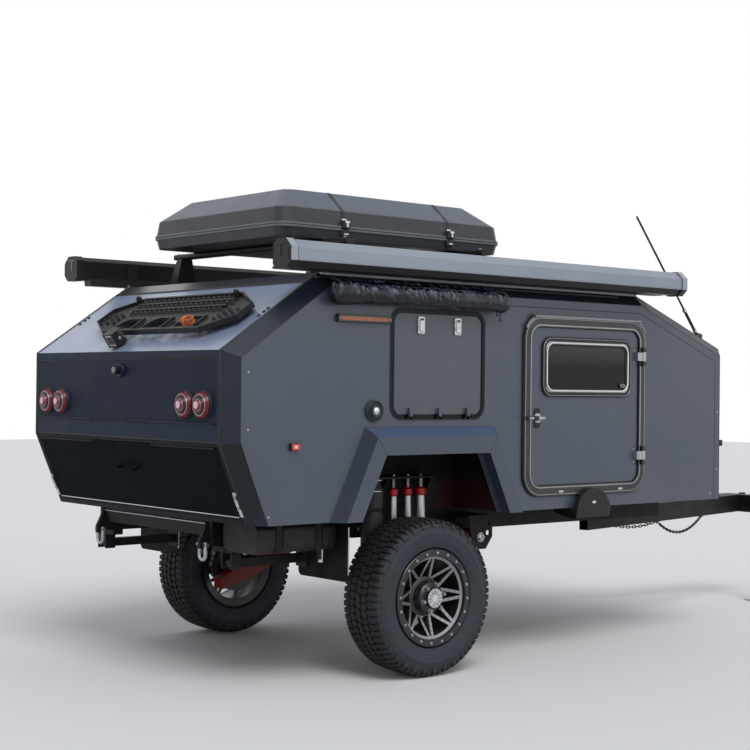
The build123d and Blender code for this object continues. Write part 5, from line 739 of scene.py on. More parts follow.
panel_slate = panel("panel_slate", PANEL_SLATE)
corner_slate = panel("corner_slate", CORNER_SLATE, 0.42, 0.0, 0.02, 0.28)
# Painted shade: the corner profiles below the rear face's foot, on the undercut, are painted darker.
under = corner_slate.times(corner_slate.along("Z", 1.2085, 1.2065), corner_slate.along("X", -2.50, -2.52))
corner_slate.tint(under, (0.0085, 0.0110, 0.0150))
# Painted reflection: the rear slope is painted pale sky-blue, the sky reflected in a slate panel that looks up;
# forward of the band, the top of the slope, the roof and the front slope are dark slate.
slope_painted_light = panel("slope_painted_light", (0.215, 0.265, 0.390), 0.34, 0.5)
SLOPE_BAND = -2.2010
slope_painted_light.tint(slope_painted_light.along("X", SLOPE_BAND - 0.0004, SLOPE_BAND + 0.0004), (0.024, 0.029, 0.040))
rear_slate = panel("rear_slate", REAR_SLATE, 0.46, 0.0, 0.0, 0.12)
rear_sill = panel("rear_sill", (0.010, 0.020, 0.040), 0.46, 0.0, 0.0, 0.14)
# Painted shade: the rear frame below its foot, on the undercut, is painted darker.
rear_sill.tint(rear_sill.along("Z", 1.2085, 1.2065), (0.0018, 0.0036, 0.0066))
# Painted light and shade: the flares are a lit and shaded copy of the body's slate, dark on their returns, paler on
# their outer face and painted pale blue where they face upwards.
flare_slate = panel("flare_slate", (0.021, 0.029, 0.048), 0.50, 0.0, 0.04, 0.20)
flare_slate.tint(flare_slate.grade(flare_slate.axis("Z", flare_slate.flat), 0.45, 0.60, 0.0, 0.8),
                 (0.072, 0.100, 0.180))
flare_slate.tint(flare_slate.grade(flare_slate.away("Y"), 1.0362, 1.0368), (0.078, 0.092, 0.116))
flare_slate.tint(flare_slate.times(flare_slate.rub(0.006, 0.99, 0.88), 0.45), (0.14, 0.165, 0.20))
# The rear flap's near-black finish is painted shade on the undercut, which faces the ground.
undercut_painted_shade = panel("undercut_painted_shade", UNDERCUT_PAINTED_SHADE, 0.55, 0.0, 0.0, 0.04)
dress(panel_slate, "front_wall")
dress(flare_slate, "arch_flares")
dress(corner_slate, "edge_trims")
dress(rear_sill, "rear_frame")
dress(slope_painted_light, "rear_slope", "roof_panel", "front_slope")
dress(rear_slate, "rear_door")
dress(undercut_painted_shade, "rear_flap")
arch_lining = coat("arch_lining", (0.0055, 0.0055, 0.0070), 0.6, Specular_IOR_Level=0.15).dust(0.7, 1.25, 0.12)
guard = arch_lining.times(arch_lining.along("X", -1.06, -1.00), arch_lining.along("Z", 1.02, 0.92))
arch_lining.tint(arch_lining.times(guard, 0.85), (0.045, 0.008, 0.010))
dress(arch_lining, "arch_boxes")


def inset(depth):
    """Corners of the body's side outline at a depth inside its skin, from the rear over the roof to the front."""
    lines = []
    for (x1, z1), (x2, z2) in zip(BODY_SKIN, BODY_SKIN[1:]):
        run = hypot(x2 - x1, z2 - z1)
        ox, oz = (z2 - z1) / run * depth, -(x2 - x1) / run * depth
        lines.append((Vector((x1 + ox, z1 + oz)), Vector((x2 + ox, z2 + oz))))
    found = [lines[0][0]]
    for (a, b), (c, d) in zip(lines, lines[1:]):
        p, q = b - a, d - c
        share = ((c - a).x * q.y - (c - a).y * q.x) / (p.x * q.y - p.y * q.x)
        found.append(a + p * share)
    found.append(lines[-1][1])
    return found


seam_rubber = Finish("seam_rubber", (0.006, 0.006, 0.007), 0.5)
seam_rubber.mottle(0.05, 3.0, 0.4, 0.7, 1.0, (0.014, 0.014, 0.015))
seam_rubber.relief(seam_rubber.cloud(0.004), 0.0002).roughness(seam_rubber.cloud(0.02), 0.4, 0.65)

SEAM_INSET = 0.112
seams, corner_seams, wide_seams, mitres = [], [], [], []
rim, edge = inset(SEAM_INSET), inset(CORNER)
flat = BODY_HALF - CORNER
for side in (-1, 1):
    y = side * (BODY_HALF - 0.0006)
    over = [(point.x, y, point.y) for point in rim[3:6]]
    seams.append([(rim[2].x + 0.62, y, over[0][2])] + over[1:] + [(rim[6].x, y, SIDE_FOOT)])
    path = [(point.x, side * (BODY_HALF + 0.0002), point.y) for point in edge]
    path[0] = (path[0][0] + 0.002, path[0][1], SIDE_FOOT)
    path[-1] = (path[-1][0], path[-1][1], SIDE_FOOT)
    corner_seams.append(path)
    for one, two in ((0, 1), (1, 2), (2, 3), (4, 5), (5, 6)):
        corner_seams.append([(x, side * flat, max(z, SIDE_FOOT)) for x, z in (BODY_SKIN[one], BODY_SKIN[two])])
    wide = zip(BODY_SKIN, (0.0015, 0.002, 0.002, 0.001), (0.828 - BODY_SKIN[0][1], 0.0, 0.0, -0.002))
    wide_seams.append([(x + dx, side * (flat - 0.009), z + dz) for (x, z), dx, dz in wide])
    for spot in range(1, 6):
        mitres.append([(BODY_SKIN[spot][0], side * flat, BODY_SKIN[spot][1]),
                       (edge[spot].x, side * BODY_HALF, edge[spot].y)])
wide_seams.append([(SLOPE_BAND, -0.895, 1.9883), (SLOPE_BAND, 0.895, 1.9883)])
for name, runs, radius, sides in (("panel_seams", seams, 0.0021, 6), ("corner_seams", corner_seams, 0.0016, 6),
                                  ("wide_seams", wide_seams, 0.0068, 10), ("corner_mitres", mitres, 0.0013, 6)):
    cording(name, runs, radius, seam_rubber, "trailer", "rubber", sides=sides)

# Arch flares: folded sheet surrounds bonded on, with mitred seams at the top corners and
# a bead of sealant where they meet the side.
ARCH_MIDDLE_X = -1.4355
ARCH_TOP, ARCH_HALF, ARCH_LEAN = 1.143, 0.358, 0.469
FLARE_FACE = 1.037


def arch_line(away, y):
    """The arch opening's outline, grown outwards by a distance, at one depth of the side."""
    top = ARCH_TOP + away
    shoulder = ARCH_HALF + away * (hypot(1.0, ARCH_LEAN) - ARCH_LEAN)
    base = shoulder + (top - SIDE_FOOT) * ARCH_LEAN
    corners = ((-base, SIDE_FOOT), (-shoulder, top), (shoulder, top), (base, SIDE_FOOT))
    return [(ARCH_MIDDLE_X + x, y, z) for x, z in corners]


flare_seams = []
for side in (-1, 1):
    outer, face = arch_line(0.139, side * (BODY_HALF + 0.0005)), arch_line(0.087, side * FLARE_FACE)
    inner = arch_line(0.002, side * FLARE_FACE)
    flare_seams.append(outer)
    for corner in (1, 2):
        flare_seams.append([outer[corner], face[corner], inner[corner]])
cording("flare_seams", flare_seams, 0.0013, seam_rubber, "trailer", "rubber", sides=6)

# Openings: dark metal frames bonded over black gaskets, with bright inner beads. The window
# rims are black outside and chromed inside, round dark glass with a black seal.
FRAME_FACE = 0.985
LEAF_FACE = 0.975


def side_place(side, x, z, out):
    """Where a moulding lies on one side of the body: its local Z faces outwards."""
    return Matrix(((-side, 0.0, 0.0, x), (0.0, 0.0, side, side * out), (0.0, 1.0, 0.0, z), (0.0, 0.0, 0.0, 1.0)))


def round_outline(half, corner, out=0.0, steps=9):
    """Points round a rectangle with rounded corners, grown outwards by a distance."""
    points = []
    for turn, (sx, sy) in enumerate(((1, 1), (-1, 1), (-1, -1), (1, -1))):
        for step in range(steps + 1):
            angle = (turn + step / steps) * pi / 2
            reach = corner + out
            points.append((sx * (half[0] - corner) + reach * cos(angle),
                           sy * (half[1] - corner) + reach * sin(angle)))
    return points


def strips(name, rows, finish, body, slot, smooth=38):
    """Closed strips round rounded rectangles, as one piece; rows: (place, half, corner, profile)."""
    shell = bmesh.new()
    for place, half, corner, profile in rows:
        rings = [[shell.verts.new(place @ Vector((x, y, up))) for x, y in round_outline(half, corner, out)]
                 for out, up in profile]
        skin(shell, rings, looped=True)
    return settled(name, closed_mesh(shell), finish.material, body, slot, smooth)


def band(inner, outer, tall, soft):
    """Profile of a flat strip with rounded shoulders."""
    return [(inner, 0.0), (inner, tall - soft), (inner + soft * 0.4, tall), (outer - soft * 0.4, tall),
            (outer, tall - soft), (outer, 0.0)]


def bead(middle, radius, base=0.0):
    """Profile of a half-round bead."""
    return [(middle + radius * cos(a), base + radius * sin(a)) for a in (pi * k / 6 for k in range(7))]


frame_bronze = Finish("frame_bronze", (0.070, 0.070, 0.074), 0.30, Metallic=0.85)
frame_bronze.mottle(0.06, 3.0, 0.4, 0.7, 0.5, (0.046, 0.045, 0.047))
frame_bronze.tint(frame_bronze.times(frame_bronze.rub(0.004), 0.7), (0.30, 0.29, 0.28))
frame_bronze.roughness(frame_bronze.cloud(0.03, 4.0), 0.22, 0.42).relief(frame_bronze.cloud(0.0025), 0.00008)
hatch_part = frame_bronze.along("X", -1.0, -1.01)
frame_bronze.tint(hatch_part, (0.014, 0.016, 0.020))
rail_part = frame_bronze.times(frame_bronze.along("Z", 1.8740, 1.8746), frame_bronze.other(hatch_part))
frame_bronze.tint(rail_part, (0.24, 0.255, 0.28))
dress(frame_bronze, "opening_frames")
chrome = Finish("chrome", (0.62, 0.62, 0.63), 0.12, Metallic=1.0)
chrome.mottle(0.03, 4.0, 0.5, 0.8, 0.5, (0.40, 0.41, 0.42))
chrome.roughness(chrome.cloud(0.02, 5.0), 0.06, 0.24).relief(chrome.cloud(0.004), 0.00006)
gasket = Finish("gasket", (0.007, 0.007, 0.008), 0.42)
gasket.mottle(0.04, 3.0, 0.4, 0.7, 1.0, (0.016, 0.016, 0.017))
gasket.relief(gasket.cells(0.0016), 0.00012).roughness(gasket.cloud(0.02), 0.34, 0.6)
rim_black = coat("rim_black", (0.012, 0.012, 0.013), 0.30)
bright_bead = Finish("bright_bead", (0.34, 0.34, 0.345), 0.26, Metallic=0.9)
bright_bead.mottle(0.30, 2.0, 0.4, 0.7, 0.5, (0.24, 0.24, 0.25))
bright_bead.roughness(bright_bead.cloud(0.20, 2.0), 0.18, 0.30).relief(bright_bead.cloud(0.020), 0.00004)

DOOR_PLACE, DOOR_LEAF, DOOR_FRAME = (-0.2745, 1.386), (0.440, 0.431), (0.498, 0.489)
WINDOW_PLACE, WINDOW_RIM, WINDOW_SIGHT = (-0.2675, 1.604), (0.3655, 0.1615), (0.3265, 0.1225)
HATCH_PLACE, HATCH_LEAF, HATCH_FRAME = (-1.3925, 1.601), (0.301, 0.256), (0.326, 0.281)
# Profiles round the glass: distance outside the sight line, height
SIGHT_CHROME = [(0.0035, 0.0), (0.0045, 0.0060), (0.009, 0.0078), (0.014, 0.0066), (0.0165, 0.0)]
SIGHT_SEAL = [(-0.0060, -0.010), (-0.0050, -0.002), (0.0, 0.0034), (0.0040, 0.0026), (0.0040, -0.002)]
body_gaskets, body_beads = [], []
for side, hand in HANDS:
    frame_place = side_place(side, *DOOR_PLACE, FRAME_FACE - 0.001)
    body_beads.append((frame_place, DOOR_FRAME, 0.120, band(-0.049, -0.0395, 0.0042, 0.003)))
    body_beads.append((frame_place, DOOR_FRAME, 0.120, band(-0.0085, -0.0030, 0.0030, 0.002)))
    for spot, out, half, corner, profile in (
        (DOOR_PLACE, BODY_HALF, DOOR_FRAME, 0.120, band(-0.002, 0.0075, 0.0125, 0.005)),
        (DOOR_PLACE, LEAF_FACE - 0.010, DOOR_LEAF, 0.062, band(0.0006, 0.0056, 0.0092, 0.002)),
        (HATCH_PLACE, BODY_HALF, HATCH_FRAME, 0.070, band(-0.001, 0.0045, 0.0045, 0.002)),
        (HATCH_PLACE, BODY_HALF - 0.006, HATCH_LEAF, 0.045, band(0.0005, 0.0052, 0.0058, 0.0015)),
    ):
        body_gaskets.append((side_place(side, *spot, out), half, corner, profile))
    window = side_place(side, *WINDOW_PLACE, FRAME_FACE - 0.002)
    foot = (side_place(side, *WINDOW_PLACE, LEAF_FACE), WINDOW_RIM, 0.062, band(-0.001, 0.0055, 0.0065, 0.004))
    strips("window_rim_" + hand, [(window, WINDOW_RIM, 0.062, band(-0.022, 0.0035, 0.0050, 0.0035)), foot],
           rim_black, "door_" + hand, "black_plastic")
    strips("window_line_" + hand, [(window, WINDOW_RIM, 0.062, bead(-0.0045, 0.0020, 0.0042))],
           bright_bead, "door_" + hand, "zinc")
    strips("window_chrome_" + hand, [(window, WINDOW_SIGHT, 0.0425, SIGHT_CHROME)],
           chrome, "door_" + hand, "zinc")
    strips("window_seal_" + hand, [(window, WINDOW_SIGHT, 0.0425, SIGHT_SEAL)],
           gasket, "door_" + hand, "rubber")
strips("opening_gaskets", body_gaskets, gasket, "trailer", "rubber")
strips("frame_beads", body_beads, bright_bead, "trailer", "frame_metal")
hoods, HOOD_CORNER, HOOD_REACH = [], 0.120, 0.126
hood_turn = []
for k in range(9):
    angle = radians(90 - 62 * k / 8)
    hood_turn.append((DOOR_FRAME[0] - HOOD_CORNER + HOOD_REACH * cos(angle),
                      DOOR_PLACE[1] + DOOR_FRAME[1] - HOOD_CORNER + HOOD_REACH * sin(angle)))
for side in (-1, 1):
    hoods.append([(DOOR_PLACE[0] - dx, side * 0.9880, z) for dx, z in reversed(hood_turn)]
                 + [(DOOR_PLACE[0] + dx, side * 0.9880, z) for dx, z in hood_turn])
hood_grey = coat("hood_grey", (0.20, 0.215, 0.24), 0.34)
cording("door_hoods", hoods, 0.0068, hood_grey, "trailer", "frame_metal", sides=10)


def proud_metal(name, paint, beyond, bright=(0.42, 0.43, 0.45), above=0.0):
    """Panel paint whose raised fittings, beyond a distance from the body's middle, are bare polished metal."""
    made = panel(name, paint)
    mask = made.times(made.grade(made.away("Y"), beyond, beyond + 0.0006), made.along("Z", above - 0.001, above))
    made.tint(mask, bright)
    made.tint(made.times(mask, made.patches(0.02, 4.0, 0.45, 0.75)), shade(bright, 0.55))
    return made.put("Metallic", made.times(mask, 0.95))


door_skin = proud_metal("door_skin", PANEL_SLATE, LEAF_FACE + 0.0012)
hatch_skin = proud_metal("hatch_skin", (0.052, 0.064, 0.082), BODY_HALF + 0.0012, (0.62, 0.64, 0.66), 1.60)
dress(door_skin, "door_right", "door_left")
dress(hatch_skin, "hatch_right", "hatch_left")

glass = Finish("tinted_glass", (0.0035, 0.0045, 0.0048), 0.05, Specular_IOR_Level=0.22)
# Painted reflection: the glass is painted paler towards its top.
glass.tint(glass.along("Z", 1.60, 1.73, 0.0, 0.8), (0.062, 0.058, 0.055))
glass.roughness(glass.cloud(0.08, 3.0), 0.03, 0.08).relief(glass.cloud(0.35, 1.0), 0.0010)
dress(glass, "window_right", "window_left")

# Small fittings of the doors and hatches: a black lever tip, the plate behind the lock,
# a grey catch at the glass's corner, dark holes in the hatch paddles, screws in the hinges.
HANDLE_HEIGHT = 1.322
HINGE_HEIGHTS = (1.103, 1.674)
PADDLES = [HATCH_PLACE[0] + 0.1275 * s for s in (-1, 1)]
for side, hand in HANDS:
    shell = bmesh.new()
    bmesh.ops.create_cone(shell, cap_ends=True, segments=20, radius1=0.0125, radius2=0.0115, depth=0.034)
    rims = [edge for edge in shell.edges if edge.calc_face_angle(0.0) > 1.0]
    bmesh.ops.bevel(shell, geom=rims, offset=0.003, segments=3, affect="EDGES")
    lever = Matrix.Rotation(radians(90), 4, "Y") @ Matrix.Diagonal((1.05, 0.85, 1.0, 1.0))
    laid(shell, Matrix.Translation((-0.7165, side * 1.0175, HANDLE_HEIGHT)) @ lever)
    settled("handle_tip_" + hand, plain_mesh(shell), rim_black.material, "door_" + hand, "black_plastic")
    plate = (side_place(side, -0.6685, HANDLE_HEIGHT, LEAF_FACE), (0.024, 0.055), 0.020,
             band(-0.0195, 0.0, 0.004, 0.0025))
    strips("handle_plate_" + hand, [plate], rim_black, "door_" + hand, "black_plastic")
    catch = (side_place(side, 0.020, 1.505, FRAME_FACE - 0.004), (0.017, 0.011), 0.008,
             band(-0.0079, 0.0, 0.011, 0.004))
    strips("glass_catch_" + hand, [catch], bright_bead, "door_" + hand, "zinc", smooth=None)
    holes = [(side_place(side, x, 1.829, 0.9845), (0.0085, 0.0062), 0.006, band(-0.0058, 0.0, 0.0026, 0.001))
             for x in PADDLES]
    strips("latch_holes_" + hand, holes, rim_black, "hatch_" + hand, "black_plastic")
    facing = (0.0, float(side), 0.0)
    hinge_screws = [((0.1385, side * (LEAF_FACE + 0.0005), z + dz), facing) for z in HINGE_HEIGHTS
                    for dz in (-0.036, 0.036)]
    fasteners("door_hinge_screws_" + hand, hinge_screws, 0.0048, 0.003, bolt_steel, "door_" + hand, sides=8)
    fasteners("hatch_screws_" + hand, [((x, side * 0.9862, 1.764), facing) for x in PADDLES],
              0.0036, 0.0022, bolt_steel, "hatch_" + hand, sides=8)

# Rear end: the drop-down door lies in a black seal and opens by a pull with a steel knob, the
# flap under it has a bright lower edge, and chromed draw latches stand at its two corners.
REAR_FACE = -2.6975
REAR_DOOR_MIDDLE, REAR_DOOR_HALF = (0.0, 1.454), (0.870, 0.151)
PULL_AT = (0.0, 1.553)


def rear_place(y, z, x):
    """Where a moulding lies on the rear end: its local Z faces backwards."""
    return Matrix(((0.0, 0.0, -1.0, x), (-1.0, 0.0, 0.0, y), (0.0, 1.0, 0.0, z), (0.0, 0.0, 0.0, 1.0)))


strips("rear_door_seal", [(rear_place(*REAR_DOOR_MIDDLE, REAR_FACE + 0.006), REAR_DOOR_HALF, 0.004,
                           band(0.0006, 0.0052, 0.0072, 0.002))],
       gasket, "trailer", "rubber")
strips("pull_ring", [(rear_place(*PULL_AT, REAR_FACE - 0.0105), (0.030, 0.030), 0.030, bead(0.0, 0.0042)),
                     (rear_place(*PULL_AT, -2.7320), (0.0170, 0.0170), 0.0170, bead(0.0, 0.0030))],
       rim_black, "rear_door", "black_plastic")
pull_metal = Finish("pull_metal", (0.20, 0.21, 0.23), 0.28, Metallic=0.9).soft_edges(0.001)
pull_metal.mottle(0.01, 3.0, 0.4, 0.7, 0.5, (0.10, 0.105, 0.115))
pull_metal.relief(pull_metal.cloud(0.003), 0.00005)
shell, rings = bmesh.new(), []
for reach, out in ((0.0185, 0.0), (0.0195, 0.004), (0.0180, 0.009), (0.0130, 0.0105)):
    angles = [2 * pi * k / 28 for k in range(28)]
    rings.append([shell.verts.new((-2.7322 - out, reach * cos(a), PULL_AT[1] + reach * sin(a))) for a in angles])
shell.faces.new(rings[0])
skin(shell, rings)
shell.faces.new(list(reversed(rings[-1])))
settled("pull_knob", closed_mesh(shell), pull_metal.material, "rear_door", "black_plastic", smooth=35)

UNDERCUT_TOP, UNDERCUT_FOOT = Vector((-2.6975, 0.0, 1.2075)), Vector((-2.5365, 0.0, 0.820))
UNDERCUT_OUT = Vector((UNDERCUT_FOOT.z - UNDERCUT_TOP.z, 0.0, UNDERCUT_FOOT.x - UNDERCUT_TOP.x)).normalized()


def undercut(drop, y, out=0.0):
    """A point on the sloping undercut, a share of the way down it, standing out by a distance."""
    spot = UNDERCUT_TOP.lerp(UNDERCUT_FOOT, drop) + UNDERCUT_OUT * out
    return (spot.x, y, spot.z)


flap_outline = [undercut(drop, y, 0.0004) for drop, y in
                ((0.030, -0.872), (0.030, 0.872), (0.930, 0.872), (0.930, -0.872), (0.030, -0.872))]
sill_line = [(REAR_FACE - 0.0006, y, 1.213) for y in (-0.901, 0.901)]
cording("undercut_seams", [flap_outline, sill_line], 0.0026, seam_rubber, "trailer", "rubber", sides=6)
cording("flap_edge", [[undercut(0.905, y, 0.0016) for y in (-0.860, 0.860)]], 0.0034, trim_steel, "rear_flap", "zinc")
cording("rear_beam_edge", [[(-2.4940, y, 0.8010) for y in (-0.488, 0.488)]], 0.0045, trim_steel, "trailer", "zinc")

LATCH_ACROSS = 0.885
# Blocks of a draw latch, as (low, high) up the undercut, half width, height over it, thickness
LATCH_BLOCKS = ((0.0, 0.045, 0.013, 0.0, 0.006), (0.050, 0.088, 0.010, 0.006, 0.007),
                (0.110, 0.128, 0.014, 0.0, 0.008))
foot, top = Vector(undercut(0.90, 0.0)), Vector(undercut(0.62, 0.0))
along = (top - foot).normalized()
turn = Matrix(((0.0, along.x, UNDERCUT_OUT.x, 0.0), (-1.0, along.y, UNDERCUT_OUT.y, 0.0),
               (0.0, along.z, UNDERCUT_OUT.z, 0.0), (0.0, 0.0, 0.0, 1.0)))
for side, hand in HANDS:
    latch_place = Matrix.Translation((foot.x, side * LATCH_ACROSS, foot.z)) @ turn
    shell = bmesh.new()
    for low, high, half, out, thick in LATCH_BLOCKS:
        box = bmesh.ops.create_cube(shell, size=1.0)["verts"]
        size = Matrix.Diagonal((2 * half, high - low, thick, 1.0))
        lift = Matrix.Translation((0.0, (low + high) / 2, out + thick / 2))
        bmesh.ops.transform(shell, verts=box, matrix=lift @ size)
    bmesh.ops.bevel(shell, geom=shell.edges[:], offset=0.0022, segments=2, affect="EDGES")
    settled("draw_latch_" + hand, plain_mesh(laid(shell, latch_place)), chrome.material, "trailer", "zinc", smooth=40)
    wire_runs = []
    for dx in (-0.008, 0.008):
        base, tip = Vector((dx, 0.030, 0.008)), Vector((dx * 0.6, 0.119, 0.012))
        bow = (base + tip) / 2 + Vector((0, 0, 0.004))
        wire_runs.append([tuple(latch_place @ point) for point in (base, bow, tip)])
    cording("latch_wires_" + hand, wire_runs, 0.0022, chrome, "trailer", "zinc")

# Tail lamps: red lenses in two rings round a pale ring, with a cluster of small lights in
# the middle and a black rubber foot. Each stands on the door with its cup.
LAMP_HEIGHT, LAMP_PLACES = 1.388, (-0.758, -0.604, 0.604, 0.758)
lens = Finish("lamp_lens", (0.15, 0.003, 0.012), 0.20, Specular_IOR_Level=0.30, Coat_Weight=0.05, Coat_Roughness=0.06)
fold = lens.sum("ABSOLUTE", lens.sum("SUBTRACT", lens.away("Y"), 0.681))
across, up = lens.sum("SUBTRACT", fold, 0.077), lens.sum("SUBTRACT", lens.axis("Z"), LAMP_HEIGHT)
reach = lens.sum("SQRT", lens.sum("ADD", lens.times(across, across), lens.times(up, up)))
lens.tint(lens.pebbles(0.009, 0.1, 0.5, 0.0, 0.35), (0.20, 0.006, 0.018))
lens.tint(lens.grade(reach, 0.0485, 0.0475), (0.055, 0.002, 0.006))
lens.tint(lens.grade(reach, 0.0245, 0.0235), (0.26, 0.02, 0.04))
lens.tint(lens.grade(reach, 0.0182, 0.0176), (0.80, 0.66, 0.70))
lens.tint(lens.grade(reach, 0.0640, 0.0650), (0.020, 0.008, 0.010))
lens.relief(lens.cells(0.0045), 0.0006).roughness(lens.cloud(0.02), 0.08, 0.22)
dress(lens, "tail_lamps")
LAMP_FOOT = [(-0.001, 0.0), (-0.001, 0.0045), (0.0020, 0.0042), (0.0040, 0.0022), (0.0045, 0.0)]
lamp_rings, lamp_feet, lights = [], [], []
for y in LAMP_PLACES:
    for x, ring, wire in ((-2.7235, 0.0495, 0.0024), (-2.7315, 0.0262, 0.0018)):
        lamp_rings.append((rear_place(y, LAMP_HEIGHT, x), (ring, ring), ring, bead(0.0, wire)))
    lamp_feet.append((rear_place(y, LAMP_HEIGHT, -2.6980), (0.066, 0.066), 0.066, LAMP_FOOT))
    spots = [(y, LAMP_HEIGHT)]
    spots += [(y + 0.0115 * cos(2 * pi * k / 6), LAMP_HEIGHT + 0.0115 * sin(2 * pi * k / 6)) for k in range(6)]
    lights += [((-2.7395, *spot), (-1.0, 0.0, 0.0)) for spot in spots]
strips("lamp_rings", lamp_rings, bright_bead, "rear_door", "zinc")
strips("lamp_feet", lamp_feet, gasket, "rear_door", "rubber")
lamp_bulb = Finish("lamp_bulb", (0.88, 0.76, 0.76), 0.14, Coat_Weight=0.6)
lamp_bulb.mottle(0.004, 2.0, 0.4, 0.7, 0.5, (0.75, 0.50, 0.48))
lamp_bulb.relief(lamp_bulb.cells(0.002), 0.0002)
fasteners("lamp_lights", lights, 0.0030, 0.0030, lamp_bulb, "rear_door", "lens_red", sides=10)

# Side lights: slim amber strips in black housings by the hatches and small marker lamps.
# One lens finish serves both and keeps the housings black round the lit part.
amber = Finish("side_lens", (0.012, 0.012, 0.013), 0.30, Coat_Weight=0.4, Coat_Roughness=0.15)
strip_lit = amber.times(amber.grade(amber.away("Z", 1.818), 0.0100, 0.0090),
                        amber.grade(amber.away("X", -1.9025), 0.150, 0.147))
amber.tint(strip_lit, (0.21, 0.050, 0.014))
amber.tint(amber.times(strip_lit, amber.pebbles(0.010, 0.2, 0.55)), (0.38, 0.11, 0.035))
low, near = amber.away("Z", 1.192), amber.away("X", -2.3225)
marker_lit = amber.times(amber.grade(low, 0.0150, 0.0140), amber.grade(near, 0.0245, 0.0235))
amber.tint(marker_lit, (0.50, 0.050, 0.030))
amber.tint(amber.times(amber.grade(low, 0.0075, 0.0060), amber.grade(near, 0.0100, 0.0085)), (0.88, 0.62, 0.52))
amber.relief(amber.cells(0.004), 0.0004).roughness(amber.cloud(0.02), 0.14, 0.34)
dress(amber, "side_lights")
PANEL_SCREWS = ((-2.590, 1.545), (-2.590, 1.275), (-2.466, 0.862), (0.922, 1.000), (0.922, 1.350), (0.86, 0.856),
                (-0.86, 0.856))
side_screws = []
for side in (-1, 1):
    side_screws += [((x, side * 0.9905, 1.818), (0.0, side, 0.0)) for x in (-2.062, -1.743)]
    side_screws += [((x, side * (BODY_HALF + 0.0003), z), (0.0, side, 0.0)) for x, z in PANEL_SCREWS]
fasteners("side_screws", side_screws, 0.0052, 0.0030, bolt_steel, "trailer", sides=8)

# Power inlet: a black round cover with black rings and a chromed dome in its
# middle. It is screwed to the right side.
INLET_PLACE = (-1.8275, 1.363)
inlet_black = coat("inlet_black", (0.034, 0.042, 0.052), 0.34)
dress(inlet_black, "power_inlet")
strips("inlet_ring", [(side_place(-1, *INLET_PLACE, 0.9850), (0.0455, 0.0455), 0.0455, bead(0.0, 0.0042)),
                      (side_place(-1, *INLET_PLACE, 0.9940), (0.0315, 0.0315), 0.0315, bead(0.0, 0.0030))],
       rim_black, "trailer", "black_plastic")
strips("inlet_middle", [(side_place(-1, *INLET_PLACE, 0.9948), (0.0175, 0.0175), 0.0175,
                         [(-0.0170, 0.0050), (-0.0120, 0.0046), (-0.0060, 0.0034), (0.0, 0.0014), (0.0014, 0.0)])],
       chrome, "trailer", "zinc")

# Antenna: a glossy black whip on a sprung foot with a bright clamp and a rubber pad.
# It is screwed to the front slope and leans back.
dress(rim_black, "antenna")
ANTENNA_FOOT, ANTENNA_AIM = Vector((0.8715, -0.85, 1.822)), Vector((-sin(radians(40)), 0.0, cos(radians(40))))
for name, spans, radius, finish, slot, sides in (
    ("antenna_collars", ((0.028, 0.045), (0.186, 0.204)), 0.0125, chrome, "zinc", 20),
    ("antenna_sleeve", ((0.205, 0.893),), 0.0062, rim_black, "black_plastic", 10),
):
    runs = [[tuple(ANTENNA_FOOT + ANTENNA_AIM * along) for along in span] for span in spans]
    cording(name, runs, radius, finish, "trailer", slot, sides=sides)

# Work light: black ribbed housing between bracket arms with a clear lens over six lights,
# which looks back over the camp. It is bolted to the foot of the slope.
light_black = coat("light_black", (0.011, 0.011, 0.012), 0.42)
dress(light_black, "work_light")
SLOPE_UP = Vector((0.567, 0.0, 0.390)).normalized()
SLOPE_OUT = Vector((-SLOPE_UP.z, 0.0, SLOPE_UP.x))


def slope(x, up, out):
    """A point on the rear slope: across, up the slope and out from it."""
    return Vector((-2.6975, 0.0, 1.648)) + Vector((0.0, -x, 0.0)) + SLOPE_UP * up + SLOPE_OUT * out


lens_turn = Matrix(((0.0, SLOPE_OUT.x, -SLOPE_UP.x, 0.0), (-1.0, 0.0, 0.0, 0.0), (0.0, SLOPE_OUT.z, -SLOPE_UP.z, 0.0),
                    (0.0, 0.0, 0.0, 1.0)))
lens_spot = slope(-0.100, 0.0281, 0.048)
lens_clear = Finish("lens_clear", (0.55, 0.58, 0.62), 0.08, Coat_Weight=1.0, Coat_Roughness=0.03)
lens_clear.tint(lens_clear.pebbles(0.022, 0.35, 0.62), (0.07, 0.075, 0.085))
lens_clear.tint(lens_clear.pebbles(0.006, 0.1, 0.5, 0.0, 0.4), (0.80, 0.83, 0.88))
lens_clear.relief(lens_clear.cells(0.010), 0.0008)
PANE = [(-0.0066, 0.0010), (-0.004, 0.0013), (0.0, 0.0008), (0.0004, -0.002), (-0.0066, -0.002)]
strips("work_light_lens", [(Matrix.Translation(lens_spot) @ lens_turn, (0.0335, 0.0295), 0.007, PANE)],
       lens_clear, "trailer", "glass_dark")
light_bolts = [(tuple(slope(-0.100 + s * 0.0465, 0.061, 0.045)), (0.0, -s, 0.0)) for s in (-1, 1)]
fasteners("light_bolts", light_bolts, 0.0075, 0.006, bolt_steel, "trailer")
slope_plugs = [(tuple(slope(s * 0.858, up, 0.0004)), tuple(SLOPE_OUT)) for s in (-1, 1)
               for up in (0.296, 0.332, 0.362)]
fasteners("slope_plugs", slope_plugs, 0.0085, 0.005, rim_black, "trailer", "black_plastic", sides=12)

# Roof bars and brackets: black coated steel that carries the case and the awnings, with
# bolt heads on their feet.
rack_black = coat("rack_black", (0.012, 0.0125, 0.0135), 0.38)
dress(rack_black, "roof_bars", "awning_brackets")
bracket_bolts = []
for side in (-1, 1):
    bracket_bolts += [((x, side * 0.845, 2.0425), (0.0, 0.0, 1.0)) for x in (-2.150, -1.070, -0.005)]
    bracket_bolts += [((x, side * 0.770, 2.2402), (0.0, 0.0, 1.0)) for x in (-1.862, -0.912)]
fasteners("rack_bolts", bracket_bolts, 0.0065, 0.005, bolt_steel, "trailer")

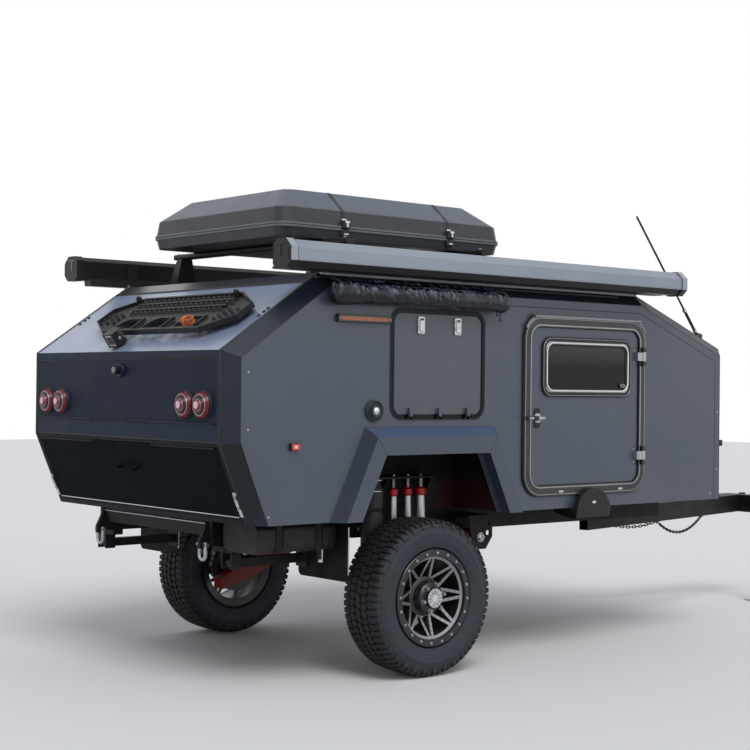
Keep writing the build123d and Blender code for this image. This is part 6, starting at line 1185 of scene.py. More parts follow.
# Roof case: grained black sheet moulding in two halves with a paler pressed lip, held by
# webbing straps and bright overcentre buckles on the right side.
CASE_MIDDLE_X, CASE_HALF, CASE_CORNER = -1.3675, (0.780, 0.610), 0.070
CASE_SEAM_LOW, CASE_SEAM_HIGH = 2.3015, 2.3045
case_black = Finish("case_black", (0.020, 0.024, 0.033), 0.36, Specular_IOR_Level=0.35, Coat_Weight=0.15,
                    Coat_Roughness=0.25).soft_edges(0.009)
case_black.mottle(0.30, 4.0, 0.38, 0.70, 0.65, (0.036, 0.041, 0.050))
scuffs = case_black.cloud(0.05, 6.0, case_black.moved(scale=(0.25, 1.0, 1.0)))
case_black.tint(case_black.grade(scuffs, 0.50, 0.80, 0.0, 0.25), (0.050, 0.055, 0.065))
# Painted reflection: the lid above z 2.402 is painted pale sky-blue, and its flanks up to z 2.499 are painted a
# little darker than its crown.
case_top_painted_light = case_black.along("Z", 2.3925, 2.402)
case_black.tint(case_top_painted_light, (0.090, 0.115, 0.165))
flank = case_black.times(case_black.along("Z", 2.506, 2.499), case_black.along("Z", 2.394, 2.400))
case_black.tint(case_black.times(flank, 0.30), (0.008, 0.009, 0.010))
case_black.relief(case_black.cells(0.0022), 0.00022).relief(case_black.cloud(0.35, 2.0), 0.0030)
case_black.roughness(case_black.cloud(0.10, 4.0), 0.32, 0.52)
dress(case_black, "case_tray", "case_lid")
lip_grey = coat("lip_grey", (0.120, 0.130, 0.150), 0.34)
for name, level, profile, body in (
    ("case_lip_tray", CASE_SEAM_LOW,
     [(-0.002, -0.013), (0.0050, -0.0105), (0.0064, -0.003), (0.0056, 0.0), (-0.002, 0.0)], "trailer"),
    ("case_lip_lid", CASE_SEAM_HIGH,
     [(-0.002, 0.0), (0.0056, 0.0), (0.0064, 0.003), (0.0050, 0.0095), (-0.003, 0.012)], "case_lid"),
):
    strips(name, [(Matrix.Translation((CASE_MIDDLE_X, 0.0, level)), CASE_HALF, CASE_CORNER, profile)], lip_grey, body,
           "case_plastic")

webbing = Finish("webbing", (0.010, 0.010, 0.011), 0.75, Sheen_Weight=0.15)
weave = webbing.waves(210.0)
webbing.tint(webbing.grade(weave, 0.3, 0.8, 0.0, 0.6), (0.024, 0.024, 0.026))
webbing.relief(weave, 0.0004).relief(webbing.cloud(0.0015), 0.0003)


def webbing_run(shell, x, path, width=0.025, thick=0.0022):
    """A flat strap across the trailer at x, following points (y, z) on its underside."""
    rings = []
    for k, point in enumerate(path):
        here = Vector(point)
        ahead = Vector(path[min(k + 1, len(path) - 1)]) - Vector(path[max(k - 1, 0)])
        out = Vector((ahead.y, -ahead.x)).normalized()
        out = out if out.x < 0 or (abs(out.x) < 0.2 and out.y > 0) else -out
        top = here + out * thick
        section = ((-width / 2, here), (width / 2, here), (width / 2 - 0.0005, top), (-width / 2 + 0.0005, top))
        rings.append([shell.verts.new((x + dx, *spot)) for dx, spot in section])
    skin(shell, rings)
    shell.faces.new(rings[0])
    shell.faces.new(list(reversed(rings[-1])))


def soft_block(shell, low, high, radius=0.002):
    """A rounded block between two corners."""
    made = bmesh.new()
    size, middle = Vector(high) - Vector(low), (Vector(high) + Vector(low)) / 2
    bmesh.ops.create_cube(made, size=1.0, matrix=Matrix.Diagonal((*size, 1.0)))
    bmesh.ops.bevel(made, geom=made.edges[:], offset=min(radius, min(size) * 0.45), segments=2, affect="EDGES")
    bmesh.ops.transform(made, matrix=Matrix.Translation(middle), verts=made.verts)
    piece = bpy.data.meshes.new("soft_block")
    made.to_mesh(piece)
    shell.from_mesh(piece)
    bpy.data.meshes.remove(piece)
    made.free()


STRAP_OFFSETS = (-0.37, 0.37)
LID_RUN = [(-0.4660, 2.5005), (-0.4860, 2.4880), (-0.5450, 2.4345), (-0.5930, 2.3950), (-0.5995, 2.3880),
           (-0.6035, 2.3600), (-0.6050, 2.3440)]
lid_straps, tray_straps, lid_buckles, tray_buckles = bmesh.new(), bmesh.new(), bmesh.new(), bmesh.new()
for offset in STRAP_OFFSETS:
    x = CASE_MIDDLE_X + offset
    webbing_run(lid_straps, x, LID_RUN)
    webbing_run(lid_straps, x, [(-0.6330, 2.3430), (-0.6332, 2.3250), (-0.6330, 2.3065)])
    webbing_run(tray_straps, x, [(-0.6075, 2.2640), (-0.6040, 2.2520), (-0.6005, 2.2420)])
    webbing_run(tray_straps, x, [(-0.6225, 2.2985), (-0.6227, 2.2820), (-0.6225, 2.2660)])
    for shell, half, back, low, front, high in (
        (lid_buckles, 0.0150, -0.6395, 2.3300, -0.6345, 2.3410),
        (lid_buckles, 0.0060, -0.6400, 2.3080, -0.6345, 2.3300),
        (lid_buckles, 0.0155, -0.6100, 2.3440, -0.6035, 2.3540),
        (tray_buckles, 0.0155, -0.6290, 2.2700, -0.6235, 2.2760),
    ):
        soft_block(shell, (x - half, back, low), (x + half, front, high), 0.0018)
for part, straps, fittings, body in (("lid", lid_straps, lid_buckles, "case_lid"),
                                     ("tray", tray_straps, tray_buckles, "trailer")):
    settled("case_straps_" + part, closed_mesh(straps), webbing.material, body, "black_plastic")
    settled("case_buckles_" + part, plain_mesh(fittings), chrome.material, body, "zinc", smooth=40)

# Awning cassettes: drawn aluminium housings, satin slate on the right and black on the left, with moulded end caps, a
# lead rail along the lower edge, and a black rubber strip in the gap under each that also stands in for the shade
# there.
AWNING_RIGHT_ENDS, AWNING_LEFT_ENDS, AWNING_CAP = (-2.4625, 0.4325), (-2.4125, 0.0875), 0.042


def cassette(name, colour, cap_colour, ends, metal):
    """Drawn housing: long fine draw lines, clean upper flat and differently coloured end caps."""
    made = Finish(name, colour, 0.33, Specular_IOR_Level=0.3).soft_edges(0.004)
    lines = made.cloud(0.004, 3.0, made.moved(scale=(0.02, 1.0, 1.0)))
    made.tint(made.grade(lines, 0.35, 0.75, 0.0, 0.45), shade(colour, 1.28))
    made.mottle(0.5, 3.0, 0.4, 0.7, 0.4, shade(colour, 0.82))
    middle, half = (ends[0] + ends[1]) / 2, (ends[1] - ends[0]) / 2
    away = made.away("X", middle)
    cap = made.grade(away, half - AWNING_CAP - 0.0004, half - AWNING_CAP)
    made.tint(cap, cap_colour)
    made.tint(made.grade(away, half - 0.0010, half - 0.0004), (0.012, 0.012, 0.013))
    made.put("Metallic", made.grade(cap, 0.0, 1.0, metal, 0.1))
    made.roughness(made.cloud(0.07, 5.0), 0.26, 0.44)
    return made.relief(lines, 0.00012).relief(made.cells(0.0016), 0.00004)


cassette_slate = cassette("cassette_slate", (0.255, 0.285, 0.345), (0.30, 0.33, 0.385), AWNING_RIGHT_ENDS, 0.35)
# Painted shade: the right cassette below z 2.068 is painted near-black as its shaded underside.
cassette_slate.tint(cassette_slate.along("Z", 2.0700, 2.0680), (0.008, 0.0085, 0.0095))
cassette_black = cassette("cassette_black", (0.010, 0.0105, 0.0115), (0.014, 0.0145, 0.016), AWNING_LEFT_ENDS, 0.15)
dress(cassette_slate, "awning_right")
dress(cassette_black, "awning_left")


def cassette_outline(side, low, grow=0.0):
    """The cassette's outline across the trailer, as points (y, z)."""
    inner, outer = side * 0.978, side * (1.115 + grow)
    reach, bottom, top = outer - inner, low + 0.005 - grow, low + 0.136 + grow
    return [(inner, bottom + 0.020), (inner, top - 0.022), (inner + reach * 0.16, top),
            (outer - reach * 0.3, top), (outer, top - 0.040), (outer, bottom + 0.034),
            (outer - reach * 0.24, bottom), (inner + reach * 0.2, bottom)]


rail_grey = brushed("rail_grey", (0.30, 0.32, 0.35), 0.30, "X")
ring_right, ring_left = [], []
for ends, side, low, rings in ((AWNING_RIGHT_ENDS, -1, 2.034, ring_right), (AWNING_LEFT_ENDS, 1, 2.070, ring_left)):
    for x in (ends[0] - 0.0002, ends[0] + AWNING_CAP, ends[1] - AWNING_CAP, ends[1] + 0.0002):
        loop = [(x, y, z) for y, z in cassette_outline(side, low, 0.004)]
        rings.append(loop + loop[:1])
cording("cassette_rings_right", ring_right, 0.0016, seam_rubber, "trailer", "alloy", sides=6)
cording("cassette_rings_left", ring_left, 0.0016, rack_black, "trailer", "cassette_black", sides=6)
lead_y, lead_z = cassette_outline(-1, 2.034, 0.002)[5]
cording("lead_rails", [[(x, lead_y, lead_z) for x in (-2.415, 0.385)]], 0.0030, rail_grey, "trailer", "alloy")
slots = [[(AWNING_RIGHT_ENDS[0] - 0.0012, y, z) for y, z in run] for run in (
    ((-1.000, 2.150), (-1.072, 2.150)), ((-1.036, 2.148), (-1.036, 2.088)), ((-1.095, 2.128), (-1.095, 2.078)))]
cording("cap_slots", slots, 0.0032, gasket, "trailer", "rubber", sides=8)
slots_left = [[(AWNING_LEFT_ENDS[0] - 0.0010, y, z) for y, z in run] for run in (
    ((1.004, 2.186), (1.070, 2.186)), ((1.036, 2.182), (1.036, 2.128)))]
cording("cap_slots_left", slots_left, 0.0030, rail_grey, "trailer", "alloy")
# Painted shade: black strips fill the gap between each cassette and the roof edge, where the shade lies.
shell = bmesh.new()
soft_block(shell, (-2.415, -0.9830, 2.0395), (0.385, -0.9020, 2.0535), 0.004)
soft_block(shell, (-2.365, 0.9020, 2.0395), (0.040, 0.9790, 2.0765), 0.004)
settled("closing_strips", plain_mesh(shell), gasket.material, "trailer", "rubber", smooth=40)
shell = bmesh.new()
for side in (-1, 1):
    low, high = sorted((side * 0.9280, side * 0.8960))
    soft_block(shell, (-2.130, low, 2.0280), (0.210, high, 2.0440), 0.003)
settled("roof_edge_rails", plain_mesh(shell), rail_grey.material, "trailer", "alloy", smooth=40)

# Pouch: an awning bag of glossy black vinyl, rolled and stuffed, hanging from its welt in
# the keder rail. Its skin is puffed by a cloth simulation, then creased along its length.
POUCH_ENDS, POUCH_MIDDLE, POUCH_HALF = (-2.1375, -0.9575), (-1.0218, 1.940), (0.0490, 0.0620)
vinyl = Finish("bag_vinyl", (0.0040, 0.0052, 0.0080), 0.22, Specular_IOR_Level=0.30, Coat_Weight=0.12,
               Coat_Roughness=0.12)
folds = vinyl.cloud(0.050, 3.0, vinyl.moved(turn=(0.0, 32.0, 0.0), scale=(1.0, 1.0, 0.45)))
creases = vinyl.cloud(0.022, 5.0, vinyl.moved(turn=(0.0, -38.0, 0.0), scale=(1.0, 1.0, 0.40)))
upper_painted_highlights = vinyl.along("Z", 1.915, 1.985)
# Painted highlights: pale blue tints along the folds and creases of the upper half stand for the sky reflected in the
# glossy vinyl.
vinyl.tint(vinyl.times(upper_painted_highlights, vinyl.grade(folds, 0.46, 0.60, 0.0, 0.85)), (0.060, 0.080, 0.125))
vinyl.tint(vinyl.times(upper_painted_highlights, vinyl.grade(creases, 0.54, 0.64, 0.0, 0.75)), (0.22, 0.26, 0.34))
vinyl.relief(folds, 0.010).relief(creases, 0.0016).relief(vinyl.cells(0.0018), 0.00006)
vinyl.roughness(vinyl.cloud(0.04, 4.0), 0.12, 0.26)


def hardened(piece):
    """Makes what the piece's modifiers do real, and takes them off."""
    graph = bpy.context.evaluated_depsgraph_get()
    piece.data = bpy.data.meshes.new_from_object(piece.evaluated_get(graph))
    piece.modifiers.clear()
    return piece


def swollen(piece, pressure, cap):
    """Puffs a closed cloth skin under pressure for twenty frames and keeps each point within a cap."""
    rest = [v.co.copy() for v in piece.data.vertices]
    puff = piece.modifiers.new("puff", "CLOTH")
    puff.settings.use_pressure = True
    puff.settings.uniform_pressure_force = pressure
    puff.settings.effector_weights.gravity = 0.0
    for step in range(1, 21):
        scene.frame_set(step)
    hardened(piece)
    scene.frame_set(1)
    for vertex, was in zip(piece.data.vertices, rest):
        moved = vertex.co - was
        if moved.length > cap:
            vertex.co = was + moved * (cap / moved.length)
    return piece


def skinned(piece, voxel):
    """Gives a closed piece an even skin of small squares."""
    shrink = piece.modifiers.new("skin", "REMESH")
    shrink.mode = "VOXEL"
    shrink.voxel_size = voxel
    return hardened(piece)


shell = bmesh.new()
rings, around, along = [], 40, 90
for k in range(along + 1):
    share = k / along
    x = POUCH_ENDS[0] + 0.006 + share * (POUCH_ENDS[1] - POUCH_ENDS[0] - 0.012)
    tuck = min(1.0, 0.86 + 8.0 * min(share, 1 - share)) * (1.0 - 0.04 * sin(3 * pi * share) ** 2)
    ring = []
    for j in range(around):
        angle = 2 * pi * j / around
        ripple = noise.noise(Vector((x * 3.0, cos(angle) * 1.6, sin(angle) * 1.6))) * 0.11
        ripple += noise.noise(Vector((x * 9.0, cos(angle) * 3.2, sin(angle) * 3.2))) * 0.05
        reach = min(tuck * (0.99 + ripple), 1.03)
        ring.append(shell.verts.new((x, POUCH_MIDDLE[0] + POUCH_HALF[0] * reach * cos(angle),
                                     POUCH_MIDDLE[1] + POUCH_HALF[1] * reach * sin(angle))))
    rings.append(ring)
skin(shell, rings)
shell.faces.new(list(reversed(rings[0])))
shell.faces.new(rings[-1])
bag = placed("bag", closed_mesh(shell))
swollen(skinned(bag, 0.006), 4.0, 0.006)
finer = bag.modifiers.new("finer", "SUBSURF")
finer.levels = finer.render_levels = 1
hardened(bag)
outwards = [vertex.normal.copy() for vertex in bag.data.vertices]
for vertex, outward in zip(bag.data.vertices, outwards):
    x, y, z = vertex.co
    fold = noise.noise(Vector((x * 13.0 + z * 9.0, y * 5.0, z * 6.0)))
    wrinkle = noise.noise(Vector((x * 27.0 - z * 15.0, y * 8.0, z * 9.0)))
    drawn = min(1.0, max(0.0, (z - 1.900) / 0.060))
    depth = 0.0050 * max(0.0, 1.0 - abs(fold) * 4.5) + 0.0020 * max(0.0, 1.0 - abs(wrinkle) * 4.0)
    vertex.co -= outward * depth * (0.06 + 0.94 * drawn)
bag.data.materials.clear()
bag.data.materials.append(vinyl.material)
bag.data.shade_smooth()
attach(bag, "trailer")
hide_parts("pouch")

# Pouch trimmings: a welt strip that joins the bag to the keder rail, and short webbing tails
# with black end clips at the front end of the roll.
welt = bmesh.new()
stations, section = 96, ((-0.9440, 2.0170), (-0.9640, 2.0195), (-0.9880, 2.0130), (-1.0060, 2.0010))
rows = []
for k in range(stations + 1):
    x = POUCH_ENDS[0] + 0.010 + k / stations * (POUCH_ENDS[1] - POUCH_ENDS[0] - 0.020)
    sway = noise.noise(Vector((x * 7.0, 0.0, 3.0))) * 0.006
    rows.append([welt.verts.new((x, y + sway * j / 3, z + sway * 0.8 * j / 3)) for j, (y, z) in enumerate(section)])
skin(welt, rows, open_rows=True)
strip = placed("pouch_welt", plain_mesh(welt))
thick = strip.modifiers.new("thick", "SOLIDIFY")
thick.thickness, thick.offset = 0.003, 0.0
welt_mesh = hardened(strip).data
bpy.data.objects.remove(strip)
settled("pouch_welt", welt_mesh, vinyl.material, "trailer", "vinyl", smooth=50)
tails, clips = bmesh.new(), bmesh.new()
for x, low in ((-1.010, 1.842), (-1.032, 1.868)):
    webbing_run(tails, x, [(-1.0300, 1.8790), (-1.0290, 1.8640), (-1.0270, low)], 0.012, 0.0018)
    soft_block(clips, (x - 0.0075, -1.0325, low - 0.006), (x + 0.0075, -1.0255, low + 0.005), 0.0015)
settled("pouch_tails", closed_mesh(tails), webbing.material, "trailer", "black_plastic")
settled("pouch_clips", plain_mesh(clips), rim_black.material, "trailer", "black_plastic", smooth=40)

# Traction board: one black moulding, matt and scuffed, with its studs' tips worn paler.
# It is clamped on two studs over the rear slope.
board_black = Finish("board_black", (0.0085, 0.0095, 0.0120), 0.48, Specular_IOR_Level=0.32).soft_edges(0.0025)
board_black.mottle(0.07, 5.0, 0.42, 0.72, 0.6, (0.019, 0.020, 0.022))
board_black.tint(board_black.times(board_black.rub(0.003, 0.97, 0.75), 0.35), (0.075, 0.077, 0.082))
board_black.relief(board_black.cells(0.0018), 0.00022).roughness(board_black.cloud(0.03, 4.0), 0.38, 0.66)
dress(board_black, "traction_board")

# Rope: thin orange braided cord, folded into a hank at the board's right-hand window and
# tied round its middle with two wraps. Its other end is bare.
ROPE_MIDDLE, ROPE_THICK = (0.425, 0.187), 0.0045
RUN_HALF, FOLD, TURNS, LIFT = 0.0350, 0.0145, 8, 0.0056
hank_points = [(0.0800, 0.004, 0.0400), (0.0640, 0.010, 0.0370)]
for turn in range(TURNS):
    base = 0.0250 + turn * LIFT
    shift = 0.0045 * sin(turn * 2.1)
    bow = 0.0028 * sin(turn * 1.3 + 0.6)
    wide = FOLD + 0.0012 * sin(turn * 2.9)
    near_end, far_end = RUN_HALF + wide * 0.75, RUN_HALF + wide * 1.12
    oval = [(RUN_HALF * 0.55, wide + bow), (-RUN_HALF * 0.35, wide - bow), (-RUN_HALF, wide),
            (-near_end, wide * 0.80), (-far_end, 0.0), (-near_end, -wide * 0.80),
            (-RUN_HALF, -wide), (-RUN_HALF * 0.35, -wide + bow), (RUN_HALF * 0.55, -wide - bow), (RUN_HALF, -wide),
            (near_end, -wide * 0.80), (far_end, 0.0), (near_end, wide * 0.80)]
    hank_points += [(across + shift, up, base + LIFT * k / len(oval)) for k, (across, up) in enumerate(oval)]
top = 0.0250 + TURNS * LIFT
# One wrap round the hank: how far along, up the slope and out
WRAP = ((0.0, -0.012, top + 0.0095), (-0.001, -0.0260, top - 0.002), (-0.002, -0.0285, 0.046),
        (-0.003, -0.0240, 0.022), (-0.0035, -0.008, 0.0140), (-0.004, 0.010, 0.0140), (-0.0045, 0.0255, 0.022),
        (-0.005, 0.0290, 0.046),
        (-0.0055, 0.0250, top), (-0.006, 0.008, top + 0.0095))
hank_points += [(0.018, 0.020, top + 0.004), (0.006, 0.008, top + 0.010)]
hank_points += [(0.002 - turn * 0.0060 + dx, up, out) for turn in range(2) for dx, up, out in WRAP]
hank_points += [(-0.014, -0.006, top + 0.010), (-0.022, -0.016, top + 0.006), (-0.030, -0.026, top + 0.001)]
line = bpy.data.curves.new("rope_line", "CURVE")
line.dimensions = "3D"
spline = line.splines.new("NURBS")
spline.points.add(len(hank_points) - 1)
for point, (across, up, out) in zip(spline.points, hank_points):
    point.co = (*slope(ROPE_MIDDLE[0] + across, ROPE_MIDDLE[1] + up, out), 1.0)
spline.order_u = 3
spline.use_endpoint_u = True
spline.resolution_u = 6
line.bevel_depth = ROPE_THICK / 2
line.bevel_resolution = 2
line.use_fill_caps = True
rope = placed("rope", line)
rope_orange = Finish("rope_orange", (0.62, 0.115, 0.028), 0.72, Sheen_Weight=0.25)
rope_orange.tint(rope_orange.pebbles(0.0016, 0.15, 0.55), (0.80, 0.22, 0.07))
rope_orange.mottle(0.012, 4.0, 0.52, 0.75, 1.0, (0.34, 0.055, 0.016))
rope_orange.relief(rope_orange.cells(0.0013), 0.0004)
line.materials.append(rope_orange.material)
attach(rope, "trailer")
measure = line.copy()
measure.bevel_depth = 0.0
probe = placed("probe", measure)
as_drawn = probe.evaluated_get(bpy.context.evaluated_depsgraph_get())
centre = [v.co.copy() for v in bpy.data.meshes.new_from_object(as_drawn).vertices]
bpy.data.objects.remove(probe)
rope_length = sum((b - a).length for a, b in zip(centre, centre[1:]))
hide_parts("rope_hank")
rope_exit = slope(ROPE_MIDDLE[0] + hank_points[0][0], ROPE_MIDDLE[1] + hank_points[0][1], hank_points[0][2])

# Cabin inside: birch-faced bulkhead with the store's worktop, a grey flecked floor whose panel is near-black below
# its top face, and a quilted foam mattress in woven cloth, piped round its edges.
birch = Finish("birch_ply", (0.42, 0.30, 0.185), 0.42, Coat_Weight=0.25, Coat_Roughness=0.3)
grain = birch.cloud(0.030, 6.0, birch.moved(scale=(1.0, 0.12, 1.0)))
birch.tint(birch.grade(grain, 0.42, 0.62, 0.0, 0.7), (0.54, 0.40, 0.26))
birch.tint(birch.grade(birch.cloud(0.006, 4.0, birch.moved(scale=(1.0, 0.05, 1.0))), 0.55, 0.75, 0.0, 0.45),
           (0.28, 0.18, 0.10))
birch.relief(grain, 0.0003).roughness(grain, 0.34, 0.52).soft_edges(0.002)
dress(birch, "bulkhead")
floor_finish = Finish("floor_sheet", (0.10, 0.102, 0.105), 0.5)
floor_finish.tint(floor_finish.pebbles(0.012, 0.1, 0.35), (0.17, 0.172, 0.176))
floor_finish.mottle(0.4, 3.0, 0.4, 0.7, 0.4, (0.075, 0.077, 0.080))
floor_finish.tint(floor_finish.along("Z", 0.8585, 0.8575), (0.012, 0.012, 0.012))
floor_finish.relief(floor_finish.cells(0.004), 0.0002).roughness(floor_finish.cloud(0.1), 0.40, 0.62)
dress(floor_finish, "floor_panel")

MATTRESS_LOW, MATTRESS_HIGH = Vector((-0.8445, -0.907, 0.8606)), Vector((0.9435, 0.907, 1.0100))
ROUNDING = 0.060
QUILT_LONG, QUILT_WIDE = 0.298, 0.3023
shell = bmesh.new()
middle, half = (MATTRESS_LOW + MATTRESS_HIGH) / 2, (MATTRESS_HIGH - MATTRESS_LOW) / 2
outline = round_outline(half, ROUNDING, steps=12)
edge_points = []
for (x1, y1), (x2, y2) in zip(outline, outline[1:] + outline[:1]):
    pieces = max(1, int(hypot(x2 - x1, y2 - y1) / 0.035))
    edge_points += [(x1 + (x2 - x1) * k / pieces, y1 + (y2 - y1) * k / pieces) for k in range(pieces)]


def mattress_loop(level, share):
    """The mattress's outline at a level of its side, drawn in to a share of its size."""
    return [(middle.x + x * share, middle.y + y * share, middle.z + level * half.z) for x, y in edge_points]


loops = [[shell.verts.new(point) for point in mattress_loop(level, share)] for level, share in
         ((-1.0, 0.972), (-0.80, 0.996), (-0.30, 0.999), (0.30, 0.999), (0.72, 0.996), (0.90, 0.985))]
for share in [0.975, 0.955, 0.93] + [0.93 - 0.93 * k / 26 for k in range(1, 26)]:
    ring = []
    for x, y in edge_points:
        px, py = x * share, y * share
        channel = abs(sin(pi * (px + half.x) / QUILT_LONG)) ** 0.35
        channel *= abs(sin(pi * (py + half.y) / QUILT_WIDE)) ** 0.35
        crown = min(1.0, (1.0 - share) * 14.0)
        up = middle.z + half.z * (0.90 + 0.02 * crown) - 0.006 * crown + 0.0085 * channel * crown
        ring.append(shell.verts.new((middle.x + px, middle.y + py, up)))
    loops.append(ring)
skin(shell, loops)
hub = shell.verts.new((middle.x, middle.y, middle.z + half.z * 0.92 - 0.006))
for one, two in zip(loops[-1], loops[-1][1:] + loops[-1][:1]):
    shell.faces.new((one, two, hub))
shell.faces.new(list(reversed(loops[0])))
bed_cloth = Finish("bed_cloth", (0.20, 0.195, 0.185), 0.85, Sheen_Weight=0.3)
warp = bed_cloth.cells(0.0022, source=bed_cloth.moved(scale=(1.0, 0.5, 1.0)))
bed_cloth.tint(bed_cloth.grade(warp, 0.15, 0.5, 0.0, 0.7), (0.30, 0.29, 0.275))
bed_cloth.mottle(0.25, 4.0, 0.4, 0.7, 0.4, (0.165, 0.16, 0.152))
bed_cloth.relief(warp, 0.0006)
mattress_pad = settled("mattress_pad", closed_mesh(shell), bed_cloth.material, "trailer", "mattress_fabric",
                       smooth=60)
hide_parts("mattress")
piping = [mattress_loop(*edge) + mattress_loop(*edge)[:1] for edge in ((0.90, 0.985), (-0.80, 0.996))]
cording("mattress_piping", piping, 0.0042, bed_cloth, "trailer", "mattress_fabric", sides=8)

# Wall lining: the side walls and doors are faced inside with pale felt over their foam,
# while their outer sheets keep the slate finish.
LINING_FELT, LINING_FACE = (0.46, 0.455, 0.44), 0.9392
lined_wall = panel("lined_wall", PANEL_SLATE)
for made in (lined_wall, door_skin):
    inside = made.grade(made.away("Y"), LINING_FACE, LINING_FACE - 0.0006)
    made.tint(inside, LINING_FELT)
    made.tint(made.times(inside, made.pebbles(0.003, 0.2, 0.6)), shade(LINING_FELT, 0.85))
dress(lined_wall, "side_wall_right", "side_wall_left")

# Suspension fittings: bright bolts through the pivot brackets and the towers, nuts over the
# dampers, and silver bands round the air springs' tops and feet.
PIVOT_X, PIVOT_Z = -0.8325, 0.660
DAMPER_PLACES, DAMPER_ACROSS = (-1.4385, -1.3375, -1.2455), 0.673
SPRING_X, SPRING_ACROSS, BAND_STEPS = -1.5675, 0.655, 36
pivot_bolts, tower_bolts, band_rings = [], [], bmesh.new()
turns = [2 * pi * k / BAND_STEPS for k in range(BAND_STEPS)]
for side in (-1, 1):
    pivot_bolts += [((PIVOT_X, side * across, PIVOT_Z), (0.0, side * way, 0.0))
                    for across, way in ((0.7132, 1), (0.5968, -1))]
    tower_bolts += [((x, side * 0.5908, 0.735), (0.0, side, 0.0)) for x in (-1.60, -1.44, -1.28)]
    tower_bolts += [((x, side * DAMPER_ACROSS, 1.0125), (0.0, 0.0, 1.0)) for x in DAMPER_PLACES]
    for low, high, reach in ((0.9925, 0.9990, 0.0575), (0.9350, 0.9410, 0.0585), (0.5150, 0.5210, 0.0585)):
        section = ((reach, low), (reach + 0.0026, low + 0.001), (reach + 0.0026, high - 0.001), (reach, high))
        rings = [[band_rings.verts.new((SPRING_X + r * cos(a), side * SPRING_ACROSS + r * sin(a), z)) for a in turns]
                 for r, z in section]
        skin(band_rings, rings, looped=True)
fasteners("pivot_bolts", pivot_bolts, 0.0215, 0.016, bolt_steel, "trailer")
fasteners("tower_bolts", tower_bolts, 0.0105, 0.009, bolt_steel, "trailer")
settled("spring_rings", closed_mesh(band_rings), trim_steel.material, "trailer", "zinc", smooth=35)

# Entry steps: black cast half-round treads with a ribbed grip and a small pale light in
# the middle of each, folded up against the side on their hinge bolts.
step_black = Finish("step_black", (0.0085, 0.0090, 0.0100), 0.48, Specular_IOR_Level=0.35).soft_edges(0.002)
grip = step_black.cells(0.010, source=step_black.moved(turn=(0.0, 45.0, 0.0)))
step_black.mottle(0.05, 4.0, 0.45, 0.75, 0.5, (0.016, 0.017, 0.019))
step_black.relief(grip, 0.0008).roughness(step_black.cloud(0.03, 4.0), 0.38, 0.62)
dress(step_black, "step_right", "step_left")
STEP_MIDDLE = -0.2425
STEP_LIGHT = [(-0.0058, 0.0006), (-0.003, 0.0010), (0.0, 0.0003), (0.0006, -0.001), (-0.0058, -0.001)]
for side, hand in HANDS:
    light = (side_place(side, STEP_MIDDLE, 0.850, 1.0176), (0.014, 0.007), 0.006, STEP_LIGHT)
    strips("step_light_" + hand, [light], lamp_bulb, "step_" + hand, "lens_amber")
    rim = (side_place(side, STEP_MIDDLE, 0.845, 1.0172), (0.094, 0.058), 0.045, bead(0.0, 0.0026))
    strips("step_rim_" + hand, [rim], rim_black, "step_" + hand, "black_plastic")

# Small lamp housings at the front corners and spring clips along the door frame's foot:
# closed black mouldings, and pressed clips of bright steel.
shell, clips = bmesh.new(), bmesh.new()
for side in (-1, 1):
    low, high = sorted((side * 0.9100, side * 0.9480))
    soft_block(shell, (0.9560, low, 1.1420), (1.0100, high, 1.1800), 0.004)
    for x in (-0.481, 0.0115):
        low, high = sorted((side * 0.9840, side * 0.9885))
        soft_block(clips, (x - 0.018, low, 0.9100), (x + 0.018, high, 0.9215), 0.0016)
settled("front_lamp_housings", plain_mesh(shell), rim_black.material, "trailer", "black_plastic", smooth=40)
settled("frame_clips", plain_mesh(clips), chrome.material, "trailer", "zinc", smooth=40)

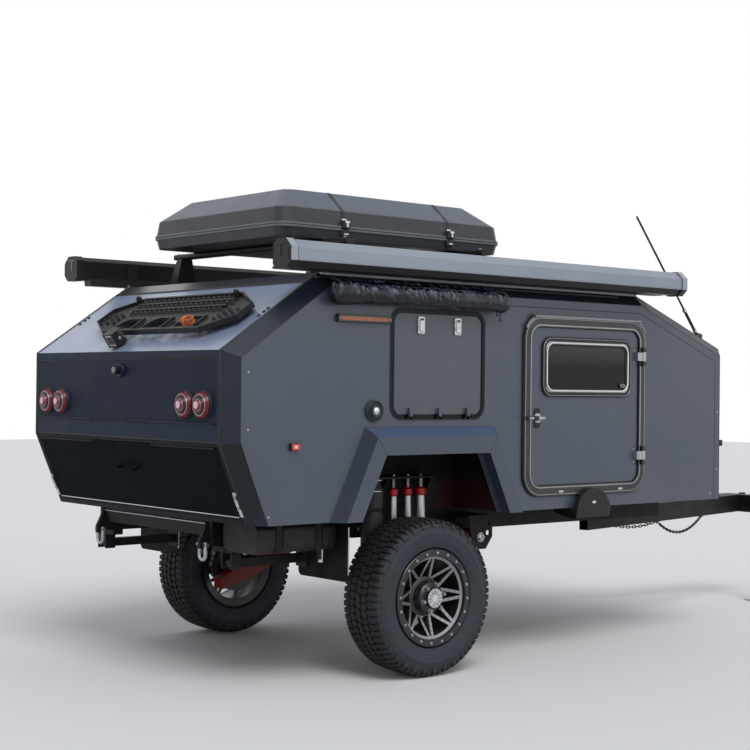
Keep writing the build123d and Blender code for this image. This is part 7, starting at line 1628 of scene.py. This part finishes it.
# Safety chains: two runs of black welded links that hang in a slack bow under the drawbar,
# each held by a bolt at both ends.
CHAIN_PITCH, LINK_WIRE = 0.026, 0.0035
chain_tree, entry, leave = tree_of("links_on_a_line", (
    ("Pitch", "Float", 0.026), ("Link", "Object", None), ("Material", "Material", None)))
given = entry.outputs
route = node(chain_tree, "GeometryNodeMeshToCurve", 0, {"Mesh": given["Geometry"]})
marks = node(chain_tree, "GeometryNodeResampleCurve", 0, {"Curve": route, "Length": given["Pitch"]}, mode="LENGTH")
way = node(chain_tree, "GeometryNodeInputTangent", 0, {})
along = node(chain_tree, "FunctionNodeAlignRotationToVector", 0, {"Vector": way}, axis="X")
order = node(chain_tree, "GeometryNodeInputIndex", 0, {})
quarter = node(chain_tree, "ShaderNodeMath", 0, {0: order, 1: pi / 2}, operation="MULTIPLY")
roll = node(chain_tree, "FunctionNodeAxisAngleToRotation", 0, {"Axis": (1.0, 0.0, 0.0), "Angle": quarter})
lying = node(chain_tree, "FunctionNodeRotateRotation", 0, {"Rotation": along, "Rotate By": roll},
             rotation_space="LOCAL")
shape = node(chain_tree, "GeometryNodeObjectInfo", "Geometry", {"Object": given["Link"]})
links = node(chain_tree, "GeometryNodeInstanceOnPoints", 0,
             {"Points": marks, "Instance": shape, "Rotation": lying})
end_tree(chain_tree, entry, leave, links)

shell = bmesh.new()
rings, steps, wire_sides = [], 14, 6
for k in range(steps):
    angle = 2 * pi * k / steps
    stretch = (1 if cos(angle) > 0 else -1) * min(1.0, abs(cos(angle)) * 2.2)
    middle = Vector((0.0085 * stretch + 0.0078 * cos(angle), 0.0, 0.0078 * sin(angle)))
    out, across = Vector((cos(angle), 0.0, sin(angle))), Vector((0.0, 1.0, 0.0))
    rounds = [2 * pi * j / wire_sides for j in range(wire_sides)]
    rings.append([shell.verts.new(middle + out * LINK_WIRE * cos(a) + across * LINK_WIRE * sin(a)) for a in rounds])
skin(shell, rings, looped=True)
link = placed("one_link", closed_mesh(shell))
shell = bmesh.new()
CHAIN_ENDS = [((1.18, side * 0.300, 0.6165), (1.86, side * 0.128, 0.6165)) for side in (-1, 1)]
for start, end in CHAIN_ENDS:
    spots = []
    for k in range(33):
        share = k / 32
        spot = Vector(start).lerp(Vector(end), share) - Vector((0.0, 0.0, 0.36 * share * (1 - share)))
        spots.append(shell.verts.new(spot))
    for one, two in zip(spots, spots[1:]):
        shell.edges.new((one, two))
grown("safety_chains", plain_mesh(shell), chain_tree,
      {"Pitch": CHAIN_PITCH, "Link": link, "Material": rack_black.material}, "trailer", "black_steel", smooth=50)
bpy.data.objects.remove(link)
fasteners("chain_bolts", [(end, (0.0, 0.0, -1.0)) for pair in CHAIN_ENDS for end in pair], 0.0110, 0.012, bolt_steel,
          "trailer")
